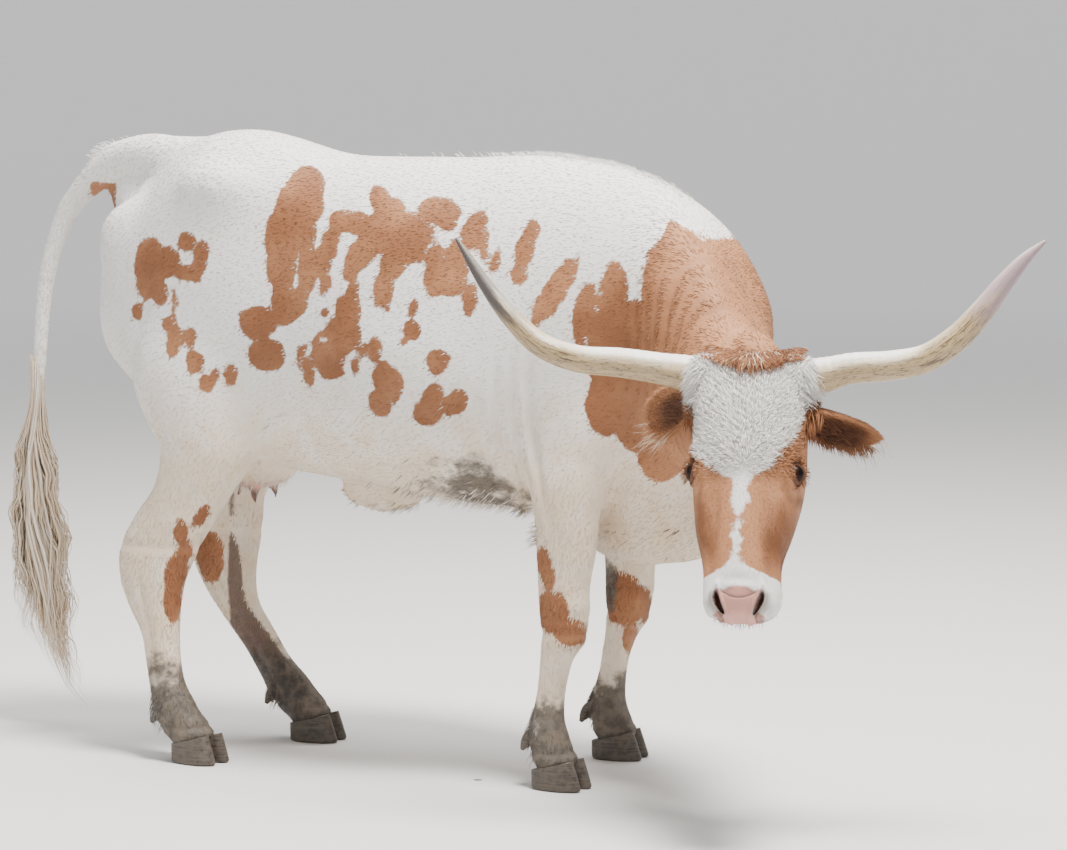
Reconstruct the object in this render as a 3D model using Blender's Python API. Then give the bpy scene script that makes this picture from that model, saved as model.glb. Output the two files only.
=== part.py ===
"""A Texas longhorn cow, life size and still, standing with its head lowered and turned to its right.

Metres, +Z up, +X the way the body faces, +Y the animal's left. The flesh is modelled whole: tapered
tubes of oval rings are fused, smoothed and thinned, and the whole is then parted with thin cuts.
"""

import math
import random

import bmesh
import bpy
import numpy as np
from mathutils import Matrix, Quaternion, Vector
from mathutils.bvhtree import BVHTree

# Driving sizes of the animal, in metres
WITHERS_HEIGHT = 1.325
TRUNK_LENGTH = 1.48
BARREL_WIDTH = 0.58
BUTTOCK_X = -1.16
PELVIS_SHIFT = -0.025
# How far up between bottom and top a trunk ring is widest
TRUNK_BELLY = 0.46
# The gap between neighbouring solids
GAP = 0.0003

# The head's own frame: its origin on the poll, and how far it is turned and tipped
POLL = Vector((0.536, -0.429, 0.935))
HEAD_HEADING = math.radians(-76.5)
HEAD_TIP = math.radians(27)
HEAD_LENGTH = 0.515
# The muzzle leans to the left by this much, from one place down the face to another
MUZZLE_SHIFT = 0.007
MUZZLE_FROM, MUZZLE_TO = 0.36, 0.47

# Where the head is parted from the neck: a plane through the back of the poll and of the jaw
NECK_CUT_POLL = (-0.040, -0.085)
NECK_CUT_JAW = (0.165, -0.215)
HEAD_REACH = 0.62

# Eyes and lids: place on the head, the way the opening looks and leans, its half sizes
EYE_RADIUS = 0.0200
EYE_OUT, EYE_DOWN, EYE_DEEP = 0.089, 0.228, -0.016
EYE_FACING, EYE_SLANT = 48, 18
LID_THICKNESS = 0.0035
LID_OPENING = (0.0235, 0.0160)
LID_OPENING_DEPTH = 0.016
BALL_SEGMENTS = 14

# Nostrils: place on the muzzle, half sizes, lean in degrees
NOSTRIL_OUT, NOSTRIL_DOWN, NOSTRIL_DEEP = 0.0385, 0.491, -0.006
NOSTRIL_SIZE = (0.0080, 0.0210, 0.0220)
NOSTRIL_LEAN = 24
# The mouth: a curved wedge round the muzzle, with its reach, width and half height
MOUTH_DOWN, MOUTH_DEEP = 0.545, -0.074
MOUTH_RADIUS = (0.088, 0.085)
MOUTH_SWEEP = 1.12
MOUTH_SIZE = (0.016, 0.0024)
MOUTH_STEPS = 9

# Ears: sizes, how far each is curled, and how it is meshed
EAR_LENGTH = 0.165
EAR_WIDTH = 0.096
EAR_THICKNESS = 0.0075
EAR_BEND = 0.10
EAR_CURL_ROOT, EAR_CURL_TIP = 1.45, 0.75
EAR_STEPS, EAR_ACROSS = 8, 6
# Locks that hang from the lower edge of each ear
FRINGE_LOCKS = 5
FRINGE_FROM, FRINGE_OVER = 0.22, 0.66
FRINGE_LENGTH = {-1: 0.042, 1: 0.026}
FRINGE_WIDTH = 0.030
FRINGE_THICKNESS = 0.0035

# Horns: radius at the root, lean of the plane they lie in, where each is parted along its length
HORN_RADIUS = 0.032
HORN_LEAN = math.radians(15)
HORN_DEEP = -0.022
HORN_FLATNESS = 0.94
HORN_LENGTHS = (0.0, 0.36, 0.70, 1.0)
HORN_STEPS = 19
HORN_POINTS = 12

# Hooves: each toe, the gap between two toes, the sloping top, and the dewclaws behind
CLAW_LENGTH = 0.112
CLAW_WIDTH = 0.049
CLAW_APART = 0.0012
CLAW_TOE_IN = 0.06
CLAW_POINTS = 12
CORONET_FRONT, CORONET_HEEL = 0.064, 0.040
DEWCLAW_HEIGHT = 0.108
DEWCLAW_BACK = {"fore": -0.062, "hind": -0.098}
DEWCLAW_SIDE = 0.020

# Locks of long hair: width at the root and the tip as shares of the widest, where the widening
# ends and the narrowing starts along a lock, and the random seed
LOCK_TAPER = (0.55, 0.10)
LOCK_WIDEST = (0.35, 0.45)
LOCK_SEED = 7

# The tuft on the poll: how many locks, how far to each side, and how long
POLL_LOCKS = 11
POLL_LOCK_SPREAD = 0.092
POLL_LOCK_LENGTH = 0.084
POLL_LOCK_WIDTH = 0.027
POLL_LOCK_THICKNESS = 0.008
POLL_ROOT_DOWN = -0.020
POLL_FAN = 0.75
# Height over the skin from a lock's root to its tip
POLL_LOCK_HEIGHTS = (-0.030, 0.001, 0.008, 0.008, 0.003)

# The tuft at the tail's end: its short core, and tiers of locks with how many there are, the
# height of their roots and tips, and how far out they lie at both ends
SWITCH_CORE_END = 0.41
SWITCH_CORE_SHARE = 0.62
SWITCH_TIERS = [
    (5, 0.715, 0.400, 0.55, 0.96),
    (7, 0.585, 0.165, 0.40, 0.90),
    (3, 0.470, 0.040, 0.20, 0.42),
]
SWITCH_LOCK_WIDTH = 0.046
SWITCH_LOCK_THICKNESS = 0.013
SWITCH_LOCK_STEPS = 6

# Heights at which each leg is parted, from the hoof up
FORE_CUTS = {
    "pastern": (0.0, 0.138),
    "cannon": (0.138, 0.232),
    "knee": (0.232, 0.352),
    "forearm": (0.352, 0.560),
}
HIND_CUTS = {
    "pastern": (0.0, 0.138),
    "cannon": (0.138, 0.335),
    "hock": (0.335, 0.475),
    "gaskin": (0.475, 0.600),
}
# The blocks that take a leg out: back and front in x, and inner and outer side in y
LEG_BLOCKS = {
    "fore_right": (-0.22, 0.145, -0.098, -0.36),
    "fore_left": (-0.22, 0.145, 0.098, 0.36),
    "hind_right": (-1.20, -0.55, -0.02, -0.42),
    "hind_left": (-1.20, -0.55, -0.02, 0.32),
}
# The gaskins are parted further out, so that the udder stays whole between them
GASKIN_INNER = {"hind_right": -0.106, "hind_left": 0.052}

# Fineness of the fused flesh, and the triangles it is thinned to
BODY_VOXEL = 0.010
HEAD_VOXEL = 0.0042
BODY_TRIANGLES = 5150
HEAD_TRIANGLES = 2350
RING_POINTS = 28
TRUNK_ROUNDS = 60
BODY_ROUNDS = 6
HEAD_ROUNDS = 16
SHARP_ANGLE = math.radians(50)

WHITE_HAIR = (0.86, 0.82, 0.77)
TAN_HAIR = (0.50, 0.27, 0.14)
CREAM_HAIR = (0.78, 0.69, 0.55)
HORN_COLOUR = (0.66, 0.58, 0.46)
HOOF_COLOUR = (0.10, 0.08, 0.07)
EYE_COLOUR = (0.03, 0.02, 0.015)


def material(name, colour, roughness):
    found = bpy.data.materials.get(name)
    if found:
        return found
    made = bpy.data.materials.new(name)
    made.use_nodes = True
    shader = made.node_tree.nodes["Principled BSDF"]
    shader.inputs["Base Color"].default_value = (*colour, 1)
    shader.inputs["Roughness"].default_value = roughness
    shader.inputs["Metallic"].default_value = 0
    return made


def smooth_rows(rows, count):
    """Rows of numbers resampled at even steps along the path of their first three columns,
    on a curve that passes through each row (a cubic with finite-difference slopes)."""
    rows = np.asarray(rows, float)
    steps = np.linalg.norm(np.diff(rows[:, :3], axis=0), axis=1)
    at = np.concatenate([[0], np.cumsum(steps)])
    slopes = np.gradient(rows, at, axis=0)
    wanted = np.linspace(0, at[-1], count)
    i = np.clip(np.searchsorted(at, wanted, side="right") - 1, 0, len(at) - 2)
    h = (at[i + 1] - at[i])[:, None]
    t = ((wanted - at[i]) / h[:, 0])[:, None]
    return (
        (2 * t**3 - 3 * t**2 + 1) * rows[i]
        + (t**3 - 2 * t**2 + t) * h * slopes[i]
        + (3 * t**2 - 2 * t**3) * rows[i + 1]
        + (t**3 - t**2) * h * slopes[i + 1]
    )


def power(value, exponent):
    return np.sign(value) * np.abs(value) ** exponent


def mesh_object(name, points, faces):
    mesh = bpy.data.meshes.new(name)
    mesh.from_pydata([tuple(p) for p in points], [], faces)
    obj = bpy.data.objects.new(name, mesh)
    bpy.context.scene.collection.objects.link(obj)
    return obj


def tube_faces(rings, around):
    """Quads between neighbouring rings, and a flat cap on the first and the last."""
    faces = []
    for ring in range(rings - 1):
        for k in range(around):
            low, high = ring * around, (ring + 1) * around
            nxt = (k + 1) % around
            faces.append((low + k, low + nxt, high + nxt, high + k))
    faces.append(tuple(range(around - 1, -1, -1)))
    faces.append(tuple(range((rings - 1) * around, rings * around)))
    return faces


def point_outwards(obj):
    shape = bmesh.new()
    shape.from_mesh(obj.data)
    bmesh.ops.recalc_face_normals(shape, faces=shape.faces)
    shape.to_mesh(obj.data)
    shape.free()
    return obj


def unit_slopes(centres):
    along = np.gradient(centres, axis=0)
    return along / np.linalg.norm(along, axis=1)[:, None]


def flesh_tube(name, rows, up, steps, around=RING_POINTS, square=2.0, along=None):
    """A closed tube of oval rings. Each row is x, y, z, half width, reach towards up, reach away
    from up and, if given, the roundness of the ring: 2 is an ellipse and more is squarer."""
    rows = np.array([tuple(r) + (square,) * (7 - len(r)) for r in rows])
    if steps:
        rows = smooth_rows(rows, steps)
    steps = len(rows)
    centres = rows[:, :3]
    if along is None:
        along = unit_slopes(centres)
    up = np.broadcast_to(np.asarray(up, float), along.shape)
    side = np.cross(up, along)
    side /= np.linalg.norm(side, axis=1)[:, None]
    rise = np.cross(along, side)
    turn = np.linspace(0, 2 * np.pi, around, endpoint=False)
    c, s = np.cos(turn), np.sin(turn)
    shape = 2 / rows[:, 6:7]
    across = np.maximum(rows[:, 3:4], 0.002) * power(c, shape)
    reach = np.where(s > 0, rows[:, 4:5], rows[:, 5:6])
    tall = np.maximum(reach, 0.002) * power(s, shape)
    points = centres[:, None] + side[:, None] * across[..., None] + rise[:, None] * tall[..., None]
    return point_outwards(mesh_object(name, points.reshape(-1, 3), tube_faces(steps, around)))


def lump(name, centre, radii, turn=None, segments=20):
    """A closed ellipsoid, for a muscle or a knob of bone under the skin."""
    shape = bmesh.new()
    bmesh.ops.create_uvsphere(shape, u_segments=segments, v_segments=segments // 2, radius=1)
    mesh = bpy.data.meshes.new(name)
    shape.to_mesh(mesh)
    shape.free()
    obj = bpy.data.objects.new(name, mesh)
    bpy.context.scene.collection.objects.link(obj)
    turn = (turn or Quaternion()).to_matrix().to_4x4()
    mesh.transform(Matrix.Translation(centre) @ turn @ Matrix.Diagonal((*radii, 1)))
    return obj


def apply_modifiers(obj):
    graph = bpy.context.evaluated_depsgraph_get()
    mesh = bpy.data.meshes.new_from_object(obj.evaluated_get(graph))
    obj.modifiers.clear()
    obj.data = mesh
    return obj


def remove(objects):
    for obj in list(objects):
        bpy.data.objects.remove(obj)


def joined(name, objects):
    """One mesh of several closed ones, which may still cross each other."""
    shape = bmesh.new()
    for obj in objects:
        part = obj.data.copy()
        part.transform(obj.matrix_world)
        shape.from_mesh(part)
    mesh = bpy.data.meshes.new(name)
    shape.to_mesh(mesh)
    shape.free()
    remove(objects)
    obj = bpy.data.objects.new(name, mesh)
    bpy.context.scene.collection.objects.link(obj)
    return obj


def thinned(obj, triangles):
    obj.data.calc_loop_triangles()
    thin = obj.modifiers.new("thin", "DECIMATE")
    thin.ratio = triangles / len(obj.data.loop_triangles)
    thin.use_collapse_triangulate = True
    return apply_modifiers(obj)


def fused(name, objects, voxel, smoothing):
    """Closed shapes melted into one skin of even quads and smoothed."""
    obj = joined(name, objects)
    melt = obj.modifiers.new("melt", "REMESH")
    melt.mode = "VOXEL"
    melt.voxel_size = voxel
    relax = obj.modifiers.new("relax", "SMOOTH")
    relax.factor = 0.5
    relax.iterations = smoothing
    return apply_modifiers(obj)


def boolean(obj, other, operation):
    cut = obj.modifiers.new("cut", "BOOLEAN")
    cut.operation = operation
    cut.object = other
    cut.solver = "EXACT"
    return apply_modifiers(obj)


def largest_surface(obj):
    """Only the biggest closed surface of a mesh stays."""
    shape = bmesh.new()
    shape.from_mesh(obj.data)
    left = set(shape.verts)
    pieces = []
    while left:
        piece, edge = set(), [left.pop()]
        while edge:
            vert = edge.pop()
            piece.add(vert)
            for link in vert.link_edges:
                other = link.other_vert(vert)
                if other in left:
                    left.discard(other)
                    edge.append(other)
        pieces.append(piece)
    pieces.sort(key=len)
    bmesh.ops.delete(shape, geom=[v for p in pieces[:-1] for v in p], context="VERTS")
    shape.to_mesh(obj.data)
    shape.free()
    return obj


def hair_lock(name, path, width, thickness, facing, sides=4):
    """A flat tapered lock along a path. facing is the way its flat side looks."""
    count = len(path)
    widen_to, narrow_from = LOCK_WIDEST
    rows = []
    for i, place in enumerate(path):
        s = i / (count - 1)
        taper = LOCK_TAPER[0] + (1 - LOCK_TAPER[0]) * min(1, s / widen_to)
        taper *= 1 - (1 - LOCK_TAPER[1]) * max(0, (s - narrow_from) / (1 - narrow_from)) ** 1.4
        half = thickness / 2 * max(taper, 0.25)
        rows.append((*place, width / 2 * taper, half, half))
    return flesh_tube(name, rows, facing, None, sides)


def with_locks(host, locks):
    """host with its locks fused on by one union, and only the biggest closed surface kept."""
    group = bpy.data.collections.new("locks")
    bpy.context.scene.collection.children.link(group)
    for lock in locks:
        bpy.context.scene.collection.objects.unlink(lock)
        group.objects.link(lock)
    fuse = host.modifiers.new("fuse", "BOOLEAN")
    fuse.operation = "UNION"
    fuse.operand_type = "COLLECTION"
    fuse.collection = group
    fuse.solver = "EXACT"
    apply_modifiers(host)
    remove(locks)
    bpy.data.collections.remove(group)
    return largest_surface(host)


def grown_copy(obj, by):
    """The same shape, each point moved out along its normal."""
    grown = bpy.data.objects.new(obj.name + "_grown", obj.data.copy())
    bpy.context.scene.collection.objects.link(grown)
    points = np.empty(len(grown.data.vertices) * 3, np.float32)
    normals = np.empty_like(points)
    grown.data.vertices.foreach_get("co", points)
    grown.data.vertices.foreach_get("normal", normals)
    grown.data.vertices.foreach_set("co", points + normals * by)
    grown.data.update()
    return grown


def trimmed(obj, hosts, gap=GAP * 1.6):
    """obj without what lies inside its hosts, and with a thin gap to them."""
    for host in hosts:
        cutter = grown_copy(host, gap)
        boolean(obj, cutter, "DIFFERENCE")
        remove([cutter])
    return largest_surface(obj)


def block(name, low, high, turn=None, centre=(0, 0, 0)):
    """A box between two corners in its own frame, turned and moved to its centre."""
    low, high = Vector(low), Vector(high)
    shape = bmesh.new()
    bmesh.ops.create_cube(shape, size=1)
    mesh = bpy.data.meshes.new(name)
    shape.to_mesh(mesh)
    shape.free()
    size = Matrix.Diagonal((*(high - low), 1))
    turn = (turn or Quaternion()).to_matrix().to_4x4()
    mesh.transform(Matrix.Translation(centre) @ turn @ Matrix.Translation((low + high) / 2) @ size)
    obj = bpy.data.objects.new(name, mesh)
    bpy.context.scene.collection.objects.link(obj)
    return obj


def parted(whole, name, low, high, turn=None, centre=(0, 0, 0)):
    """Cuts off the part of whole inside a block as its own object. A thin gap stays between them."""
    region = block("region", low, high, turn, centre)
    slack = Vector((GAP,) * 3)
    wider = block("wider", Vector(low) - slack, Vector(high) + slack, turn, centre)
    piece = bpy.data.objects.new(name, whole.data.copy())
    bpy.context.scene.collection.objects.link(piece)
    boolean(piece, region, "INTERSECT")
    boolean(whole, wider, "DIFFERENCE")
    remove([region, wider])
    return largest_surface(piece)


def finish(obj, paint):
    obj.data.materials.clear()
    obj.data.materials.append(paint)
    obj.data.shade_smooth()
    obj.data.set_sharp_from_angle(angle=SHARP_ANGLE)
    return obj


# The trunk, from the buttocks to the breast. Each row: place along it and half width as shares of
# its length and of half the barrel's width; top and bottom as shares of the height at the withers
TRUNK = [
    (0.000, 0.850, 0.780, 0.14, 2.0),
    (0.030, 0.938, 0.690, 0.42, 2.1),
    (0.070, 0.978, 0.620, 0.58, 2.2),
    (0.120, 1.005, 0.570, 0.70, 2.4),
    (0.200, 1.026, 0.520, 0.80, 2.6),
    (0.270, 1.014, 0.480, 0.84, 2.6),
    (0.340, 0.998, 0.466, 0.88, 2.3),
    (0.430, 0.994, 0.452, 0.93, 2.15),
    (0.530, 0.994, 0.436, 1.00, 2.1),
    (0.620, 0.993, 0.427, 1.00, 2.1),
    (0.710, 0.998, 0.420, 0.91, 2.1),
    (0.800, 0.975, 0.392, 0.78, 2.1),
    (0.870, 0.890, 0.362, 0.66, 2.1),
    (0.930, 0.760, 0.355, 0.50, 2.0),
    (0.980, 0.600, 0.400, 0.26, 2.0),
]


def trunk():
    rows = []
    for along, top, bottom, wide, square in TRUNK:
        x = BUTTOCK_X + along * TRUNK_LENGTH
        top, bottom = top * WITHERS_HEIGHT, bottom * WITHERS_HEIGHT
        middle = bottom + (top - bottom) * TRUNK_BELLY
        y = PELVIS_SHIFT * (1 - along) ** 2
        rows.append((x, y, middle, wide * BARREL_WIDTH / 2, top - middle, middle - bottom, square))
    return flesh_tube("trunk", rows, (0, 0, 1), 60, 36)


# The neck, from between the shoulders to behind the poll: x, y, z, half width, crest, throat
NECK = [
    (-0.100, 0.000, 1.030, 0.140, 0.245, 0.300),
    (0.030, -0.005, 1.015, 0.165, 0.275, 0.400),
    (0.130, -0.030, 0.985, 0.160, 0.268, 0.440),
    (0.215, -0.080, 0.950, 0.142, 0.245, 0.390),
    (0.295, -0.145, 0.910, 0.126, 0.220, 0.290),
    (0.370, -0.225, 0.872, 0.106, 0.180, 0.205),
    (0.440, -0.310, 0.835, 0.092, 0.140, 0.150),
    (0.495, -0.375, 0.815, 0.075, 0.105, 0.120),
]


def neck():
    return flesh_tube("neck", NECK, (0, 0, 1), 30, 28)


# Rings of a fore leg and of a hind leg: height as a share of the withers' height, then the half
# width and the reach forwards and backwards, in metres
FORE_RINGS = [
    (0.650, 0.055, 0.090, 0.110),
    (0.560, 0.072, 0.100, 0.115),
    (0.490, 0.074, 0.092, 0.092),
    (0.430, 0.066, 0.072, 0.072),
    (0.380, 0.057, 0.067, 0.067),
    (0.320, 0.049, 0.059, 0.058),
    (0.275, 0.049, 0.058, 0.052),
    (0.243, 0.051, 0.056, 0.044),
    (0.212, 0.044, 0.038, 0.038),
    (0.175, 0.035, 0.033, 0.034),
    (0.135, 0.034, 0.033, 0.035),
    (0.105, 0.038, 0.038, 0.042),
    (0.084, 0.044, 0.043, 0.050),
    (0.064, 0.046, 0.045, 0.047),
    (0.044, 0.050, 0.050, 0.044),
    (0.026, 0.045, 0.045, 0.036),
]
HIND_RINGS = [
    (0.800, 0.050, 0.120, 0.120),
    (0.700, 0.088, 0.165, 0.165),
    (0.600, 0.098, 0.165, 0.152),
    (0.530, 0.090, 0.125, 0.125),
    (0.470, 0.074, 0.095, 0.098),
    (0.415, 0.060, 0.083, 0.083),
    (0.365, 0.052, 0.088, 0.090),
    (0.325, 0.050, 0.084, 0.098),
    (0.295, 0.050, 0.076, 0.087),
    (0.260, 0.046, 0.064, 0.070),
    (0.215, 0.038, 0.047, 0.051),
    (0.165, 0.034, 0.042, 0.045),
    (0.115, 0.037, 0.042, 0.047),
    (0.084, 0.045, 0.048, 0.054),
    (0.062, 0.045, 0.045, 0.048),
    (0.044, 0.050, 0.050, 0.044),
    (0.026, 0.045, 0.045, 0.036),
]

# The middle line of each leg, from the body down to the top of its hoof, as the photo poses it
LEG_LINES = {
    "fore_right": [
        (0.030, -0.130, 0.861),
        (0.023, -0.160, 0.649),
        (0.022, -0.168, 0.503),
        (0.017, -0.172, 0.400),
        (0.015, -0.172, 0.330),
        (0.001, -0.174, 0.262),
        (-0.008, -0.175, 0.200),
        (-0.014, -0.177, 0.120),
        (-0.004, -0.178, 0.075),
        (0.008, -0.178, 0.034),
    ],
    "fore_left": [
        (0.030, 0.130, 0.861),
        (0.020, 0.158, 0.649),
        (0.024, 0.165, 0.503),
        (0.018, 0.168, 0.385),
        (0.006, 0.170, 0.300),
        (-0.012, 0.172, 0.235),
        (-0.023, 0.173, 0.170),
        (-0.031, 0.175, 0.105),
        (-0.021, 0.176, 0.070),
        (-0.012, 0.176, 0.034),
    ],
    "hind_right": [
        (-0.920, -0.125, 1.060),
        (-0.868, -0.170, 0.850),
        (-0.819, -0.190, 0.700),
        (-0.870, -0.206, 0.560),
        (-0.928, -0.221, 0.450),
        (-0.935, -0.228, 0.391),
        (-0.915, -0.238, 0.285),
        (-0.896, -0.246, 0.170),
        (-0.870, -0.250, 0.105),
        (-0.842, -0.252, 0.070),
        (-0.820, -0.252, 0.034),
    ],
    "hind_left": [
        (-0.910, 0.105, 1.060),
        (-0.905, 0.130, 0.850),
        (-0.922, 0.135, 0.700),
        (-0.942, 0.128, 0.570),
        (-0.950, 0.115, 0.440),
        (-0.942, 0.106, 0.375),
        (-0.912, 0.100, 0.295),
        (-0.866, 0.092, 0.235),
        (-0.795, 0.084, 0.140),
        (-0.765, 0.082, 0.105),
        (-0.732, 0.080, 0.072),
        (-0.710, 0.079, 0.034),
    ],
}
# Where each foot stands, and which way it points from straight ahead
FEET = {
    "fore_right": (0.012, -0.178, math.radians(-6)),
    "fore_left": (-0.010, 0.176, math.radians(4)),
    "hind_right": (-0.815, -0.252, math.radians(-10)),
    "hind_left": (-0.705, 0.079, math.radians(2)),
}


def leg(name):
    line = np.asarray(LEG_LINES[name], float)
    rings = np.asarray(FORE_RINGS if name.startswith("fore") else HIND_RINGS, float)
    heights = rings[:, 0] * WITHERS_HEIGHT
    fine = smooth_rows(line, 60)
    order = np.argsort(fine[:, 2])
    x = np.interp(heights, fine[order, 2], fine[order, 0])
    y = np.interp(heights, fine[order, 2], fine[order, 1])
    rows = np.column_stack([x, y, heights, rings[:, 1], rings[:, 2], rings[:, 3]])
    return flesh_tube("leg_" + name, rows, (1, 0, 0), 64, 20, square=2.2)


def body_lumps():
    """Knobs of bone and muscles that show through the skin, left and right alike."""
    made = []
    for side in (-1, 1):
        made += [
            lump("hook_bone", (-0.790, side * 0.165 + PELVIS_SHIFT, 1.225), (0.110, 0.065, 0.055)),
            lump("pin_bone", (-1.060, side * 0.098 + PELVIS_SHIFT, 1.120), (0.090, 0.055, 0.085)),
            lump("shoulder_blade", (0.010, side * 0.120, 1.090), (0.110, 0.070, 0.170)),
            lump("shoulder_point", (0.165, side * 0.145, 0.800), (0.090, 0.070, 0.120)),
            lump("upper_arm", (0.030, side * 0.160, 0.750), (0.130, 0.070, 0.150)),
            lump("elbow", (-0.045, side * 0.180, 0.695), (0.055, 0.040, 0.065)),
            lump("rib_spring", (-0.330, side * 0.185, 0.880), (0.280, 0.130, 0.230)),
        ]
    made += [
        lump("stifle_right", (-0.765, -0.195, 0.730), (0.080, 0.060, 0.110)),
        lump("stifle_left", (-0.810, 0.145, 0.740), (0.080, 0.060, 0.110)),
        lump("navel_flap", (-0.490, 0.000, 0.585), (0.110, 0.028, 0.055)),
        lump("brisket", (0.160, -0.010, 0.540), (0.190, 0.085, 0.090)),
        lump("breast", (0.150, 0.000, 0.690), (0.150, 0.140, 0.190)),
        lump("perineum", (-1.080, PELVIS_SHIFT, 1.190), (0.085, 0.042, 0.075)),
        lump("udder", (-0.800, -0.025, 0.650), (0.120, 0.095, 0.080)),
        lump("vulva", (-1.135, PELVIS_SHIFT, 1.050), (0.030, 0.034, 0.062)),
    ]
    for fore in (-0.865, -0.775):
        for side in (-1, 1):
            made.append(lump("teat", (fore, side * 0.045 - 0.025, 0.572), (0.014, 0.014, 0.034)))
    return made


# The outer side of the bend in the neck: x, y, z, half width, up, down
NECK_BEND = [
    (0.020, 0.090, 0.960, 0.080, 0.150, 0.170),
    (0.140, 0.085, 0.940, 0.085, 0.160, 0.180),
    (0.250, 0.030, 0.920, 0.085, 0.165, 0.180),
    (0.350, -0.065, 0.890, 0.080, 0.150, 0.160),
    (0.430, -0.180, 0.860, 0.070, 0.120, 0.130),
    (0.490, -0.300, 0.840, 0.055, 0.090, 0.095),
]


def neck_bend():
    return flesh_tube("neck_bend", NECK_BEND, (0, 0, 1), 24, 20)


# The fold of skin under the throat and neck: x, y, z, half width, up, down
DEWLAP = [
    (0.080, 0.000, 0.560, 0.060, 0.080, 0.080),
    (0.200, -0.020, 0.560, 0.048, 0.100, 0.100),
    (0.290, -0.070, 0.590, 0.034, 0.110, 0.110),
    (0.360, -0.140, 0.640, 0.026, 0.100, 0.095),
    (0.425, -0.225, 0.695, 0.024, 0.075, 0.070),
    (0.470, -0.300, 0.730, 0.022, 0.050, 0.040),
]


def dewlap():
    return flesh_tube("dewlap", DEWLAP, (0, 0, 1), 24, 16)


# The tail's bone, from the rump in an arch and down: x, y, z, half width, back, front
TAIL = [
    (-0.840, -0.022, 1.270, 0.070, 0.052, 0.052),
    (-1.036, -0.022, 1.288, 0.058, 0.050, 0.066),
    (-1.114, -0.021, 1.280, 0.050, 0.046, 0.066),
    (-1.174, -0.020, 1.262, 0.042, 0.042, 0.050),
    (-1.235, -0.020, 1.222, 0.033, 0.034, 0.034),
    (-1.273, -0.020, 1.185, 0.029, 0.030, 0.030),
    (-1.303, -0.020, 1.130, 0.026, 0.027, 0.027),
    (-1.326, -0.020, 1.070, 0.024, 0.025, 0.025),
    (-1.341, -0.020, 1.009, 0.022, 0.023, 0.023),
    (-1.358, -0.020, 0.854, 0.019, 0.020, 0.020),
    (-1.368, -0.020, 0.746, 0.017, 0.018, 0.018),
    (-1.374, -0.020, 0.655, 0.015, 0.016, 0.016),
    (-1.377, -0.020, 0.560, 0.012, 0.012, 0.012),
    (-1.378, -0.020, 0.480, 0.008, 0.008, 0.008),
]


def tail_bone():
    return flesh_tube("tail_bone", TAIL, (-0.6, 0, 1), 44, 16)


def head_frame():
    """The head's axes as columns: the animal's right, down the face to the nose, out of the face."""
    heading = Vector((math.cos(HEAD_HEADING), math.sin(HEAD_HEADING), 0))
    right = heading.cross(Vector((0, 0, 1)))
    down = heading * math.sin(HEAD_TIP) - Vector((0, 0, 1)) * math.cos(HEAD_TIP)
    out = heading * math.cos(HEAD_TIP) + Vector((0, 0, 1)) * math.sin(HEAD_TIP)
    return Matrix((right, down, out)).transposed()


HEAD_AXES = head_frame()
HEAD_TURN = HEAD_AXES.to_quaternion()


def on_head(left, down, out):
    """A point given in the head's frame, from the poll."""
    return POLL + HEAD_AXES @ Vector((-left, down, out))


# The head, from the poll to the nose. Each row: place down the face and half width as shares of
# the head's length, then where the face and the throat side lie out of the poll's plane
HEAD = [
    (-0.055, 0.080, -0.020, -0.070, 2.0),
    (-0.020, 0.190, 0.008, -0.105, 2.2),
    (0.060, 0.246, 0.028, -0.130, 2.4),
    (0.135, 0.238, 0.037, -0.150, 2.4),
    (0.215, 0.214, 0.041, -0.168, 2.3),
    (0.290, 0.206, 0.041, -0.184, 2.3),
    (0.390, 0.206, 0.037, -0.196, 2.2),
    (0.470, 0.194, 0.032, -0.190, 2.2),
    (0.560, 0.184, 0.026, -0.168, 2.2),
    (0.660, 0.168, 0.021, -0.144, 2.2),
    (0.755, 0.154, 0.017, -0.126, 2.2),
    (0.835, 0.149, 0.014, -0.114, 2.3),
    (0.905, 0.152, 0.008, -0.108, 2.4),
    (0.960, 0.140, -0.006, -0.102, 2.4),
    (0.995, 0.100, -0.028, -0.090, 2.2),
    (1.008, 0.045, -0.045, -0.074, 2.0),
]


def muzzle_side(down):
    """How far to the left the muzzle's middle lies at a place down the face, on a smooth S."""
    t = min(1, max(0, (down - MUZZLE_FROM) / (MUZZLE_TO - MUZZLE_FROM)))
    return MUZZLE_SHIFT * t * t * (3 - 2 * t)


def head_tube():
    rows = []
    for along, wide, face, throat, square in HEAD:
        down = along * HEAD_LENGTH
        centre = on_head(muzzle_side(down), down, (face + throat) / 2)
        half = (face - throat) / 2
        rows.append((*centre, wide * HEAD_LENGTH, half, half, square))
    return flesh_tube("skull", rows, HEAD_AXES.col[2], 48, 32)


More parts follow.
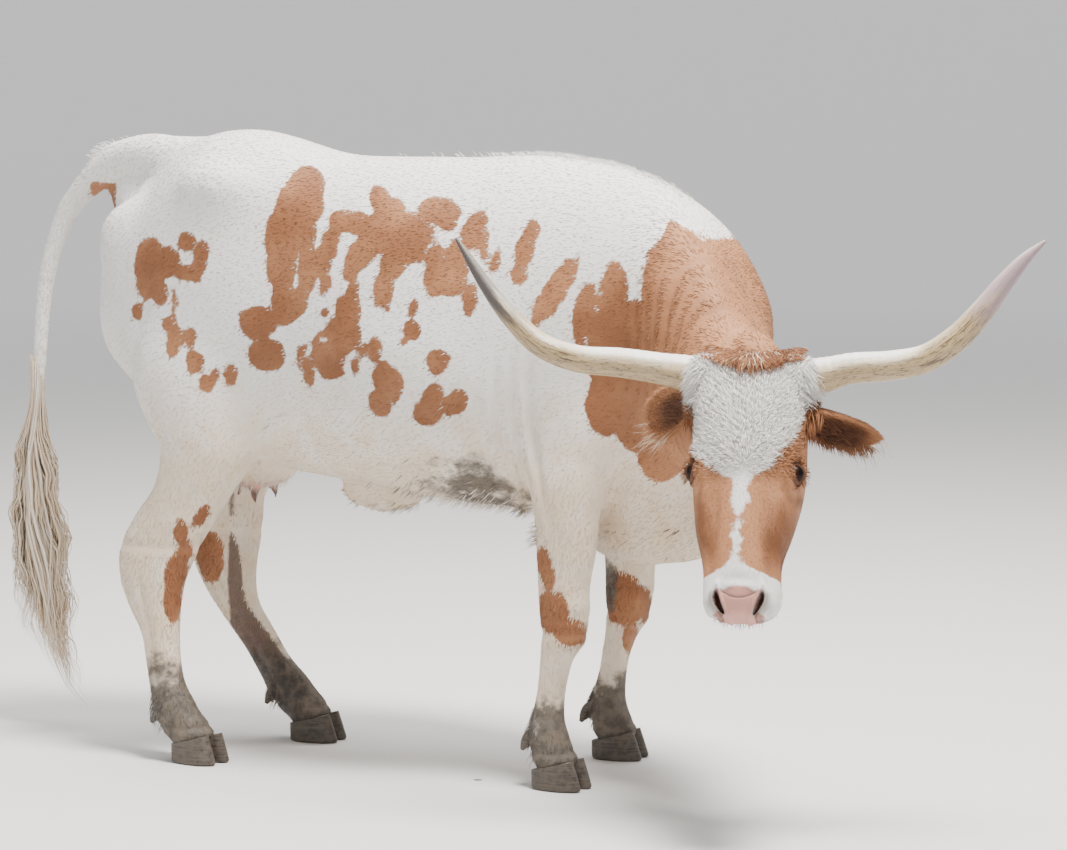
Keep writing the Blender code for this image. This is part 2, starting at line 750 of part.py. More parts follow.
def head_lumps():
    made = []
    for side in (-1, 1):
        made += [
            lump("cheek", on_head(side * 0.066, 0.215, -0.105), (0.030, 0.085, 0.070), HEAD_TURN),
            lump("brow", on_head(side * 0.070, 0.196, -0.010), (0.034, 0.046, 0.016), HEAD_TURN),
            lump("orbit", on_head(side * 0.076, 0.228, -0.020), (0.032, 0.044, 0.034), HEAD_TURN),
            lump("horn_root", on_head(side * 0.082, 0.022, -0.022), (0.060, 0.043, 0.042), HEAD_TURN),
            lump("nostril_wing", on_head(side * 0.044 + MUZZLE_SHIFT, 0.486, -0.028),
                 (0.030, 0.034, 0.032), HEAD_TURN),
            lump("ear_root", on_head(side * 0.104, 0.082, -0.055), (0.032, 0.034, 0.034), HEAD_TURN),
        ]
    made.append(lump("chin", on_head(MUZZLE_SHIFT, 0.455, -0.100), (0.046, 0.044, 0.026), HEAD_TURN))
    made.append(lump("poll_ridge", on_head(0, 0.006, -0.030), (0.100, 0.030, 0.036), HEAD_TURN))
    return made


def fore_hind(name):
    return "fore" if name.startswith("fore") else "hind"


def body_pieces():
    pieces = [trunk(), neck(), neck_bend(), dewlap(), tail_bone(), head_tube()]
    pieces += [*body_lumps(), *head_lumps()]
    return pieces + [leg(name) for name in LEG_LINES]


def head_pieces():
    return [neck(), neck_bend(), head_tube(), *head_lumps()]


def head_region():
    """The block that holds the head alone, as low corner, high corner, turn and centre."""
    poll = on_head(0, *NECK_CUT_POLL)
    jaw = on_head(0, *NECK_CUT_JAW)
    along = (jaw - poll).normalized()
    across = HEAD_AXES.col[0].normalized()
    away = across.cross(along)
    turn = Matrix((across, along, away)).transposed().to_quaternion()
    low, high = (-0.30, -0.30, 0.0), (0.30, HEAD_REACH, 0.40)
    return low, high, turn, poll


def eye_centre(side):
    return on_head(side * EYE_OUT, EYE_DOWN, EYE_DEEP)


def cut_away(obj, cutters):
    """obj less a few closed shapes that don't touch one another."""
    cutter = joined("cutter", cutters)
    boolean(obj, cutter, "DIFFERENCE")
    remove([cutter])
    return obj


def nostril(side):
    """A comma-shaped pit that leans outwards at its top."""
    turn = HEAD_TURN @ Quaternion((0, 0, 1), math.radians(NOSTRIL_LEAN * side))
    centre = on_head(side * NOSTRIL_OUT + MUZZLE_SHIFT, NOSTRIL_DOWN, NOSTRIL_DEEP)
    return lump("nostril", centre, NOSTRIL_SIZE, turn, 16)


def eye_turn(side):
    """The turn that lays an eye's long axis along its slanted opening and its depth outwards."""
    outward = Quaternion((0, 1, 0), math.radians(EYE_FACING * -side))
    slant = Quaternion((0, 0, 1), math.radians(EYE_SLANT * side))
    return HEAD_TURN @ outward @ slant


def add_lids(head, side):
    """A thin shell over the eyeball, with an almond-shaped opening between its lids."""
    shell = lump("shell", eye_centre(side), (EYE_RADIUS + LID_THICKNESS,) * 3, HEAD_TURN, BALL_SEGMENTS)
    boolean(head, shell, "UNION")
    turn = eye_turn(side)
    centre = eye_centre(side) + turn @ Vector((0, 0, EYE_RADIUS + 0.004))
    long, wide = LID_OPENING
    opening = lump("opening", centre, (wide, long, LID_OPENING_DEPTH), turn, BALL_SEGMENTS)
    boolean(head, opening, "DIFFERENCE")
    socket = lump("socket", eye_centre(side), (EYE_RADIUS + GAP,) * 3, HEAD_TURN, BALL_SEGMENTS)
    boolean(head, socket, "DIFFERENCE")
    remove([shell, opening, socket])


def mouth_line():
    """A thin curved wedge round the muzzle, from one corner of the lips to the other."""
    wide, tall = MOUTH_SIZE
    across, ahead = MOUTH_RADIUS
    rows = []
    for i in range(MOUTH_STEPS):
        turn = math.pi * (i / (MOUTH_STEPS - 1) - 0.5) * MOUTH_SWEEP
        left = math.sin(turn) * across + MUZZLE_SHIFT
        down = MOUTH_DOWN + (math.cos(turn) - 1) * ahead
        rows.append((*on_head(left, down, MOUTH_DEEP), wide, tall, tall))
    return flesh_tube("mouth", rows, HEAD_AXES.col[2], 24, 8)


def build_head():
    """The head's skin, finer than the body's, with its pits cut in."""
    skin = fused("head_flesh", head_pieces(), HEAD_VOXEL, HEAD_ROUNDS)
    head = parted(skin, "head", *head_region())
    remove([skin])
    cut_away(head, [nostril(-1), nostril(1), mouth_line()])
    thinned(head, HEAD_TRIANGLES)
    for side in (-1, 1):
        add_lids(head, side)
    return with_locks(head, poll_tuft(head))


def relaxed(obj, weight_of, rounds):
    """Smooths obj so many rounds, each point as strongly as weight_of says from its place."""
    points = np.empty(len(obj.data.vertices) * 3, np.float32)
    obj.data.vertices.foreach_get("co", points)
    weights = weight_of(points.reshape(-1, 3))
    group = obj.vertex_groups.new(name="broad")
    for level in range(1, 11):
        chosen = np.flatnonzero(np.round(weights * 10) == level)
        group.add(chosen.tolist(), level / 10, "REPLACE")
    relax = obj.modifiers.new("broad", "SMOOTH")
    relax.factor = 0.5
    relax.iterations = rounds
    relax.vertex_group = "broad"
    apply_modifiers(obj)
    obj.vertex_groups.clear()
    return obj


def trunk_weight(points):
    """1 on the trunk, breast and neck, fading to 0 on legs, tail and belly line."""
    x, y, z = points.T
    trunk_part = np.clip((z - 0.62) / 0.12, 0, 1)
    breast_part = np.clip((x - 0.12) / 0.06, 0, 1)
    tail_part = np.clip((z - 1.17) / 0.05, 0, 1) * np.clip((-1.0 - x) / 0.08, 0, 1)
    tail_part *= np.clip((0.10 - abs(y - PELVIS_SHIFT)) / 0.03, 0, 1)
    below_tail = np.clip((x + 1.22) / 0.04, 0, 1)
    behind_head = np.clip((y + 0.40) / 0.10, 0, 1)
    return np.maximum(trunk_part, breast_part) * (1 - tail_part) * below_tail * behind_head


def build_body():
    """The rest of the flesh in one skin, without the head."""
    flesh = fused("flesh", body_pieces(), BODY_VOXEL, BODY_ROUNDS)
    flesh = relaxed(flesh, trunk_weight, TRUNK_ROUNDS)
    thinned(flesh, BODY_TRIANGLES)
    low, high, turn, centre = head_region()
    slack = Vector((GAP,) * 3)
    cutter = block("cutter", Vector(low) - slack, Vector(high) + slack, turn, centre)
    boolean(flesh, cutter, "DIFFERENCE")
    remove([cutter])
    return flesh


# Half lengths of the walls, soles and coronets of one claw at rising heights: height as a share
# of the coronet's, then where its middle lies and its half length as shares of the claw's length
CLAW_RINGS = [
    (0.00, 0.060, 0.480, 0.92),
    (0.10, 0.055, 0.500, 1.00),
    (0.50, 0.015, 0.465, 0.98),
    (1.00, -0.035, 0.415, 0.90),
    (1.30, -0.060, 0.390, 0.84),
]


def claw(name, side):
    """One of the two toes of a hoof, its sole flat on the floor. side is 1 for the left toe."""
    x, y, turn = FEET[name]
    forward = Vector((math.cos(turn), math.sin(turn), 0))
    left = Vector((-math.sin(turn), math.cos(turn), 0))
    around = np.linspace(0, 2 * np.pi, CLAW_POINTS, endpoint=False)
    points = []
    for height, shift, long, wide in CLAW_RINGS:
        reach = np.cos(around)
        pointed = 1 - 0.30 * np.clip(reach, 0, 1) ** 2
        ahead = (shift + long * power(reach, 0.85)) * CLAW_LENGTH
        across = power(np.sin(around), 0.75) * CLAW_WIDTH / 2 * wide * pointed
        toe_in = CLAW_TOE_IN * np.clip(reach, 0, 1) * CLAW_WIDTH
        apart = side * (CLAW_WIDTH / 2 + CLAW_APART - toe_in)
        for a, c in zip(ahead, across + apart):
            points.append(Vector((x, y, height * CORONET_FRONT)) + forward * a + left * c)
    title = f"claw_{name}_{'left' if side > 0 else 'right'}"
    return point_outwards(mesh_object(title, points, tube_faces(len(CLAW_RINGS), CLAW_POINTS)))


def coronet_block(name, above, slack):
    """The half space above or below the sloping line where hair meets horn on one foot."""
    x, y, turn = FEET[name]
    slope = math.atan2(CORONET_FRONT - CORONET_HEEL, CLAW_LENGTH * 0.8)
    spin = Quaternion((0, 0, 1), turn) @ Quaternion((0, 1, 0), -slope)
    centre = (x, y, (CORONET_FRONT + CORONET_HEEL) / 2)
    if above:
        return block("above", (-0.12, -0.10, slack), (0.12, 0.10, 0.10), spin, centre)
    return block("below", (-0.12, -0.10, -0.12), (0.12, 0.10, slack), spin, centre)


def build_claws(flesh, name):
    """Both toes of one foot, and the flesh cut off level with their tops."""
    cutter = coronet_block(name, False, GAP)
    boolean(flesh, cutter, "DIFFERENCE")
    remove([cutter])
    made = []
    for side in (-1, 1):
        toe = claw(name, side)
        cutter = coronet_block(name, True, 0)
        boolean(toe, cutter, "DIFFERENCE")
        remove([cutter])
        made.append(toe)
    return made


def dewclaw(name, side):
    """A small horn cone behind the fetlock."""
    x, y, turn = FEET[name]
    forward = Vector((math.cos(turn), math.sin(turn), 0))
    left = Vector((-math.sin(turn), math.cos(turn), 0))
    root = Vector((x, y, 0)) + forward * DEWCLAW_BACK[fore_hind(name)] + left * side * DEWCLAW_SIDE
    root.z = DEWCLAW_HEIGHT
    tip = root - forward * 0.016 + left * side * 0.004 - Vector((0, 0, 0.030))
    inner = root + forward * 0.022 + Vector((0, 0, 0.012))
    rows = [
        (*inner, 0.011, 0.011, 0.011),
        (*root, 0.012, 0.012, 0.012),
        (*root.lerp(tip, 0.6), 0.010, 0.010, 0.010),
        (*tip, 0.004, 0.004, 0.004),
    ]
    return flesh_tube(f"dewclaw_{name}_{'left' if side > 0 else 'right'}", rows, (0, 0, 1), 5, 6)


# The middle line of each horn, the right one (-1) and the left one (1): how far out from the
# head's middle, how far up, and the radius as a share of the root's
HORN_LINES = {
    -1: [
        (0.080, -0.022, 1.00),
        (0.140, -0.018, 1.02),
        (0.186, -0.011, 0.98),
        (0.266, -0.001, 0.94),
        (0.347, 0.005, 0.86),
        (0.420, 0.030, 0.76),
        (0.483, 0.083, 0.62),
        (0.538, 0.148, 0.44),
        (0.583, 0.213, 0.24),
        (0.603, 0.242, 0.10),
    ],
    1: [
        (0.080, -0.022, 1.00),
        (0.129, -0.020, 1.02),
        (0.189, -0.005, 0.98),
        (0.266, 0.002, 0.94),
        (0.333, 0.017, 0.88),
        (0.387, 0.053, 0.84),
        (0.439, 0.110, 0.74),
        (0.483, 0.170, 0.58),
        (0.522, 0.217, 0.36),
        (0.556, 0.248, 0.10),
    ],
}


def horn_rows(side):
    rows = []
    for out, rise, wide in HORN_LINES[side]:
        up, lean = rise * math.cos(HORN_LEAN), rise * math.sin(HORN_LEAN)
        centre = on_head(side * out, -up, HORN_DEEP + lean)
        radius = HORN_RADIUS * wide
        flat = radius * HORN_FLATNESS
        rows.append((*centre, radius, flat, flat))
    return smooth_rows([r + (2.0,) for r in rows], HORN_STEPS)


def build_horn(side, head):
    """A horn in three lengths, each with a thin gap to the next, its root trimmed to the head."""
    rows = horn_rows(side)
    along = unit_slopes(rows[:, :3])
    word = "left" if side > 0 else "right"
    made = []
    for k, label in enumerate(("root", "middle", "tip")):
        first = int(round(HORN_LENGTHS[k] * (len(rows) - 1)))
        last = int(round(HORN_LENGTHS[k + 1] * (len(rows) - 1)))
        part, slopes = rows[first:last + 1].copy(), along[first:last + 1]
        if k:
            part[0, :3] += slopes[0] * GAP * 2
        title = f"horn_{word}_{label}"
        made.append(flesh_tube(title, part, HEAD_AXES.col[2], None, HORN_POINTS, along=slopes))
    trimmed(made[0], [head])
    return made


# Root, direction and the way the cup opens, for the right ear (-1) and the left ear (1)
EAR_POSES = {
    -1: ((-0.098, 0.060, -0.062), (-0.66, 0.02, -0.75), (-0.55, 0.25, 0.80)),
    1: ((0.098, 0.070, -0.060), (1.0, 0.14, -0.52), (0.18, 0.97, 0.14)),
}
# Half width along the ear, as a share of its widest
EAR_OUTLINE = [(0, 0.50), (0.2, 0.84), (0.45, 1), (0.7, 0.93), (0.85, 0.70), (0.95, 0.42), (1, 0.14)]


def ear_frame(side):
    """Root, axis, the way the cup opens and the way across it, in the head's frame."""
    root, axis, mouth = (Vector(v) for v in EAR_POSES[side])
    axis.normalize()
    mouth = (mouth - axis * mouth.dot(axis)).normalized()
    return root, axis, mouth, axis.cross(mouth)


def ear_point(side, s, t, depth):
    """A place on the ear: s from root to tip, t from edge to edge, depth from outside (0) in (1)."""
    root, axis, mouth, wide = ear_frame(side)
    half = EAR_WIDTH / 2 * np.interp(s, *zip(*EAR_OUTLINE))
    curl = EAR_CURL_ROOT + (EAR_CURL_TIP - EAR_CURL_ROOT) * min(1, s * 1.5)
    radius = half / math.sin(curl)
    thick = EAR_THICKNESS * (1 - 0.5 * s) * depth
    across = wide * (radius - thick) * math.sin(curl * t)
    inward = mouth * (radius - (radius - thick) * math.cos(curl * t))
    bend = mouth * EAR_BEND * EAR_LENGTH * s * s
    return on_head(*(root + axis * EAR_LENGTH * s + across + inward + bend))


def ear_cup(side):
    """A leaf-shaped cup: a curled sheet with thickness."""
    points = [
        ear_point(side, i / (EAR_STEPS - 1), 2 * j / (EAR_ACROSS - 1) - 1, depth)
        for depth in (0, 1) for i in range(EAR_STEPS) for j in range(EAR_ACROSS)
    ]
    faces = []
    n = EAR_STEPS * EAR_ACROSS
    for i in range(EAR_STEPS - 1):
        for j in range(EAR_ACROSS - 1):
            a = i * EAR_ACROSS + j
            quad = (a, a + 1, a + EAR_ACROSS + 1, a + EAR_ACROSS)
            faces += [quad, tuple(n + v for v in reversed(quad))]
    rim = [i * EAR_ACROSS for i in range(EAR_STEPS)]
    rim += [(EAR_STEPS - 1) * EAR_ACROSS + j for j in range(1, EAR_ACROSS)]
    rim += [i * EAR_ACROSS + EAR_ACROSS - 1 for i in range(EAR_STEPS - 2, -1, -1)]
    rim += [j for j in range(EAR_ACROSS - 2, 0, -1)]
    for a, b in zip(rim, rim[1:] + rim[:1]):
        faces.append((a, b, n + b, n + a))
    word = "left" if side > 0 else "right"
    return point_outwards(mesh_object(f"ear_{word}", points, faces))


def ear_fringe(side):
    """Short locks that hang from the lower edge of the ear."""
    draw = random.Random(LOCK_SEED + 5 + side)
    _, axis, mouth, wide = ear_frame(side)
    lower = 1 if wide.y > 0 else -1
    locks = []
    for i in range(FRINGE_LOCKS):
        s = FRINGE_FROM + FRINGE_OVER * i / (FRINGE_LOCKS - 1)
        length = FRINGE_LENGTH[side] * draw.uniform(0.8, 1.2)
        root = ear_point(side, s - 0.02, lower * 0.74, 0.5)
        edge = ear_point(side, s, lower * 0.98, 0.5)
        hang = (edge - root).normalized() * 0.6 - Vector((0, 0, 0.55)) + HEAD_AXES @ axis_part(axis, 0.35)
        hang.normalize()
        tip = edge + hang * length - Vector((0, 0, 0.15 * length))
        path = [root, edge, edge + hang * length * 0.5, tip]
        facing = HEAD_AXES @ axis_part(mouth, 1)
        locks.append(hair_lock("lock", path, FRINGE_WIDTH, FRINGE_THICKNESS, facing))
    return locks


def axis_part(direction, size):
    """A direction of the head's frame, whose first number counts to the left, made ready to turn."""
    return Vector((-direction.x, direction.y, direction.z)) * size


def build_ear(side, hosts):
    return trimmed(with_locks(ear_cup(side), ear_fringe(side)), hosts)


def build_eye(side):
    word = "left" if side > 0 else "right"
    return lump(f"eye_{word}", eye_centre(side), (EYE_RADIUS,) * 3, HEAD_TURN, BALL_SEGMENTS)


def box_region(low, high):
    return low, high, None, (0, 0, 0)


def tail_regions():
    return {
        "tail_root": box_region((-1.33, -0.12, 1.165), (-1.165, 0.10, 1.40)),
        "tail_upper": box_region((-1.50, -0.12, 0.900), (-1.225, 0.10, 1.165)),
        "tail_middle": box_region((-1.50, -0.12, 0.760), (-1.225, 0.10, 0.900)),
    }


def part_tail(flesh):
    return [parted(flesh, name, *region) for name, region in tail_regions().items()]


def leg_regions(name):
    """Where one leg is parted: a block for each length."""
    back, front, inner, outer = LEG_BLOCKS[name]
    regions = {}
    for part, (floor, ceiling) in (FORE_CUTS if fore_hind(name) == "fore" else HIND_CUTS).items():
        edge = GASKIN_INNER[name] if part == "gaskin" else inner
        low, high = min(edge, outer), max(edge, outer)
        regions[f"{name}_{part}"] = box_region((back, low, floor), (front, high, ceiling))
    return regions


def part_legs(flesh):
    made = []
    for name in LEG_LINES:
        for part, region in leg_regions(name).items():
            made.append(parted(flesh, part, *region))
    return made


def neck_plane(x, y, heading):
    """A block ahead of an upright plane across the neck."""
    turn = Quaternion((0, 0, 1), math.radians(heading))
    return (0.0, -0.45, -0.70), (0.80, 0.45, 0.70), turn, (x, y, 0.90)


def part_body(flesh):
    """Neck in two lengths and trunk in three; the rest of flesh is the hindquarters."""
    made = [
        parted(flesh, "neck_upper", *neck_plane(0.345, -0.180, -50)),
        parted(flesh, "neck_lower", *neck_plane(0.175, -0.040, -18)),
        parted(flesh, "forequarters", *box_region((-0.185, -0.50, 0.30), (0.80, 0.50, 1.60))),
        parted(flesh, "barrel", *box_region((-0.600, -0.50, 0.30), (-0.185, 0.50, 1.60))),
    ]
    largest_surface(flesh)
    flesh.name = "hindquarters"
    return made + [flesh]


# The tuft at the tail's end: x, y, z of its middle line and how far out its hair lies
SWITCH = [
    (-1.366, -0.020, 0.7597, 0.018),
    (-1.371, -0.020, 0.690, 0.030),
    (-1.374, -0.020, 0.620, 0.039),
    (-1.372, -0.020, 0.550, 0.048),
    (-1.367, -0.020, 0.470, 0.057),
    (-1.362, -0.020, 0.380, 0.061),
    (-1.356, -0.020, 0.290, 0.063),
    (-1.350, -0.020, 0.215, 0.060),
    (-1.325, -0.020, 0.150, 0.048),
    (-1.290, -0.020, 0.092, 0.034),
    (-1.255, -0.020, 0.052, 0.020),
    (-1.226, -0.020, 0.024, 0.006),
]


def switch_at(height):
    """x, y and spread of the tail's tuft at one height."""
    rows = np.asarray(SWITCH)[::-1]
    return [float(np.interp(height, rows[:, 2], rows[:, k])) for k in (0, 1, 3)]


def switch_core():
    """The hair nearest the tail's bone, no further down than half way to the tips."""
    top = SWITCH[0][2]
    rows = []
    for height in np.linspace(top, SWITCH_CORE_END, 6):
        x, y, spread = switch_at(height)
        down = (top - height) / (top - SWITCH_CORE_END)
        half = spread * (1 - (1 - SWITCH_CORE_SHARE) * min(1, 2 * down)) * (1 - 0.8 * down ** 4)
        rows.append((x, y, height, half, half, half))
    level = np.tile((0.0, 0.0, -1.0), (len(rows), 1))
    return flesh_tube("tail_switch", rows, (-1, 0, 0), None, 12, along=level)


def switch_lock(draw, turn, top, bottom, start, reach):
    """One lock, from inside the core out to the spread of the hair and down to its tip."""
    sway = draw.uniform(-0.10, 0.10)
    path = []
    for i in range(SWITCH_LOCK_STEPS):
        s = i / (SWITCH_LOCK_STEPS - 1)
        height = top + (bottom - top) * s
        x, y, spread = switch_at(height)
        out = spread * (start + (reach - start) * min(1, s / 0.45))
        angle = turn + sway * s + 0.10 * math.sin(5 * s + 1)
        path.append((x + out * math.cos(angle), y + out * math.sin(angle), height))
    facing = (math.cos(turn), math.sin(turn), 0)
    width = SWITCH_LOCK_WIDTH * draw.uniform(0.85, 1.1)
    return hair_lock("lock", path, width, SWITCH_LOCK_THICKNESS, facing)


def tail_switch():
    """The long hair at the tail's end, as tiers of overlapping locks on a short core."""
    draw = random.Random(LOCK_SEED)
    locks = []
    for tier, (count, top, bottom, start, reach) in enumerate(SWITCH_TIERS):
        for i in range(count):
            turn = 2 * math.pi * (i + 0.4 * tier + draw.uniform(-0.1, 0.1)) / count
            lower = bottom + draw.uniform(0.0, 0.05)
            locks.append(switch_lock(draw, turn, top, lower, start, reach))
    return with_locks(switch_core(), locks)


def over_head(skin, left, down, height):
    """A place at a height over the skin of the face, found by a line down on to it."""
    start = on_head(left, max(down, 0.004), 0.30)
    place = skin.ray_cast(start, -HEAD_AXES.col[2].normalized())[0]
    return place + HEAD_AXES.col[2] * height + HEAD_AXES.col[1] * min(0, down - 0.004)


def poll_tuft(head):
    """Locks that rise from behind the poll and fall forward over the forehead like a fan."""
    draw = random.Random(LOCK_SEED + 1)
    skin = BVHTree.FromPolygons(
        [v.co for v in head.data.vertices], [face.vertices for face in head.data.polygons]
    )
    steps = len(POLL_LOCK_HEIGHTS) - 1
    locks = []
    for i in range(POLL_LOCKS):
        t = 2 * i / (POLL_LOCKS - 1) - 1
        length = POLL_LOCK_LENGTH * (1 - 0.42 * abs(t)) * draw.uniform(0.85, 1.1)
        fan = POLL_FAN * t + draw.uniform(-0.10, 0.10)
        path = []
        for k, height in enumerate(POLL_LOCK_HEIGHTS):
            along = length * k / steps
            left = POLL_LOCK_SPREAD * t + along * math.sin(fan)
            down = POLL_ROOT_DOWN + along * math.cos(fan)
            path.append(over_head(skin, left, down, height * draw.uniform(0.85, 1.15)))
        width = POLL_LOCK_WIDTH * (1 - 0.25 * abs(t)) * draw.uniform(0.9, 1.1)
        locks.append(hair_lock("lock", path, width, POLL_LOCK_THICKNESS, HEAD_AXES.col[2]))
    return locks


def paint_all(nodes):
    white = material("white_hair", WHITE_HAIR, 0.8)
    for obj in nodes:
        if obj.name.startswith("horn"):
            paint = material("horn", HORN_COLOUR, 0.45)
        elif obj.name.startswith(("claw", "dewclaw")):
            paint = material("hoof", HOOF_COLOUR, 0.5)
        elif obj.name.startswith("eye"):
            paint = material("eye", EYE_COLOUR, 0.08)
        elif obj.name.startswith(("ear", "neck_upper")):
            paint = material("tan_hair", TAN_HAIR, 0.8)
        elif obj.name.startswith("tail_switch"):
            paint = material("cream_hair", CREAM_HAIR, 0.75)
        else:
            paint = white
        finish(obj, paint)


def centre_on_floor(nodes):
    """Moves everything so that the origin is under the middle of the whole, on the floor."""
    points = np.array([tuple(v.co) for obj in nodes for v in obj.data.vertices])
    middle = (points.min(axis=0) + points.max(axis=0)) / 2
    shift = Matrix.Translation((-middle[0], -middle[1], -points[:, 2].min()))
    for obj in nodes:
        obj.data.transform(shift)


def main():
    for obj in list(bpy.data.objects):
        bpy.data.objects.remove(obj)
    head = build_head()
    flesh = build_body()
    nodes = [head]
    for side in (-1, 1):
        horn = build_horn(side, head)
        nodes += [*horn, build_ear(side, [head, horn[0]])]
        nodes.append(build_eye(side))
    for name in LEG_LINES:
        nodes += build_claws(flesh, name)
        nodes += [trimmed(dewclaw(name, side), [flesh]) for side in (-1, 1)]
    nodes += part_tail(flesh)
    nodes += part_legs(flesh)
    nodes += part_body(flesh)
    nodes.append(tail_switch())
    paint_all(nodes)
    centre_on_floor(nodes)


main()
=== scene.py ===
# %% [markdown]
# # A Texas longhorn cow, life size
#
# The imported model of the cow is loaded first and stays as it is. It gives the frame: metres, the
# floor at z = 0 and one fixed body called root. Everything below dresses that model: one skin,
# a coat of tufts, long hair, horns, hooves and eyes. A museum model stands still, so nothing
# here moves.

# %% Load the fixed frame and note its size
import math

import bmesh
import bpy
import numpy as np
from mathutils import Matrix, Quaternion, Vector
from mathutils.bvhtree import BVHTree


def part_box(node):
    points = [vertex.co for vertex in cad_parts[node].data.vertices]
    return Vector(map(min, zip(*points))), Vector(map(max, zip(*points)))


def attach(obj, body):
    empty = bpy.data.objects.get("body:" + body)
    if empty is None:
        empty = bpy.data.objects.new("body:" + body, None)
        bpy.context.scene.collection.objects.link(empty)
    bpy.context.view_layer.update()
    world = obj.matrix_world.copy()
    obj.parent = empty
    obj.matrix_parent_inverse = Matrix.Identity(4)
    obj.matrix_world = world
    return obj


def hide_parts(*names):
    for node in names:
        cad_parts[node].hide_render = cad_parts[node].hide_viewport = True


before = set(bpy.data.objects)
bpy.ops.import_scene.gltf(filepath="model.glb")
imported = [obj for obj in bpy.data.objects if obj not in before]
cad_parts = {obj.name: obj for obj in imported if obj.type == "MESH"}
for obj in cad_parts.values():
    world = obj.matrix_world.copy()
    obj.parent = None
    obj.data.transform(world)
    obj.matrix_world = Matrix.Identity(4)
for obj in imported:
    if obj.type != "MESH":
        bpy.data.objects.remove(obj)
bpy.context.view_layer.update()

# %% [markdown]
# ## The cow's own frame
#
# The body was measured in a frame of its own: x forwards along the spine, y to the cow's left,
# z up, from a point on the floor between the front feet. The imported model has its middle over
# the origin instead. The eyes stand in both, so their distance apart in the two frames is the
# one shift that carries every table below to its place.

# %% Head axes and the shift between the two frames
WITHERS_HEIGHT = 1.325
HEAD_LENGTH = 0.515
POLL = Vector((0.536, -0.429, 0.935))
HEAD_HEADING = math.radians(-76.5)
HEAD_TIP = math.radians(27)
EYE_RADIUS = 0.0200
SOLID_EYE_OUT, EYE_DOWN, EYE_DEEP = 0.089, 0.228, -0.016
EYE_OUT = 0.095
WORDS = {-1: "right", 1: "left"}


def head_axes():
    """Columns: the cow's right, down the face to the nose, and straight out of the face."""
    heading = Vector((math.cos(HEAD_HEADING), math.sin(HEAD_HEADING), 0))
    right = heading.cross(Vector((0, 0, 1)))
    down = heading * math.sin(HEAD_TIP) - Vector((0, 0, 1)) * math.cos(HEAD_TIP)
    out = heading * math.cos(HEAD_TIP) + Vector((0, 0, 1)) * math.sin(HEAD_TIP)
    return Matrix((right, down, out)).transposed()


HEAD_AXES = head_axes()
HEAD_TURN = HEAD_AXES.to_quaternion()
AXES = np.array(HEAD_AXES)


def on_head(left, down, out):
    """A point in the head's frame: steps to the left, down the face and out of it from the poll."""
    return POLL + HEAD_AXES @ Vector((-left, down, out))


def eye_centre(side):
    return np.array(on_head(side * EYE_OUT, EYE_DOWN, EYE_DEEP))


def head_coordinates(points):
    """The same the other way: left, down and out for whole arrays of points."""
    local = (points - np.array(POLL)) @ AXES
    return -local[:, 0], local[:, 1], local[:, 2]


low, high = (np.array(corner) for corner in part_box("eye_left"))
SHIFT = (low + high) / 2 - np.array(on_head(SOLID_EYE_OUT, EYE_DOWN, EYE_DEEP))
RNG = np.random.default_rng(11)
print("shift between the frames", SHIFT.round(4))

# %% [markdown]
# ## Tools for surfaces
#
# A living body is mostly tubes: trunk, neck, legs, tail and skull are each a row of oval rings
# carried along a middle line. A smooth curve through a few measured rings gives all the rings
# between them. Muscles and knobs of bone are ellipsoids. Both come out as a grid of points, so
# one helper can turn any of them into a closed mesh.

# %% Rings along a line, ellipsoids, and meshes from arrays
def smooth_rows(rows, count):
    """Rows resampled at even steps along their first three columns: on each stretch, a cubic
    that keeps the values and the finite-difference slopes at both ends."""
    rows = np.asarray(rows, float)
    at = np.concatenate([[0], np.cumsum(np.linalg.norm(np.diff(rows[:, :3], axis=0), axis=1))])
    slopes = np.gradient(rows, at, axis=0)
    wanted = np.linspace(0, at[-1], count)
    i = np.clip(np.searchsorted(at, wanted, side="right") - 1, 0, len(at) - 2)
    h = (at[i + 1] - at[i])[:, None]
    t = ((wanted - at[i]) / h[:, 0])[:, None]
    start = (2 * t**3 - 3 * t**2 + 1) * rows[i] + (t**3 - 2 * t**2 + t) * h * slopes[i]
    end = (3 * t**2 - 2 * t**3) * rows[i + 1] + (t**3 - t**2) * h * slopes[i + 1]
    return start + end


def unit(vectors):
    """Each vector divided by its own length."""
    return vectors / np.maximum(np.linalg.norm(vectors, axis=-1, keepdims=True), 1e-9)


def power(value, exponent):
    """|value| to the exponent, with the value's sign."""
    return np.sign(value) * np.abs(value) ** exponent


def tube(rows, up, steps, around=28, square=2.0):
    """A grid of rings. A row is x, y, z, half width, reach towards up, reach away from it and
    the roundness: across = half width * cos, tall = reach * sin, each to the power 2 / roundness."""
    rows = np.array([tuple(r) + (square,) * (7 - len(r)) for r in rows])
    rows = smooth_rows(rows, steps) if steps else rows
    along = unit(np.gradient(rows[:, :3], axis=0))
    side = unit(np.cross(np.broadcast_to(np.asarray(up, float), along.shape), along))
    rise = np.cross(along, side)
    turn = np.linspace(0, 2 * np.pi, around, endpoint=False)
    c, s = np.cos(turn), np.sin(turn)
    shape = 2 / rows[:, 6:7]
    across = np.maximum(rows[:, 3:4], 0.002) * power(c, shape)
    tall = np.maximum(np.where(s > 0, rows[:, 4:5], rows[:, 5:6]), 0.002) * power(s, shape)
    return rows[:, None, :3] + side[:, None] * across[..., None] + rise[:, None] * tall[..., None]


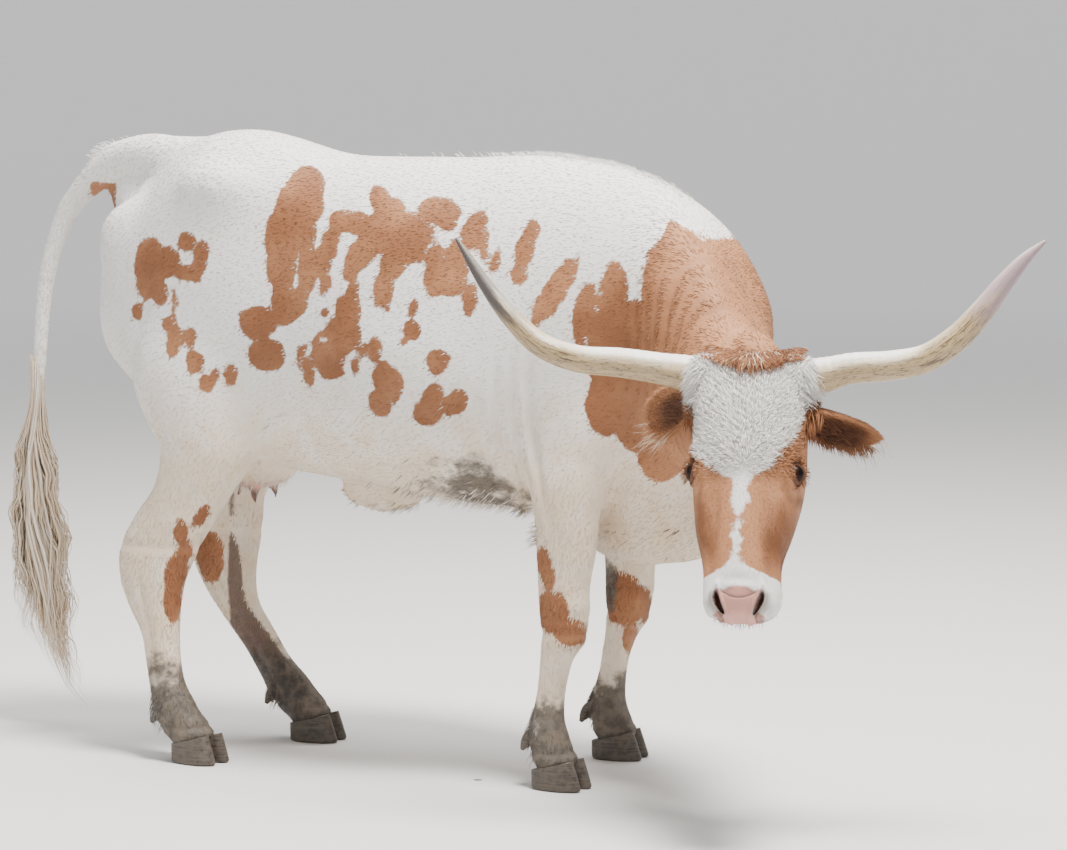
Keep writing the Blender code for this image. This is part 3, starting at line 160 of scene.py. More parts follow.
def unit_ball(rings, around):
    """Rings of (sin tilt cos spin, sin tilt sin spin, cos tilt)."""
    tilt = np.linspace(0.02, np.pi - 0.02, rings)[:, None]
    spin = np.linspace(0, 2 * np.pi, around, endpoint=False)[None]
    return np.stack([np.sin(tilt) * np.cos(spin), np.sin(tilt) * np.sin(spin),
                     np.cos(tilt) * np.ones_like(spin)], axis=-1)


def lump(centre, radii, turn=None, around=20):
    """A grid of rings on an ellipsoid: the unit sphere, stretched, turned and carried to centre."""
    matrix = np.array((turn or Quaternion()).to_matrix())
    return (unit_ball(around // 2, around) * np.array(radii)) @ matrix.T + np.array(centre)


def ring_faces(rings, around):
    """Quads between each ring and the next, wrapping round, as rows of four point numbers."""
    low = (np.arange(rings - 1)[:, None] * around + np.arange(around)[None]).ravel()
    step = np.where(np.arange(around) == around - 1, 1 - around, 1)
    beside = low + np.tile(step, rings - 1)
    return np.stack([low, beside, beside + around, low + around], axis=1)


def mesh_piece(name, points, faces, smooth=True):
    """A mesh from an array of points and a list of arrays of faces with equally many corners."""
    mesh = bpy.data.meshes.new(name)
    mesh.vertices.add(len(points))
    mesh.vertices.foreach_set("co", np.asarray(points, np.float32).ravel())
    corners = np.concatenate([f.ravel() for f in faces]).astype(np.int32)
    sizes = np.concatenate([np.full(len(f), f.shape[1]) for f in faces])
    mesh.loops.add(len(corners))
    mesh.loops.foreach_set("vertex_index", corners)
    mesh.polygons.add(len(sizes))
    starts = np.concatenate([[0], np.cumsum(sizes)[:-1]]).astype(np.int32)
    mesh.polygons.foreach_set("loop_start", starts)
    mesh.update(calc_edges=True)
    mesh.polygons.foreach_set("use_smooth", np.full(len(sizes), smooth))
    piece = bpy.data.objects.new(name, mesh)
    bpy.context.scene.collection.objects.link(piece)
    return piece


def closed_grid(name, grid, smooth=True):
    """One closed piece of a grid of rings, each end ring filled with a fan round its middle."""
    rings, around = grid.shape[:2]
    points = np.concatenate([grid.reshape(-1, 3), grid[:1].mean(axis=1), grid[-1:].mean(axis=1)])
    k = np.arange(around)
    nxt = (k + 1) % around
    first, last = rings * around, rings * around + 1
    base = (rings - 1) * around
    caps = [np.stack([nxt, k, np.full(around, first)], axis=1),
            np.stack([base + k, base + nxt, np.full(around, last)], axis=1)]
    return mesh_piece(name, points, [ring_faces(rings, around), np.concatenate(caps)], smooth)


def outwards(piece):
    """Faces of a closed piece turned to look outwards."""
    shape = bmesh.new()
    shape.from_mesh(piece.data)
    bmesh.ops.recalc_face_normals(shape, faces=shape.faces)
    shape.to_mesh(piece.data)
    shape.free()
    return piece


def baked(piece):
    """The piece with its modifiers applied."""
    graph = bpy.context.evaluated_depsgraph_get()
    mesh = bpy.data.meshes.new_from_object(piece.evaluated_get(graph))
    piece.modifiers.clear()
    piece.data = mesh
    return piece


def melted(name, grids, voxel, smoothing):
    """Closed grids that cross each other, melted into one skin of even quads and smoothed."""
    parts = [closed_grid("part", g) for g in grids]
    shape = bmesh.new()
    for part in parts:
        shape.from_mesh(part.data)
        bpy.data.objects.remove(part)
    mesh = bpy.data.meshes.new(name)
    bmesh.ops.recalc_face_normals(shape, faces=shape.faces)
    shape.to_mesh(mesh)
    shape.free()
    piece = bpy.data.objects.new(name, mesh)
    bpy.context.scene.collection.objects.link(piece)
    melt = piece.modifiers.new("melt", "REMESH")
    melt.mode = "VOXEL"
    melt.voxel_size = voxel
    relax = piece.modifiers.new("relax", "SMOOTH")
    relax.factor = 0.5
    relax.iterations = smoothing
    return baked(piece)


def places(piece):
    """The piece's points as an n x 3 array."""
    points = np.empty(len(piece.data.vertices) * 3, np.float32)
    piece.data.vertices.foreach_get("co", points)
    return points.reshape(-1, 3).astype(float)


def place(piece, points):
    """The piece's points moved to an n x 3 array."""
    piece.data.vertices.foreach_set("co", np.asarray(points, np.float32).ravel())
    piece.data.update()


def normals(piece):
    """The way the surface looks at each point."""
    out = np.empty(len(piece.data.vertices) * 3, np.float32)
    piece.data.vertex_normals.foreach_get("vector", out)
    return out.reshape(-1, 3).astype(float)


def tree_of(piece):
    """A search tree of the piece's faces."""
    faces = [tuple(p.vertices) for p in piece.data.polygons]
    return BVHTree.FromPolygons(places(piece).tolist(), faces)


def relaxed(piece, weight, rounds):
    """Each round moves every point half its weight of the way to the mean of its neighbours."""
    points = places(piece)
    pairs = np.empty(len(piece.data.edges) * 2, np.int32)
    piece.data.edges.foreach_get("vertices", pairs)
    a, b = pairs.reshape(-1, 2).T
    count = len(points)
    degree = np.maximum(np.bincount(pairs, minlength=count), 1)[:, None]
    step = 0.5 * weight[:, None]
    for _ in range(rounds):
        total = [np.bincount(a, points[b, k], count) + np.bincount(b, points[a, k], count)
                 for k in range(3)]
        total = np.stack(total, axis=1)
        points += step * (total / degree - points)
    place(piece, points)
    return piece


# %% [markdown]
# ## Measured rings of the body
#
# The rings repeat the sizes of the solids: the trunk from the buttock to the breast, the neck
# that swings round to the right, a fold of skin below it, four legs in the stride of the
# photograph, and the tail. Each table needs only as many rings as the outline has bends.

# %% Trunk, neck, dewlap and tail
TRUNK_LENGTH, BARREL_WIDTH, BUTTOCK_X = 1.48, 0.58, -1.16
TRUNK_BELLY, PELVIS_SHIFT = 0.46, -0.025
# place along the trunk, top and bottom as shares of the withers' height, width, roundness
TRUNK = [
    (0.000, 0.850, 0.780, 0.14, 2.0), (0.030, 0.938, 0.690, 0.42, 2.1),
    (0.070, 0.978, 0.620, 0.58, 2.2), (0.120, 1.005, 0.570, 0.70, 2.4),
    (0.200, 1.026, 0.520, 0.80, 2.6), (0.270, 1.014, 0.480, 0.84, 2.6),
    (0.340, 0.998, 0.466, 0.88, 2.3), (0.430, 0.994, 0.452, 0.93, 2.15),
    (0.530, 0.994, 0.436, 1.00, 2.1), (0.620, 0.993, 0.427, 1.00, 2.1),
    (0.710, 0.998, 0.420, 0.91, 2.1), (0.800, 0.975, 0.392, 0.78, 2.1),
    (0.870, 0.890, 0.362, 0.66, 2.1), (0.930, 0.760, 0.355, 0.50, 2.0),
    (0.980, 0.600, 0.400, 0.26, 2.0),
]
NECK = [
    (-0.100, 0.000, 1.030, 0.140, 0.245, 0.300), (0.030, -0.005, 1.015, 0.165, 0.275, 0.400),
    (0.130, -0.030, 0.985, 0.160, 0.268, 0.440), (0.215, -0.080, 0.950, 0.142, 0.245, 0.390),
    (0.295, -0.145, 0.910, 0.126, 0.220, 0.290), (0.370, -0.225, 0.872, 0.106, 0.180, 0.205),
    (0.440, -0.310, 0.835, 0.092, 0.140, 0.150), (0.495, -0.375, 0.815, 0.075, 0.105, 0.120),
]
NECK_BEND = [
    (0.020, 0.090, 0.960, 0.080, 0.150, 0.170), (0.140, 0.085, 0.940, 0.085, 0.160, 0.180),
    (0.250, 0.030, 0.920, 0.085, 0.165, 0.180), (0.350, -0.065, 0.890, 0.080, 0.150, 0.160),
    (0.430, -0.180, 0.860, 0.070, 0.120, 0.130), (0.490, -0.300, 0.840, 0.055, 0.090, 0.095),
]
DEWLAP = [
    (0.080, 0.000, 0.560, 0.060, 0.080, 0.080), (0.200, -0.020, 0.560, 0.048, 0.100, 0.100),
    (0.290, -0.070, 0.590, 0.034, 0.110, 0.110), (0.360, -0.140, 0.640, 0.026, 0.100, 0.095),
    (0.425, -0.225, 0.695, 0.024, 0.075, 0.070), (0.470, -0.300, 0.730, 0.022, 0.050, 0.040),
]
TAIL = [
    (-0.840, -0.022, 1.270, 0.070, 0.052, 0.052), (-1.036, -0.022, 1.288, 0.058, 0.050, 0.066),
    (-1.114, -0.021, 1.280, 0.050, 0.046, 0.066), (-1.174, -0.020, 1.262, 0.042, 0.042, 0.050),
    (-1.235, -0.020, 1.222, 0.033, 0.034, 0.034), (-1.273, -0.020, 1.185, 0.029, 0.030, 0.030),
    (-1.303, -0.020, 1.130, 0.026, 0.027, 0.027), (-1.326, -0.020, 1.070, 0.024, 0.025, 0.025),
    (-1.341, -0.020, 1.009, 0.022, 0.023, 0.023), (-1.358, -0.020, 0.854, 0.019, 0.020, 0.020),
    (-1.368, -0.020, 0.746, 0.017, 0.018, 0.018), (-1.374, -0.020, 0.655, 0.015, 0.016, 0.016),
    (-1.377, -0.020, 0.560, 0.012, 0.012, 0.012), (-1.378, -0.020, 0.480, 0.008, 0.008, 0.008),
]


def trunk_rings():
    """The trunk's table in metres; its middle line leans to the pelvis's side as (1 - along)^2."""
    along, top, bottom, wide, square = np.array(TRUNK).T
    top, bottom = top * WITHERS_HEIGHT, bottom * WITHERS_HEIGHT
    middle = bottom + (top - bottom) * TRUNK_BELLY
    y = PELVIS_SHIFT * (1 - along) ** 2
    rows = [BUTTOCK_X + along * TRUNK_LENGTH, y, middle, wide * BARREL_WIDTH / 2]
    return tube(np.stack(rows + [top - middle, middle - bottom, square], axis=1), (0, 0, 1), 60, 36)


# %% Legs
FORE_RINGS = [
    (0.650, 0.055, 0.090, 0.110), (0.560, 0.072, 0.100, 0.115), (0.490, 0.074, 0.092, 0.092),
    (0.430, 0.066, 0.072, 0.072), (0.380, 0.057, 0.067, 0.067), (0.320, 0.049, 0.059, 0.058),
    (0.275, 0.049, 0.058, 0.052), (0.243, 0.051, 0.056, 0.044), (0.212, 0.044, 0.038, 0.038),
    (0.175, 0.035, 0.033, 0.034), (0.135, 0.034, 0.033, 0.035), (0.105, 0.038, 0.038, 0.042),
    (0.084, 0.044, 0.043, 0.050), (0.064, 0.046, 0.045, 0.047), (0.044, 0.050, 0.050, 0.044),
    (0.026, 0.045, 0.045, 0.036),
]
HIND_RINGS = [
    (0.800, 0.050, 0.120, 0.120), (0.700, 0.088, 0.165, 0.165), (0.600, 0.098, 0.165, 0.152),
    (0.530, 0.090, 0.125, 0.125), (0.470, 0.074, 0.095, 0.098), (0.415, 0.060, 0.083, 0.083),
    (0.365, 0.052, 0.088, 0.090), (0.325, 0.050, 0.084, 0.098), (0.295, 0.050, 0.076, 0.087),
    (0.260, 0.046, 0.064, 0.070), (0.215, 0.038, 0.047, 0.051), (0.165, 0.034, 0.042, 0.045),
    (0.115, 0.037, 0.042, 0.047), (0.084, 0.045, 0.048, 0.054), (0.062, 0.045, 0.045, 0.048),
    (0.044, 0.050, 0.050, 0.044), (0.026, 0.045, 0.045, 0.036),
]
# The middle line of each leg from the body down, as the photograph poses it
LEG_LINES = {
    "fore_right": [
        (0.030, -0.130, 0.861), (0.023, -0.160, 0.649), (0.022, -0.168, 0.503),
        (0.017, -0.172, 0.400), (0.015, -0.172, 0.330), (0.001, -0.174, 0.262),
        (-0.008, -0.175, 0.200), (-0.014, -0.177, 0.120), (-0.004, -0.178, 0.075),
        (0.008, -0.178, 0.034),
    ],
    "fore_left": [
        (0.030, 0.130, 0.861), (0.020, 0.158, 0.649), (0.024, 0.165, 0.503),
        (0.018, 0.168, 0.385), (0.006, 0.170, 0.300), (-0.012, 0.172, 0.235),
        (-0.023, 0.173, 0.170), (-0.031, 0.175, 0.105), (-0.021, 0.176, 0.070),
        (-0.012, 0.176, 0.034),
    ],
    "hind_right": [
        (-0.920, -0.125, 1.060), (-0.868, -0.170, 0.850), (-0.819, -0.190, 0.700),
        (-0.870, -0.206, 0.560), (-0.928, -0.221, 0.450), (-0.935, -0.228, 0.391),
        (-0.915, -0.238, 0.285), (-0.896, -0.246, 0.170), (-0.870, -0.250, 0.105),
        (-0.842, -0.252, 0.070), (-0.820, -0.252, 0.034),
    ],
    "hind_left": [
        (-0.910, 0.105, 1.060), (-0.905, 0.130, 0.850), (-0.922, 0.135, 0.700),
        (-0.942, 0.128, 0.570), (-0.950, 0.115, 0.440), (-0.942, 0.106, 0.375),
        (-0.912, 0.100, 0.295), (-0.866, 0.092, 0.235), (-0.795, 0.084, 0.140),
        (-0.765, 0.082, 0.105), (-0.732, 0.080, 0.072), (-0.710, 0.079, 0.034),
    ],
}
# Where each foot stands, and which way it points from straight ahead
FEET = {
    "fore_right": (0.012, -0.178, math.radians(-6)),
    "fore_left": (-0.010, 0.176, math.radians(4)),
    "hind_right": (-0.815, -0.252, math.radians(-10)),
    "hind_left": (-0.705, 0.079, math.radians(2)),
}


def leg_middle(name, heights):
    """x and y of a leg's middle line at given heights."""
    fine = smooth_rows(LEG_LINES[name], 60)
    order = np.argsort(fine[:, 2])
    return (np.interp(heights, fine[order, 2], fine[order, 0]),
            np.interp(heights, fine[order, 2], fine[order, 1]))


def leg_rings(name):
    """Rings of a fore or a hind leg round that leg's own middle line."""
    rings = np.array(FORE_RINGS if name.startswith("fore") else HIND_RINGS)
    heights = rings[:, 0] * WITHERS_HEIGHT
    x, y = leg_middle(name, heights)
    rows = np.column_stack([x, y, heights, rings[:, 1:]])
    return tube(rows, (1, 0, 0), 64, 20, square=2.2)


def body_lumps():
    """Knobs of bone and muscles that show through the skin, alike on both sides."""
    made = []
    for side in (-1, 1):
        made += [
            lump((-0.790, side * 0.165 + PELVIS_SHIFT, 1.225), (0.110, 0.065, 0.055)),
            lump((-1.060, side * 0.098 + PELVIS_SHIFT, 1.120), (0.090, 0.055, 0.085)),
            lump((0.010, side * 0.120, 1.090), (0.110, 0.070, 0.170)),
            lump((0.165, side * 0.145, 0.800), (0.090, 0.070, 0.120)),
            lump((0.030, side * 0.160, 0.750), (0.130, 0.070, 0.150)),
            lump((-0.045, side * 0.180, 0.695), (0.055, 0.040, 0.065)),
            lump((-0.330, side * 0.185, 0.880), (0.280, 0.130, 0.230)),
        ]
        made += [lump((fore, side * 0.045 - 0.025, 0.572), (0.014, 0.014, 0.034))
                 for fore in (-0.865, -0.775)]
    made += [
        lump((-0.765, -0.195, 0.730), (0.080, 0.060, 0.110)),
        lump((-0.810, 0.145, 0.740), (0.080, 0.060, 0.110)),
        lump((-0.490, 0.000, 0.585), (0.110, 0.028, 0.055)),
        lump((0.160, -0.010, 0.540), (0.190, 0.085, 0.090)),
        lump((0.150, 0.000, 0.690), (0.150, 0.140, 0.190)),
        lump((-1.080, PELVIS_SHIFT, 1.190), (0.085, 0.042, 0.075)),
        lump((-0.800, -0.025, 0.650), (0.120, 0.095, 0.080)),
        lump((-1.135, PELVIS_SHIFT, 1.050), (0.030, 0.034, 0.062)),
    ]
    return made


# %% Skull and its lumps
# place down the face and half width as shares of the head's length, face, throat, roundness
HEAD = [
    (-0.055, 0.080, -0.020, -0.070, 2.0), (-0.020, 0.190, 0.008, -0.105, 2.2),
    (0.060, 0.246, 0.028, -0.130, 2.4), (0.135, 0.238, 0.037, -0.150, 2.4),
    (0.215, 0.222, 0.041, -0.168, 2.3), (0.290, 0.218, 0.041, -0.184, 2.3),
    (0.390, 0.220, 0.037, -0.196, 2.2), (0.470, 0.216, 0.032, -0.190, 2.2),
    (0.560, 0.204, 0.026, -0.168, 2.2), (0.660, 0.186, 0.021, -0.144, 2.2),
    (0.755, 0.162, 0.017, -0.126, 2.2), (0.835, 0.151, 0.014, -0.114, 2.3),
    (0.905, 0.152, 0.008, -0.108, 2.4), (0.960, 0.140, -0.006, -0.102, 2.4),
    (0.995, 0.100, -0.028, -0.090, 2.2), (1.008, 0.045, -0.045, -0.074, 2.0),
]


def muzzle_side(down):
    """How far to the left the muzzle's middle lies: 7 mm at the nose, none above the cheeks."""
    return 0.007 * ramp(np.asarray(down, float), 0.36, 0.47)


def skull_rings():
    """The skull from behind the poll to the nose, its end swung to the muzzle's side."""
    rows = []
    for along, wide, face, throat, square in HEAD:
        down = along * HEAD_LENGTH
        centre = on_head(float(muzzle_side(down)), down, (face + throat) / 2)
        half = (face - throat) / 2
        rows.append((*centre, wide * HEAD_LENGTH, half, half, square))
    return tube(rows, HEAD_AXES.col[2], 48, 32)


def head_lumps():
    """Cheek, brow, orbit, horn's root, side of the nose and ear's root, twice; chin and poll."""
    made = []
    for side in (-1, 1):
        made += [
            lump(on_head(side * 0.066, 0.215, -0.105), (0.030, 0.085, 0.070), HEAD_TURN),
            lump(on_head(side * 0.076, 0.196, -0.010), (0.034, 0.046, 0.016), HEAD_TURN),
            lump(on_head(side * 0.083, 0.228, -0.020), (0.034, 0.044, 0.034), HEAD_TURN),
            lump(on_head(side * 0.082, 0.022, -0.022), (0.060, 0.043, 0.042), HEAD_TURN),
            lump(on_head(side * 0.044 + 0.007, 0.486, -0.028), (0.030, 0.034, 0.032), HEAD_TURN),
            lump(on_head(side * 0.104, 0.082, -0.055), (0.032, 0.034, 0.034), HEAD_TURN),
        ]
    made.append(lump(on_head(0.006, 0.455, -0.100), (0.046, 0.044, 0.026), HEAD_TURN))
    made.append(lump(on_head(0, 0.006, -0.030), (0.100, 0.030, 0.036), HEAD_TURN))
    return made


def neck_grids():
    """The neck, the bend that carries it to the right, and the nape behind the poll."""
    nape = lump((0.500, -0.312, 0.925), (0.065, 0.065, 0.070))
    return [tube(NECK, (0, 0, 1), 30, 28), tube(NECK_BEND, (0, 0, 1), 24, 20), nape]


# %% [markdown]
# ## One skin
#
# Tubes and ellipsoids that cross are melted into one even mesh by a voxel remesh, as clay
# would be. It is then relaxed where a cow is broad and smooth. The trunk needs only 14 mm, but
# legs, neck and head need half of that, the front of the face a quarter and the nose an eighth.
# So those faces are split once, twice or three times, and pulled on to a second body that was
# melted much finer. The skin lies a little inside the solids, to leave room for the coat.

# %% Melt, relax, and split where detail is due
BODY_VOXEL, FINE_VOXEL, HEAD_VOXEL = 0.014, 0.0060, 0.0034
TAIL_BEHIND = -1.19
TRUNK_ROUNDS = 31
SKIN_DEPTH = 0.0035


def ramp(value, start, end):
    """0 up to start, 1 from end, a smooth S between them."""
    t = np.clip((value - start) / (end - start), 0, 1)
    return t * t * (3 - 2 * t)


def bump_at(value, centre, width):
    """A bell of height 1: exp(-((value - centre) / width)^2)."""
    return np.exp(-((value - centre) / width) ** 2)


def trunk_weight(points):
    """1 on the trunk, breast and neck, fading to 0 on legs, tail and belly line."""
    x, y, z = points.T
    trunk_part = np.clip((z - 0.62) / 0.12, 0, 1)
    breast_part = np.clip((x - 0.12) / 0.06, 0, 1)
    tail_part = np.clip((z - 1.17) / 0.05, 0, 1) * np.clip((-1.0 - x) / 0.08, 0, 1)
    tail_part *= np.clip((0.10 - abs(y - PELVIS_SHIFT)) / 0.03, 0, 1)
    below_tail = np.clip((x + 1.22) / 0.04, 0, 1)
    behind_head = np.clip((y + 0.40) / 0.10, 0, 1)
    return np.maximum(trunk_part, breast_part) * (1 - tail_part) * below_tail * behind_head


def head_weight(points):
    """1 on the head, 0 behind a sloping line from the poll to the corner of the jaw."""
    left, down, out = head_coordinates(points)
    behind = down + 0.55 * (out + 0.05)
    return ramp(behind, -0.035, 0.010) * (np.abs(left) < 0.2) * (np.abs(out + 0.08) < 0.2)


def split_where(piece, chosen):
    """Every edge whose two ends are chosen gets a point in its middle, and its faces follow."""
    shape = bmesh.new()
    shape.from_mesh(piece.data)
    edges = [e for e in shape.edges if chosen[e.verts[0].index] and chosen[e.verts[1].index]]
    bmesh.ops.subdivide_edges(shape, edges=edges, cuts=1, use_grid_fill=True)
    bmesh.ops.triangulate(shape, faces=[f for f in shape.faces if len(f.verts) > 4])
    shape.to_mesh(piece.data)
    shape.free()
    return piece


def leg_distance(points):
    """How far, level with each point, the nearest leg's middle line is."""
    heights = np.clip(points[:, 2], 0.035, 0.85)
    gaps = [np.hypot(*(points[:, :2].T - leg_middle(name, heights))) for name in LEG_LINES]
    return np.min(gaps, axis=0)


def pulled(piece, target, weight):
    """The piece drawn on to the nearest place of the target, as strongly as its weight."""
    tree = tree_of(target)
    points = places(piece)
    chosen = np.flatnonzero(weight > 0.02)
    near = np.array([tree.find_nearest(points[i])[0] for i in chosen])
    points[chosen] += (near - points[chosen]) * weight[chosen, None]
    place(piece, points)
    bpy.data.objects.remove(target)
    return piece


trunk_grids = [trunk_rings(), *neck_grids(), tube(DEWLAP, (0, 0, 1), 24, 16), *body_lumps()]
head_grids = [skull_rings(), *head_lumps()]
limb_grids = [tube(TAIL, (-0.6, 0, 1), 44, 16)] + [leg_rings(name) for name in LEG_LINES]
skin = melted("skin", trunk_grids + head_grids + limb_grids, BODY_VOXEL, 4)
relaxed(skin, trunk_weight(places(skin)), TRUNK_ROUNDS)

points = places(skin)
x, y, z = points.T
neck_part = (x > 0.16) & (y < 0.02) & (z > 0.60)
low_part = (z < 0.50) & (leg_distance(points) < 0.12)
folded = (np.abs(x + 0.06) < 0.10) & (np.abs(z - 0.735) < 0.18)
folded |= (np.abs(x + 0.64) < 0.10) & (np.abs(z - 0.70) < 0.09)
tail_part = x < TAIL_BEHIND
split_where(skin, (head_weight(points) > 0.01) | neck_part | low_part | (folded & (y < 0)) | tail_part)
points = places(skin)
left, down, out = head_coordinates(points)
front = (down > 0.16) & (out > -0.045 - 0.05 * ramp(down, 0.3, 0.42)) & (np.abs(left) < 0.14)
split_where(skin, front & (head_weight(points) > 0.4))
points = places(skin)
left, down, out = head_coordinates(points)
split_where(skin, (down > 0.455) & (out > -0.075) & (np.abs(left - 0.007) < 0.064))

fine_body = melted("fine_body", trunk_grids + limb_grids, FINE_VOXEL, 8)
limbs = (1 - trunk_weight(places(skin))) * (1 - head_weight(places(skin)))
pulled(skin, fine_body, limbs * ramp(-places(skin)[:, 1], 0.45, 0.38))
fine_head = melted("fine_head", [*neck_grids(), *head_grids], HEAD_VOXEL, 14)
pulled(skin, fine_head, head_weight(places(skin)))
relaxed(skin, 0.5 * np.maximum(head_weight(places(skin)), limbs), 2)
place(skin, places(skin) - normals(skin) * SKIN_DEPTH)
print("skin", sum(len(p.vertices) - 2 for p in skin.data.polygons), "triangles")

# %% [markdown]
# ## Folds, nostrils and mouth
#
# Each feature is a height over the skin, written as bells and waves of the cow's own
# coordinates. A fold is a bell across its line and a slow bell along it. The nostrils are
# comma-shaped pits, and the mouth is a groove with a lip on each side of it.

# %% Carve the skin
NOSTRIL_OUT, NOSTRIL_DOWN, NOSTRIL_PIT = 0.0385, 0.491, 0.019
MOUTH_OUT = -0.074
# height, then middle and width beside the nose and down it, and how far back it reaches
FACE_BELLS = [
    (-0.0070, 0.050, 0.012, 0.345, 0.070, -0.03), (-0.0045, 0.066, 0.014, 0.395, 0.030, -0.06),
    (0.0030, 0.0, 0.022, 0.39, 0.11, -0.02), (-0.0040, 0.0, 0.020, 0.225, 0.050, -0.02),
    (-0.0035, 0.0, 0.034, 0.450, 0.010, -0.03),
]
# The edge of the skin that runs from the thigh forwards to the belly
FLANK_X = [-0.76, -0.70, -0.645, -0.57, -0.50]
FLANK_Z = [0.600, 0.680, 0.725, 0.755, 0.765]


def nostril_shape(left, down):
    """1 on the rim of a comma: an ellipse that leans in as it goes down, its middle bent out."""
    a, b = np.abs(left - muzzle_side(down)) - NOSTRIL_OUT, down - NOSTRIL_DOWN
    lean = math.radians(22)
    across = a * math.cos(lean) + b * math.sin(lean)
    along = -a * math.sin(lean) + b * math.cos(lean)
    across = across + 9 * along**2 - 0.0028
    return np.sqrt((across / 0.0068) ** 2 + (along / 0.0240) ** 2)


def mouth_height(left, down, out):
    """How far below (-) or above the line of the lips a place lies."""
    turn = np.arctan2(left / 0.088, (down - 0.46) / 0.085)
    return out - MOUTH_OUT - 0.010 * np.cos(turn) + 0.004 * np.cos(3 * turn)


def face_height(points):
    """Lips, brow, the groove beside the bone of the nose, cheek, chin and the nostrils' wings."""
    left, down, out = head_coordinates(points)
    middle = left - muzzle_side(down)
    side = np.abs(middle)
    lips = mouth_height(middle, down, out)
    height = ramp(down, 0.425, 0.455) * (0.0028 * bump_at(np.abs(lips), 0.010, 0.006)
                                         - 0.0052 * bump_at(lips, 0, 0.0032))
    crest = side - 0.062 + 0.05 * (down - 0.30)
    height += 0.0060 * bump_at(crest, 0.012, 0.010) * bump_at(down, 0.31, 0.08) * (out > -0.05)
    for amount, beside, wide, low, tall, behind in FACE_BELLS:
        height += amount * bump_at(side, beside, wide) * bump_at(down, low, tall) * (out > behind)
    veins = np.sin(down / 0.012 + 5 * np.sin(left / 0.03)) * bump_at(side, 0.068, 0.020)
    height += 0.0008 * veins * bump_at(down, 0.36, 0.06) * (out > -0.07)
    fold = down - (0.4835 - 10 * middle**2)
    height -= 0.0022 * bump_at(fold, 0, 0.0028) * (side < 0.037) * (out > -0.05)
    chin = ramp(-out, 0.085, 0.10) * ramp(down, 0.40, 0.44)
    height += 0.0016 * chin * np.sin(left / 0.006) * np.sin(down / 0.006)
    rim = nostril_shape(left, down)
    nose = (down > 0.43) & (out > -0.07)
    height += nose * 0.0034 * bump_at(rim, 1.40, 0.30)
    return height * head_weight(points)


def neck_height(points):
    """Skin folds that fan round the bend behind the head, and a few long ones down the throat."""
    x, y, z = points.T
    along = 0.62 * (x - 0.30) - 0.72 * (y + 0.20) - 0.20 * (z - 1.0)
    wave = along + 0.10 * (z - 1.0) ** 2 - 0.05 * np.sin(9 * z)
    fold = np.sin(wave / 0.0048) * 0.5 + np.sin(wave / 0.0071 + 1.3) * 0.5
    where = bump_at(along, 0.055, 0.085) * ramp(z, 0.62, 0.80) * (x > 0.18)
    return 0.0036 * fold * where * (1 - head_weight(points))


def body_height(points):
    """Ribs as a sine, folds behind the elbow, the flank's edge, shoulder blade, hip and thigh."""
    x, y, z = points.T
    side = np.abs(y)
    ribs = np.sin((x + 0.35 * (1.2 - z)) / 0.0125)
    ribs = ribs * bump_at(x, -0.36, 0.22) * bump_at(z, 0.92, 0.16)
    height = 0.0009 * ribs * ramp(side, 0.10, 0.2)
    for shift, deep in ((0.0, 1.0), (0.032, 0.7), (0.066, 0.5)):
        line = x + 0.034 + shift + 0.10 * (z - 0.78) - 0.6 * (z - 0.74) ** 2
        fold = 0.0070 * bump_at(line, -0.021, 0.014) - 0.0120 * bump_at(line, 0, 0.011)
        height += deep * fold * bump_at(z, 0.735, 0.13)
    under = np.interp(x, FLANK_X, FLANK_Z) - z
    near = bump_at(x, -0.64, 0.085)
    height -= 0.0150 * ramp(under, -0.006, 0.014) * (1 - ramp(under, 0.02, 0.10)) * near
    height += 0.0050 * bump_at(under, -0.016, 0.012) * near
    blade = x - 0.015 - 0.40 * (z - 1.0)
    height -= 0.0050 * bump_at(blade, -0.10, 0.030) * bump_at(z, 1.02, 0.16)
    hip = np.hypot(x + 0.655, (z - 1.10) * 0.8)
    height -= 0.0090 * bump_at(hip, 0, 0.085)
    thigh = x + 0.985 - 0.30 * (z - 0.9)
    height -= 0.0060 * bump_at(thigh, 0, 0.022) * bump_at(z, 0.90, 0.15)
    return height * ramp(side, 0.06, 0.12) * (z > 0.50) * (x < 0.16)


def rump_rise(points):
    """Metres that the rump and the tail's root stand above their rings: lift times nearness."""
    x, _, z = points.T
    return 0.022 * ramp(-x, 0.52, 0.80) * (1 - ramp(-x, 1.15, 1.30)) * ramp(z, 1.10, 1.28)


def leg_height(points):
    """Grooves between bone and sinew on the cannons, and the knobs of knee, hock and fetlock."""
    x, y, z = points.T
    height = np.zeros(len(points))
    for name in LEG_LINES:
        mx, my = leg_middle(name, np.clip(z, 0.03, 0.62))
        near = np.hypot(x - mx, y - my) < 0.13
        fore = name.startswith("fore")
        back = mx - x - (0.006 if fore else 0.012)
        top = 0.27 if fore else 0.36
        span = ramp(z, 0.135, 0.175) * (1 - ramp(z, top, top + 0.06))
        height -= near * 0.0048 * bump_at(back, 0, 0.0085) * span
        knee = 0.385 if fore else 0.520
        height += near * 0.0030 * bump_at(z, knee, 0.018) * bump_at(x - mx, 0.03, 0.03)
        height -= near * 0.0022 * bump_at(z, knee - 0.055, 0.012)
        height += near * 0.0022 * bump_at(z, 0.062, 0.008)
        height -= near * 0.0020 * bump_at(z, 0.079, 0.006)
    return height * (z < 0.62)


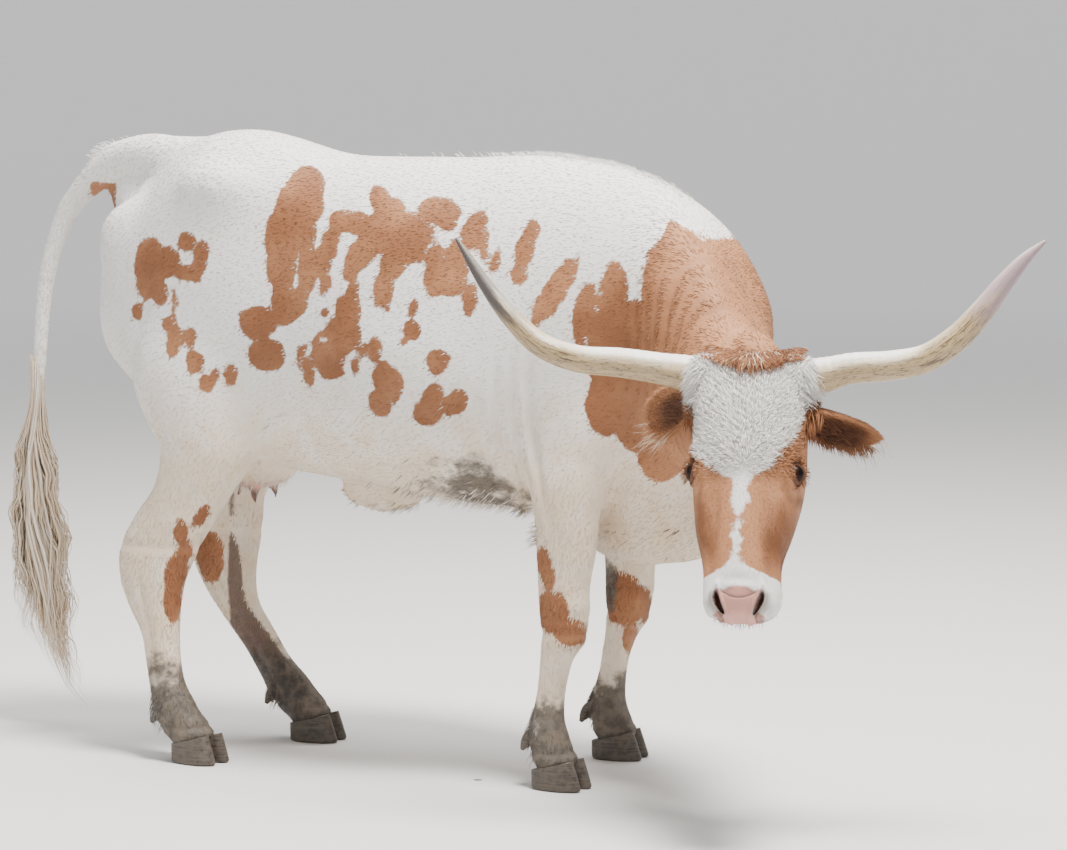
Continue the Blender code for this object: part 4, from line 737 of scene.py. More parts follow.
def dig_nostrils(piece):
    """Pits with a wall that drops fast inside the rim, leaning in towards the middle."""
    points = places(piece)
    left, down, out = head_coordinates(points)
    deep = 1 - ramp(nostril_shape(left, down), 0.55, 1.05)
    deep *= (down > 0.45) & (out > -0.045) & (head_weight(points) > 0.9)
    pull = np.outer(deep * NOSTRIL_PIT, -AXES[:, 2])
    pull += np.outer(deep * 0.004 * np.sign(left), AXES[:, 0])
    place(piece, points + pull)


points = places(skin)
height = face_height(points) + neck_height(points) + body_height(points) + leg_height(points)
points = points + normals(skin) * height[:, None]
points[:, 2] += rump_rise(points)
place(skin, points)
dig_nostrils(skin)

# %% [markdown]
# ## Lids
#
# A lid is too thin and sharp for the skin's mesh, so it is a ring of its own: round an
# almond-shaped opening, with rows that run outwards. On each ray from the eye's centre, the
# row nearest the opening just clears the eyeball, and the last one dips under the skin.

# %% Two rings of lids joined to the skin
LID_OPENING = (0.0235, 0.0160)
EYE_FACING, EYE_SLANT = 48, 18
LID_AROUND, LID_DIP = 72, 0.0016
# share of the way out, and height over the eyeball, in metres
LID_ROWS = [(-0.10, -0.0006), (0.00, 0.0003), (0.03, 0.0013), (0.09, 0.0022), (0.16, 0.0026),
            (0.24, 0.0020), (0.31, 0.0014), (0.39, 0.0026), (0.48, 0.0028), (0.57, 0.0022),
            (0.66, 0.0026), (0.76, 0.0020), (0.88, 0.0010), (1.00, 0.0000)]


def eye_axes(side):
    """Columns: across the opening, along it, and straight out of the eye."""
    outward = Quaternion((0, 1, 0), math.radians(EYE_FACING * -side))
    slant = Quaternion((0, 0, 1), math.radians(EYE_SLANT * side))
    return np.array((HEAD_TURN @ outward @ slant).to_matrix())


def lids(side, tree):
    """Rows of points on rays from the eye: on the ball at first, then eased out to the skin."""
    centre = eye_centre(side)
    axes = eye_axes(side)
    turn = np.linspace(0, 2 * np.pi, LID_AROUND, endpoint=False)
    long, wide = LID_OPENING
    rim_y = long * np.cos(turn)
    almond = 1 - 0.30 * np.cos(turn) ** 2
    rim_x = wide * np.sin(turn) * almond * np.where(np.sin(turn) > 0, 1.0, 0.85)
    rows = []
    for share, over in LID_ROWS:
        x = rim_x * (1 + share * 0.4) + share * 0.024 * np.sin(turn)
        y = rim_y * (1 + share * 0.1) + share * 0.022 * np.cos(turn)
        flat = np.hypot(x, y)
        bend = np.minimum(flat / EYE_RADIUS, 1.45)
        ray = np.stack([np.sin(bend) * x / flat, np.sin(bend) * y / flat, np.cos(bend)], axis=1)
        ray = ray @ axes.T
        hits = [tree.ray_cast(Vector(centre), Vector(r))[3] for r in ray]
        skin_at = np.array([h if h else EYE_RADIUS for h in hits])
        near = EYE_RADIUS + over
        blend = ramp(share, 0.25, 0.95)
        reach = near + (np.maximum(skin_at, near) - near) * blend - LID_DIP * (share == 1.0)
        rows.append(centre + ray * reach[:, None])
    return np.array(rows)


def sink_round_eyes(piece):
    """Skin within the lids' ring drops behind the eyeball, so that only the lids show there."""
    points = places(piece)
    for side in (-1, 1):
        centre = eye_centre(side)
        local = (points - centre) @ eye_axes(side)
        flat = np.hypot(local[:, 0] / 0.034, local[:, 1] / 0.041)
        inside = (1 - ramp(flat, 0.55, 0.86)) * (local[:, 2] > -0.012)
        inside = inside * (head_weight(points) > 0.5)
        length = np.linalg.norm(points - centre, axis=1)
        goal = centre + (points - centre) * np.minimum(1, 0.013 / length)[:, None]
        points += (goal - points) * inside[:, None]
    place(piece, points)


def joined(name, pieces):
    """Several pieces as one mesh, attributes included."""
    with bpy.context.temp_override(active_object=pieces[0], selected_editable_objects=pieces):
        bpy.ops.object.join()
    pieces[0].name = pieces[0].data.name = name
    return pieces[0]


face_tree = tree_of(skin)
LID_GRIDS = {side: lids(side, face_tree) for side in WORDS}
sink_round_eyes(skin)
lid_pieces = []
for side, grid in LID_GRIDS.items():
    rings, around = grid.shape[:2]
    faces = ring_faces(rings, around)
    if side > 0:
        faces = faces[:, ::-1]
    lid_pieces.append(mesh_piece("lid", grid.reshape(-1, 3), [faces]))

# %% [markdown]
# ## Ears
#
# Each ear is a leaf that is curled across its width, with a real thickness. One formula places
# a point from its share of the length, its share of the width and its depth, so the cup, its
# fringe and the hair inside it all use the same places.

# %% Ear cups
EAR_LENGTH, EAR_WIDTH, EAR_THICKNESS, EAR_BEND = 0.165, 0.096, 0.0075, 0.10
EAR_CURL_ROOT, EAR_CURL_TIP = 1.45, 0.75
EAR_RINGS, EAR_AROUND = 30, 50
EAR_GRID = EAR_RINGS * EAR_AROUND
EAR_POINTS = EAR_GRID + 2
EAR_POSES = {
    -1: ((-0.098, 0.060, -0.062), (-0.66, 0.02, -0.75), (-0.55, 0.25, 0.80)),
    1: ((0.098, 0.070, -0.060), (1.0, 0.14, -0.52), (0.18, 0.97, 0.14)),
}
EAR_OUTLINE = [(0, 0.50), (0.2, 0.84), (0.45, 1), (0.7, 0.93), (0.85, 0.70), (0.95, 0.42), (1, 0.14)]


def ear_frame(side):
    """Root, axis, the way the cup opens and the way across, in the head's left, down and out."""
    root, axis, mouth = (np.array(v) for v in EAR_POSES[side])
    axis = axis / np.linalg.norm(axis)
    mouth = mouth - axis * (mouth @ axis)
    mouth = mouth / np.linalg.norm(mouth)
    return root, axis, mouth, np.cross(axis, mouth)


def head_places(local):
    """Left, down and out turned into the cow's own x, y, z for whole arrays."""
    return np.array(POLL) + (local * (-1, 1, 1)) @ AXES.T


def head_directions(local):
    """The same for directions."""
    return (local * (-1, 1, 1)) @ AXES.T


def ear_places(side, s, t, depth):
    """Arc across the ear: radius * (sin, 1 - cos) of the curl angle times t, swept along s."""
    root, axis, mouth, wide = ear_frame(side)
    s, t, depth = np.broadcast_arrays(s, t, depth)
    half = EAR_WIDTH / 2 * np.interp(s, *zip(*EAR_OUTLINE))
    curl = EAR_CURL_ROOT + (EAR_CURL_TIP - EAR_CURL_ROOT) * np.minimum(1, s * 1.5)
    radius = half / np.sin(curl)
    thick = EAR_THICKNESS * (1 - 0.5 * s) * depth
    across = (radius - thick) * np.sin(curl * t)
    inward = radius - (radius - thick) * np.cos(curl * t) + EAR_BEND * EAR_LENGTH * s**2
    local = root + s[..., None] * axis * EAR_LENGTH + across[..., None] * wide
    return head_places(local + inward[..., None] * mouth)


def ear_piece(side):
    """Rings round the leaf's section: the outer face from edge to edge, then back inside."""
    s = np.linspace(0, 1, EAR_RINGS)[:, None]
    out_t = np.linspace(-1, 1, EAR_AROUND // 2)
    t = np.concatenate([out_t, out_t[::-1]])[None]
    round_edge = 0.5 * np.clip((np.abs(out_t) - 0.88) / 0.12, 0, 1) ** 2
    depth = np.concatenate([0.08 + round_edge * 0.7, 0.92 - round_edge[::-1] * 0.7])[None]
    return outwards(closed_grid("ear", ear_places(side, s, t * 0.985, depth)))


skin = joined("skin", [skin, *lid_pieces, ear_piece(-1), ear_piece(1)])
print("with lids and ears", sum(len(p.vertices) - 2 for p in skin.data.polygons), "triangles")

# %% [markdown]
# ## Markings
#
# The cow is white with tan patches. Each patch is a group of ovals, measured in the photograph
# and set on the body: place, half width along the view's horizontal, half height, and lean. A
# point's value is its depth inside the nearest oval in metres, so 0 is the patch's edge, and
# the shader can fray that edge with noise. The left side can't be seen, so its patches are
# made up in the same manner.

# %% Where the coat is tan
VIEW_RIGHT = np.array([0.9063, 0.4226, 0.0])
VIEW_AWAY = np.array([-0.4226, 0.9063, 0.0])
PATCH_DEPTH, OUTSIDE = 0.16, -0.08
# x, y, z of the middle, half width and half height in millimetres, lean to the right at the
# top in degrees
TAN_OVALS = [
    # Rump and thigh
    (-941, -226, 1072, 39, 63, 0), (-950, -227, 1031, 26, 33, 0), (-889, -236, 1082, 28, 35, 0),
    (-909, -237, 1015, 20, 28, 0), (-845, -244, 1062, 30, 17, 0), (-824, -246, 1059, 19, 19, 0),
    (-805, -245, 1089, 17, 47, 10), (-841, -237, 1129, 23, 22, 0), (-976, -223, 973, 14, 20, 0),
    (-867, -246, 997, 8, 26, 0), (-883, -245, 949, 19, 19, 0), (-864, -252, 920, 19, 30, 0),
    (-870, -256, 894, 13, 19, 0), (-827, -252, 921, 15, 24, 0), (-811, -260, 873, 22, 24, 0),
    (-821, -264, 854, 9, 15, 0), (-763, -257, 847, 13, 19, 0), (-782, -264, 825, 17, 21, 0),
    (-725, -255, 844, 15, 27, 0),
    # Loin
    (-585, -172, 1248, 41, 43, 15), (-583, -202, 1209, 53, 51, 15), (-591, -234, 1146, 57, 72, 8),
    (-574, -256, 1078, 59, 64, 0), (-502, -256, 1092, 23, 30, 0), (-489, -268, 1049, 14, 29, 5),
    (-574, -267, 1015, 42, 51, 10), (-587, -269, 979, 38, 23, -15), (-653, -264, 960, 43, 36, 0),
    (-631, -266, 893, 43, 36, 0), (-492, -249, 1117, 21, 25, 40), (-474, -223, 1176, 27, 27, 0),
    (-431, -228, 1172, 25, 27, 0), (-488, -237, 1146, 19, 21, 30), (-394, -195, 1222, 32, 23, 50),
    # Flank, two slanting bands
    (-360, -220, 1192, 34, 38, 40), (-384, -242, 1151, 42, 38, 40),
    (-411, -258, 1109, 29, 38, 35), (-428, -267, 1078, 17, 29, 10), (-417, -278, 1037, 13, 33, 0),
    (-248, -210, 1202, 46, 29, 10), (-223, -222, 1180, 21, 21, 0), (-294, -235, 1167, 50, 27, 30),
    (-309, -251, 1136, 54, 37, 30), (-327, -266, 1097, 29, 42, 25),
    (-343, -282, 1043, 23, 42, 10), (-330, -288, 1019, 8, 21, 0), (-357, -286, 1022, 10, 19, 0),
    # Ribs
    (-229, -267, 1079, 25, 56, 8), (-187, -259, 1087, 27, 58, 5), (-206, -271, 1053, 45, 25, 0),
    (-151, -267, 1023, 16, 37, 8), (-163, -224, 1165, 23, 46, 25), (-137, -233, 1135, 12, 33, 5),
    (-106, -241, 1101, 12, 27, 20), (-38, -202, 1166, 16, 27, 12), (-47, -221, 1126, 21, 41, 12),
    (-54, -236, 1079, 18, 25, 0), (22, -225, 1042, 25, 84, 33), (-271, -290, 1002, 12, 23, 12),
    (-269, -299, 959, 21, 21, 0), (-284, -305, 936, 8, 10, 0), (-212, -298, 895, 23, 29, 0),
    (-193, -294, 904, 12, 8, 0), (-350, -309, 916, 17, 31, 0), (-381, -307, 915, 8, 17, 15),
    (-398, -307, 881, 10, 21, 0),
    # Belly side
    (-425, -287, 991, 29, 42, 0), (-432, -296, 944, 40, 42, 0), (-470, -292, 906, 40, 46, 0),
    (-464, -295, 873, 31, 27, 0), (-538, -276, 892, 17, 30, 0), (-525, -275, 859, 13, 30, 0),
    (-483, -279, 989, 11, 11, 0), (-330, -311, 861, 25, 33, 0), (-304, -309, 847, 19, 35, 0),
    (-339, -304, 808, 27, 35, 10), (-223, -295, 816, 25, 35, 20), (-238, -291, 786, 31, 29, 10),
    (-174, -282, 812, 23, 29, 15), (-195, -281, 791, 17, 10, 0),
    # Shoulder and neck
    (85, -215, 996, 25, 70, 8), (147, -203, 1027, 29, 82, 0), (175, -217, 968, 61, 45, 0),
    (267, -251, 1033, 36, 113, 0), (330, -273, 1037, 44, 116, 0), (404, -269, 1038, 40, 104, 0),
    (433, -223, 1026, 36, 100, 0), (464, -176, 964, 28, 60, 0), (220, -244, 930, 121, 101, 0),
    (399, -360, 886, 119, 119, 0), (514, -329, 848, 79, 118, 0), (128, -209, 812, 41, 65, 0),
    (237, -230, 788, 77, 81, 0), (250, -197, 714, 49, 65, 0),
    # Legs
    (-807, -247, 537, 15, 28, 35), (-851, -262, 502, 17, 30, 0), (-844, -249, 461, 15, 26, 10),
    (-867, -254, 412, 24, 57, 15), (-875, -257, 351, 20, 52, 0), (-8, -217, 485, 17, 33, 0),
    (7, -220, 449, 14, 29, 0), (16, -220, 378, 35, 46, 0), (51, -211, 337, 41, 29, 20),
    (66, 147, 345, 19, 48, -10), (31, 158, 264, 20, 43, -10),
]
WHITE_OVALS = [
    (-561, -264, 1045, 6, 13, 0), (-561, -257, 1076, 3, 17, 0), (-485, -286, 931, 8, 8, 0),
    (-523, -278, 908, 6, 19, 15), (92, -215, 938, 4, 8, 0),
]
# The unseen left side: x, z, half length and half height in millimetres, lean in degrees
LEFT_OVALS = [
    (-980, 1060, 70, 110, 10), (-930, 900, 45, 70, -15), (-860, 1150, 60, 50, 30),
    (-700, 1020, 80, 90, 20), (-620, 1150, 60, 80, 35), (-660, 860, 50, 70, 0),
    (-500, 950, 60, 120, -20), (-460, 1160, 45, 60, 20), (-380, 800, 60, 60, 10),
    (-310, 1020, 50, 110, -30), (-220, 900, 35, 60, 0), (-180, 1120, 40, 70, -15),
    (-250, 720, 45, 50, 20), (-80, 980, 50, 120, -25), (50, 920, 100, 150, 0),
    (180, 1000, 110, 170, 15), (300, 980, 110, 180, 20), (400, 920, 90, 150, 20),
    (160, 760, 90, 100, 0), (20, 620, 30, 70, 10), (-880, 660, 50, 80, 20),
    (-970, 400, 40, 60, 0), (20, 360, 50, 60, 0),
]


def oval_depth(across, up, half, tall, lean):
    """(1 - r) times the smaller half size, where r is 1 on the oval's edge."""
    half, tall = half / 1000, tall / 1000
    c, s = math.cos(math.radians(lean)), math.sin(math.radians(lean))
    a, b = across * c - up * s, across * s + up * c
    return (1 - np.sqrt((a / half) ** 2 + (b / tall) ** 2)) * min(half, tall)


def seen_ovals(points, ovals):
    """Depth in the nearest oval as the camera sees them, for places near an oval's own depth."""
    best = np.full(len(points), OUTSIDE)
    for x, y, z, half, tall, lean in ovals:
        step = points - (x / 1000, y / 1000, z / 1000)
        depth = oval_depth(step @ VIEW_RIGHT, step[:, 2], half, tall, lean)
        depth -= np.maximum(0, np.abs(step @ VIEW_AWAY) - PATCH_DEPTH)
        best = np.maximum(best, depth)
    return best


# Under 1, the edges on the face fray over a wider strip than the body's
FACE_FRAY = 0.34
# The face, left and down from the poll: the lower edge of the white brow, then the blaze's edges
BROW_LEFT = [-0.150, -0.128, -0.116, -0.108, -0.095, -0.059, -0.024,
             0.007, 0.049, 0.088, 0.100, 0.109, 0.122, 0.150]
BROW_DOWN = [0.060, 0.070, 0.105, 0.150, 0.199, 0.230, 0.253,
             0.253, 0.226, 0.163, 0.127, 0.087, 0.055, 0.045]
BLAZE_DOWN = [0.250, 0.287, 0.346, 0.405, 0.425, 0.437, 0.450]
BLAZE_EDGES = ([-0.022, -0.018, -0.009, -0.006, -0.022, -0.050, -0.120],
               [0.018, 0.011, 0.002, 0.004, 0.022, 0.062, 0.120])


def face_tan(points):
    """Tan below a V on the brow, parted by the white blaze and ended by the white muzzle."""
    left, down, out = head_coordinates(points)
    brow = down - np.interp(left, BROW_LEFT, BROW_DOWN)
    low, high = (np.interp(down, BLAZE_DOWN, edge) for edge in BLAZE_EDGES)
    blaze = np.where(out < -0.08, 0.1, np.maximum(low - left, left - high))
    side = np.abs(left - muzzle_side(down))
    muzzle = 0.443 - down + 0.15 * np.maximum(side - 0.03, 0) - 0.35 * np.maximum(-0.05 - out, 0)
    return FACE_FRAY * np.minimum.reduce([brow, blaze, muzzle])


def tan_depth(points):
    """Metres inside (+) or outside (-) the nearest patch, for any points on the cow."""
    x, y, z = points.T
    best = seen_ovals(points, TAN_OVALS)
    for ox, oz, half, tall, lean in LEFT_OVALS:
        depth = oval_depth(x - ox / 1000, z - oz / 1000, half, tall, lean)
        best = np.maximum(best, np.where(y > 0.05, depth, OUTSIDE))
    crest = 1.262 - 0.52 * np.maximum(x - 0.10, 0) - 0.25 * np.maximum(x - 0.34, 0)
    neck_tan = np.minimum(np.minimum(crest - z, x - 0.235), z - 0.70)
    best = np.maximum(best, np.where(y < 0.16, neck_tan, OUTSIDE))
    tail_base = [0.045 - np.hypot(x + 1.165, y + 0.02), z - 0.95, 1.243 - z]
    best = np.maximum(best, np.minimum.reduce(tail_base))
    best = np.minimum(best, -seen_ovals(points, WHITE_OVALS))
    return np.where(head_weight(points) > 0.5, face_tan(points), best)


def dirt_depth(points):
    """Mud: 1 at the feet, thinning upwards; a smear on the belly and behind the far knee."""
    x, y, z = points.T
    feet = 1 - ramp(z, 0.10, np.where(x < -0.4, 0.36, 0.30))
    belly = bump_at(z, 0.60, 0.085) * bump_at(x, -0.20, 0.17) * 0.80
    belly += 0.40 * bump_at(z, 0.675, 0.040) * bump_at(x, -0.17, 0.07)
    behind = ramp(leg_middle("fore_left", np.clip(z, 0.03, 0.85))[0] - x, -0.015, 0.020)
    knee = bump_at(z, 0.40, 0.12) * (y > 0) * (x > -0.3) * 0.8 * behind
    hock = bump_at(z, 0.40, 0.16) * (x < -0.4) * 0.25
    all_mud = [feet, belly * (y < 0.2), knee * (z < 0.6), hock * (z < 0.7)]
    return np.clip(np.maximum.reduce(all_mud), 0, 1)


def painted_low_shade(points):
    """Painted warm shade: most low on the body, little on the back and the head."""
    low = np.clip(0.64 - 0.78 * ramp(points[:, 2], 0.55, 1.08), 0, 1)
    return low * (1 - head_weight(points)) + 0.1


PAD_DOWN = [0.455, 0.470, 0.490, 0.505, 0.512, 0.520]
PAD_HALF = [0.040, 0.048, 0.042, 0.031, 0.046, 0.068]


def pink_depth(points):
    """Bare skin: the pad of the nose, the lips, the teats and the udder."""
    left, down, out = head_coordinates(points)
    side = np.abs(left - muzzle_side(down))
    top = 0.4605 + 0.008 * bump_at(side, 0.032, 0.012)
    half = np.interp(down, PAD_DOWN, PAD_HALF)
    pad = np.minimum.reduce([(down - top) / 0.005, (half - side) / 0.005, (out + 0.078) / 0.006])
    udder = (0.605 - points[:, 2]) / 0.02 * (np.abs(points[:, 0] + 0.82) < 0.10)
    udder = np.minimum(udder, (0.10 - np.abs(points[:, 1] + 0.025)) / 0.02)
    face = np.where(head_weight(points) > 0.5, pad, -1)
    return np.clip(np.maximum(face, udder), 0, 1) * (1 - nostril_depth(points))


# depth of tan, + for painted shade in the grooves, - for painted light on the bones and on the lit right
# cheek by the muzzle; then middle and width to the left and down the face; 1 if alike on both sides
FACE_PAINTED_LIGHT_AND_SHADE = [
    (0.42, 0.078, 0.020, 0.36, 0.075, 0), (0.42, -0.078, 0.018, 0.335, 0.075, 0),
    (0.26, 0.052, 0.010, 0.385, 0.045, 1), (-0.30, 0.026, 0.020, 0.330, 0.090, 1),
    (-0.26, -0.070, 0.014, 0.425, 0.030, 0), (-0.18, 0.080, 0.030, 0.250, 0.045, 1),
]


def tone_with_painted_light(points):
    """0.6 on the body, paler on the neck as painted light; on the face deep in its grooves as painted
    shade, pale on its bones as painted light.
    """
    left, down, _ = head_coordinates(points)
    side = np.abs(left - muzzle_side(down))
    tone = 0
    for amount, beside, wide, low, tall, alike in FACE_PAINTED_LIGHT_AND_SHADE:
        where = side if alike else left
        tone = tone + amount * bump_at(where, beside, wide) * bump_at(down, low, tall)
    nose = ramp(down, 0.452, 0.460)
    mottled = 0.20 * bump_at(down, 0.470, 0.009) * bump_at(side, 0.021, 0.014) - 0.12
    body = 0.62 - 0.22 * ramp(points[:, 0], 0.16, 0.34)
    return np.where(head_weight(points) > 0.5, 0.40 + tone * (1 - nose) + mottled * nose, body)


def nostril_depth(points):
    """1 inside the nostrils."""
    left, down, out = head_coordinates(points)
    nose = (down > 0.44) & (out > -0.07) & (head_weight(points) > 0.5)
    return nose * (1 - ramp(nostril_shape(left, down), 0.80, 1.18))


def dark_and_painted_shade(points):
    """Dark brown: the lids, tear lines and the ends of the teats; and painted shade in the nostrils and
    outside them, along the mouth, in the fold of the pad and in the grooves of the face."""
    left, down, out = head_coordinates(points)
    middle = left - muzzle_side(down)
    side = np.abs(middle)
    nose = (down > 0.44) & (out > -0.105)
    # Painted shade outside each nostril, where its wing curls in
    outside = side > np.interp(down, [0.468, 0.512], [0.046, 0.030])
    wing = 0.72 * (1 - ramp(nostril_shape(left, down), 1.0, 4.2)) * ramp(down, 0.462, 0.478)
    wing = wing * nose * outside
    corner = 0.40 * nose * bump_at(side, 0.062, 0.014) * bump_at(down, 0.512, 0.010)
    band = 0.34 * nose * bump_at(down, 0.4685, 0.0060) * bump_at(side, 0.021, 0.011)
    # Painted shade along the line of the mouth and in the grooves of the face
    mouth = 0.75 * bump_at(mouth_height(middle, down, out), 0, 0.0035) * ramp(down, 0.425, 0.455)
    groove = 0.24 * bump_at(left, 0.056, 0.013) * bump_at(down, 0.375, 0.055) * (out > -0.06)
    groove += 0.20 * bump_at(left, 0.083, 0.022) * bump_at(down, 0.350, 0.050)
    groove += 0.20 * bump_at(left, -0.066, 0.013) * bump_at(down, 0.345, 0.045)
    # Painted shade in the crease across the pad
    fold = 0.45 * bump_at(down - (0.4835 - 10 * middle**2), 0, 0.0022) * (side < 0.036) * nose
    eye = eye_distance(points)
    lid = 0.85 * (1 - ramp(eye, LID_OPENING[0] + 0.0012, LID_OPENING[0] + 0.0036))
    tear = side - 0.104 + 0.25 * (down - 0.262)
    tear = 0.6 * bump_at(tear, 0, 0.0025) * bump_at(down, 0.266, 0.012)
    x, y, z = points.T
    teats = 0.8 * ramp(-z, -0.582, -0.566) * (np.abs(x + 0.82) < 0.10) * (np.abs(y + 0.025) < 0.10)
    # Painted shade inside the nostrils' pits comes in with nostril_depth
    face = [nostril_depth(points), wing, corner, band, mouth, groove, fold, lid, tear]
    return np.where(head_weight(points) > 0.5, np.maximum.reduce(face), teats)


def eye_distance(points):
    """Distance from the eyes in the plane of the lids' opening, stretched to make its rim even."""
    best = np.full(len(points), 1.0)
    for side in (-1, 1):
        centre = eye_centre(side)
        local = (points - centre) @ eye_axes(side)
        flat = np.hypot(local[:, 0] * LID_OPENING[0] / LID_OPENING[1], local[:, 1])
        best = np.minimum(best, np.where(local[:, 2] > -0.01, flat, 1.0))
    return best


# %% [markdown]
# ## How the hair lies, and a map of the skin
#
# Hair lies backwards and down on the trunk, back along the neck, down the legs and the tail. On the face
# it parts from a whorl between the eyes. The map of the skin unrolls each part like a label off a tin: one
# coordinate along the part, one round it, each part in a rectangle of its own. Every tuft gets a small
# patch at its root's place on that map.

# %% Lie of the coat and the unrolled map
TAIL_LINE = np.array(TAIL)[:, :3]
WHORL_DOWN = 0.235


def direction_of(points, line):
    """The direction of a line at the nearest of its 48 fine points."""
    fine = smooth_rows(line, 48)
    nearest = np.argmin(((points[:, None] - fine[None]) ** 2).sum(axis=2), axis=1)
    return unit(np.gradient(fine, axis=0))[nearest]


def lie_of_coat(points, normal):
    """Unit directions in the skin: each part's own direction, mixed by how near the part is."""
    x, _, z = points.T
    lie = np.zeros((len(points), 3)) + (-1.0, 0, -0.45)
    lie[:, 2] -= 0.5 * ramp(-x, 0.75, 1.05)
    neck = ramp(x, 0.10, 0.34)[:, None]
    lie = lie * (1 - neck) + neck * np.array([-0.55, 0.62, -0.42])
    legs = (ramp(-leg_distance(points), -0.17, -0.11) * (1 - ramp(z, 0.55, 0.85)))[:, None]
    lie = lie * (1 - legs) + legs * np.array([-0.22, 0, -1])
    behind = np.where(x < TAIL_BEHIND)[0]
    if len(behind):
        lie[behind] = direction_of(points[behind], TAIL_LINE)
    left, down, _ = head_coordinates(points)
    fan_left = left - 0.004
    fan_down = 0.40 * (down - WHORL_DOWN) + 0.25 * np.minimum(0, np.abs(left) - 0.02)
    spread = np.hypot(fan_left, fan_down) + 1e-6
    whorl = np.stack([fan_left / spread, fan_down / spread, 0 * spread], axis=1)
    low = ramp(down, WHORL_DOWN, WHORL_DOWN + 0.09)[:, None]
    whorl = whorl * (1 - low) + low * np.array([0, 1.0, 0])
    head = head_weight(points)[:, None]
    lie = lie * (1 - head) + head * head_directions(whorl)
    return unit(lie - normal * np.sum(lie * normal, axis=1, keepdims=True))


MAP_BOXES = {
    "trunk": (0.01, 0.01, 0.49, 0.78), "neck": (0.51, 0.01, 0.24, 0.58),
    "head": (0.76, 0.01, 0.23, 0.44), "ears": (0.76, 0.46, 0.23, 0.13), "tail": (0.51, 0.61, 0.48, 0.09),
    "fore_right": (0.51, 0.71, 0.24, 0.13), "fore_left": (0.75, 0.71, 0.24, 0.13),
    "hind_right": (0.51, 0.85, 0.24, 0.13), "hind_left": (0.75, 0.85, 0.24, 0.13),
}


def map_places(points):
    """u along each part, v the angle round its middle line, both set into the part's rectangle."""
    x, y, z = points.T
    left, down, out = head_coordinates(points)
    share = np.zeros((len(points), 2))
    part = np.zeros(len(points), int)
    names = list(MAP_BOXES)

    def fill(name, chosen, u, v):
        share[chosen] = np.stack([u, v], axis=1)[chosen]
        part[chosen] = names.index(name)

    def round_share(a, b):
        return np.arctan2(a, b) / (2 * np.pi) + 0.5

    fill("trunk", part == 0, (x + 1.25) / 1.60, round_share(y, z - 0.90))
    fill("neck", x > 0.18, (x - 0.15) / 0.45, round_share(y + 0.6 * (x - 0.15), z - 0.92))
    for name in LEG_LINES:
        mx, my = leg_middle(name, np.clip(z, 0.03, 0.85))
        leg = (np.hypot(x - mx, y - my) < 0.12) & (z < 0.52)
        fill(name, leg, z / 0.53, round_share(y - my, x - mx))
    fill("tail", x < TAIL_BEHIND, z / 1.35, round_share(y + 0.02, x + 1.34))
    head = head_weight(points) > 0.5
    fill("head", head, (down + 0.06) / 0.60, round_share(left, out + 0.08))
    ears = head & (np.abs(left) > 0.125)
    fill("ears", ears, (np.abs(left) - 0.12) / 0.3 + 0.5 * (left > 0), (down + 0.1) / 0.4)
    box = np.array(list(MAP_BOXES.values()))[part]
    return box[:, :2] + np.clip(share, 0, 1) * box[:, 2:]

# %% [markdown]
# ## Colours of skin and hair
#
# Skin and tufts share one node group, so a patch of tan hair always grows from tan skin. Each point
# carries a few numbers: depth inside a patch, dirt, cream (on the body a painted warm shade, most low
# down), bare pink skin, the dark of the ear's inside (also painted shade on the face and brow), a tone of
# tan (painted light and shade on the face and neck), a tint of its own tuft, and how near it is to the
# tuft's tip (painted shade towards the root). The group turns them into a colour and frays every border
# with noise.

# %% Node helpers and the shared groups
WHITE = (0.82, 0.800, 0.770, 1)
CREAM = (0.70, 0.555, 0.40, 1)
TAN_LIGHT = (0.42, 0.190, 0.088, 1)
TAN_DEEP = (0.225, 0.085, 0.033, 1)
MUD_DARK = (0.035, 0.031, 0.028, 1)
MUD_PALE = (0.115, 0.092, 0.070, 1)
PINK = (0.54, 0.275, 0.225, 1)
PINK_GREY = (0.26, 0.175, 0.17, 1)
# Dark brown of the hair inside the ears, used also for painted shade on the face and brow
DARK_BROWN_AND_PAINTED_SHADE = (0.050, 0.016, 0.008, 1)


def node(tree, kind, inputs=(), **settings):
    """A new node with its settings and inputs given; an input may be a value or a socket."""
    made = tree.nodes.new(kind)
    for key, value in settings.items():
        setattr(made, key, value)
    for key, value in dict(inputs).items():
        if isinstance(value, bpy.types.NodeSocket):
            tree.links.new(value, made.inputs[key])
        else:
            made.inputs[key].default_value = value
    return made


def calc(tree, operation, a, b=0.0, c=0.0):
    """One operation of a math node."""
    return node(tree, "ShaderNodeMath", {0: a, 1: b, 2: c}, operation=operation).outputs[0]


def times(tree, a, b):
    """a * b."""
    return calc(tree, "MULTIPLY", a, b)


def scaled(tree, value, by, plus):
    """value * by + plus."""
    return calc(tree, "MULTIPLY_ADD", value, by, plus)


def varied(tree, value, amount, base):
    """base + amount * (value - 0.5), for noise whose middle is 0.5."""
    return scaled(tree, calc(tree, "SUBTRACT", value, 0.5), amount, base)


def blend(tree, factor, a, b, kind="MIX"):
    """Colour a at factor 0, b at factor 1."""
    sockets = {"Factor": factor, 6: a, 7: b}
    return node(tree, "ShaderNodeMix", sockets, data_type="RGBA", blend_type=kind).outputs[2]


def blend_value(tree, factor, a, b):
    """Number a at factor 0, b at factor 1."""
    return node(tree, "ShaderNodeMix", {0: factor, 2: a, 3: b}, data_type="FLOAT").outputs[0]


def step(tree, value, low, high):
    """0 below low, 1 above high, smooth between."""
    sockets = {0: value, 1: low, 2: high}
    return node(tree, "ShaderNodeMapRange", sockets, interpolation_type="SMOOTHSTEP").outputs[0]


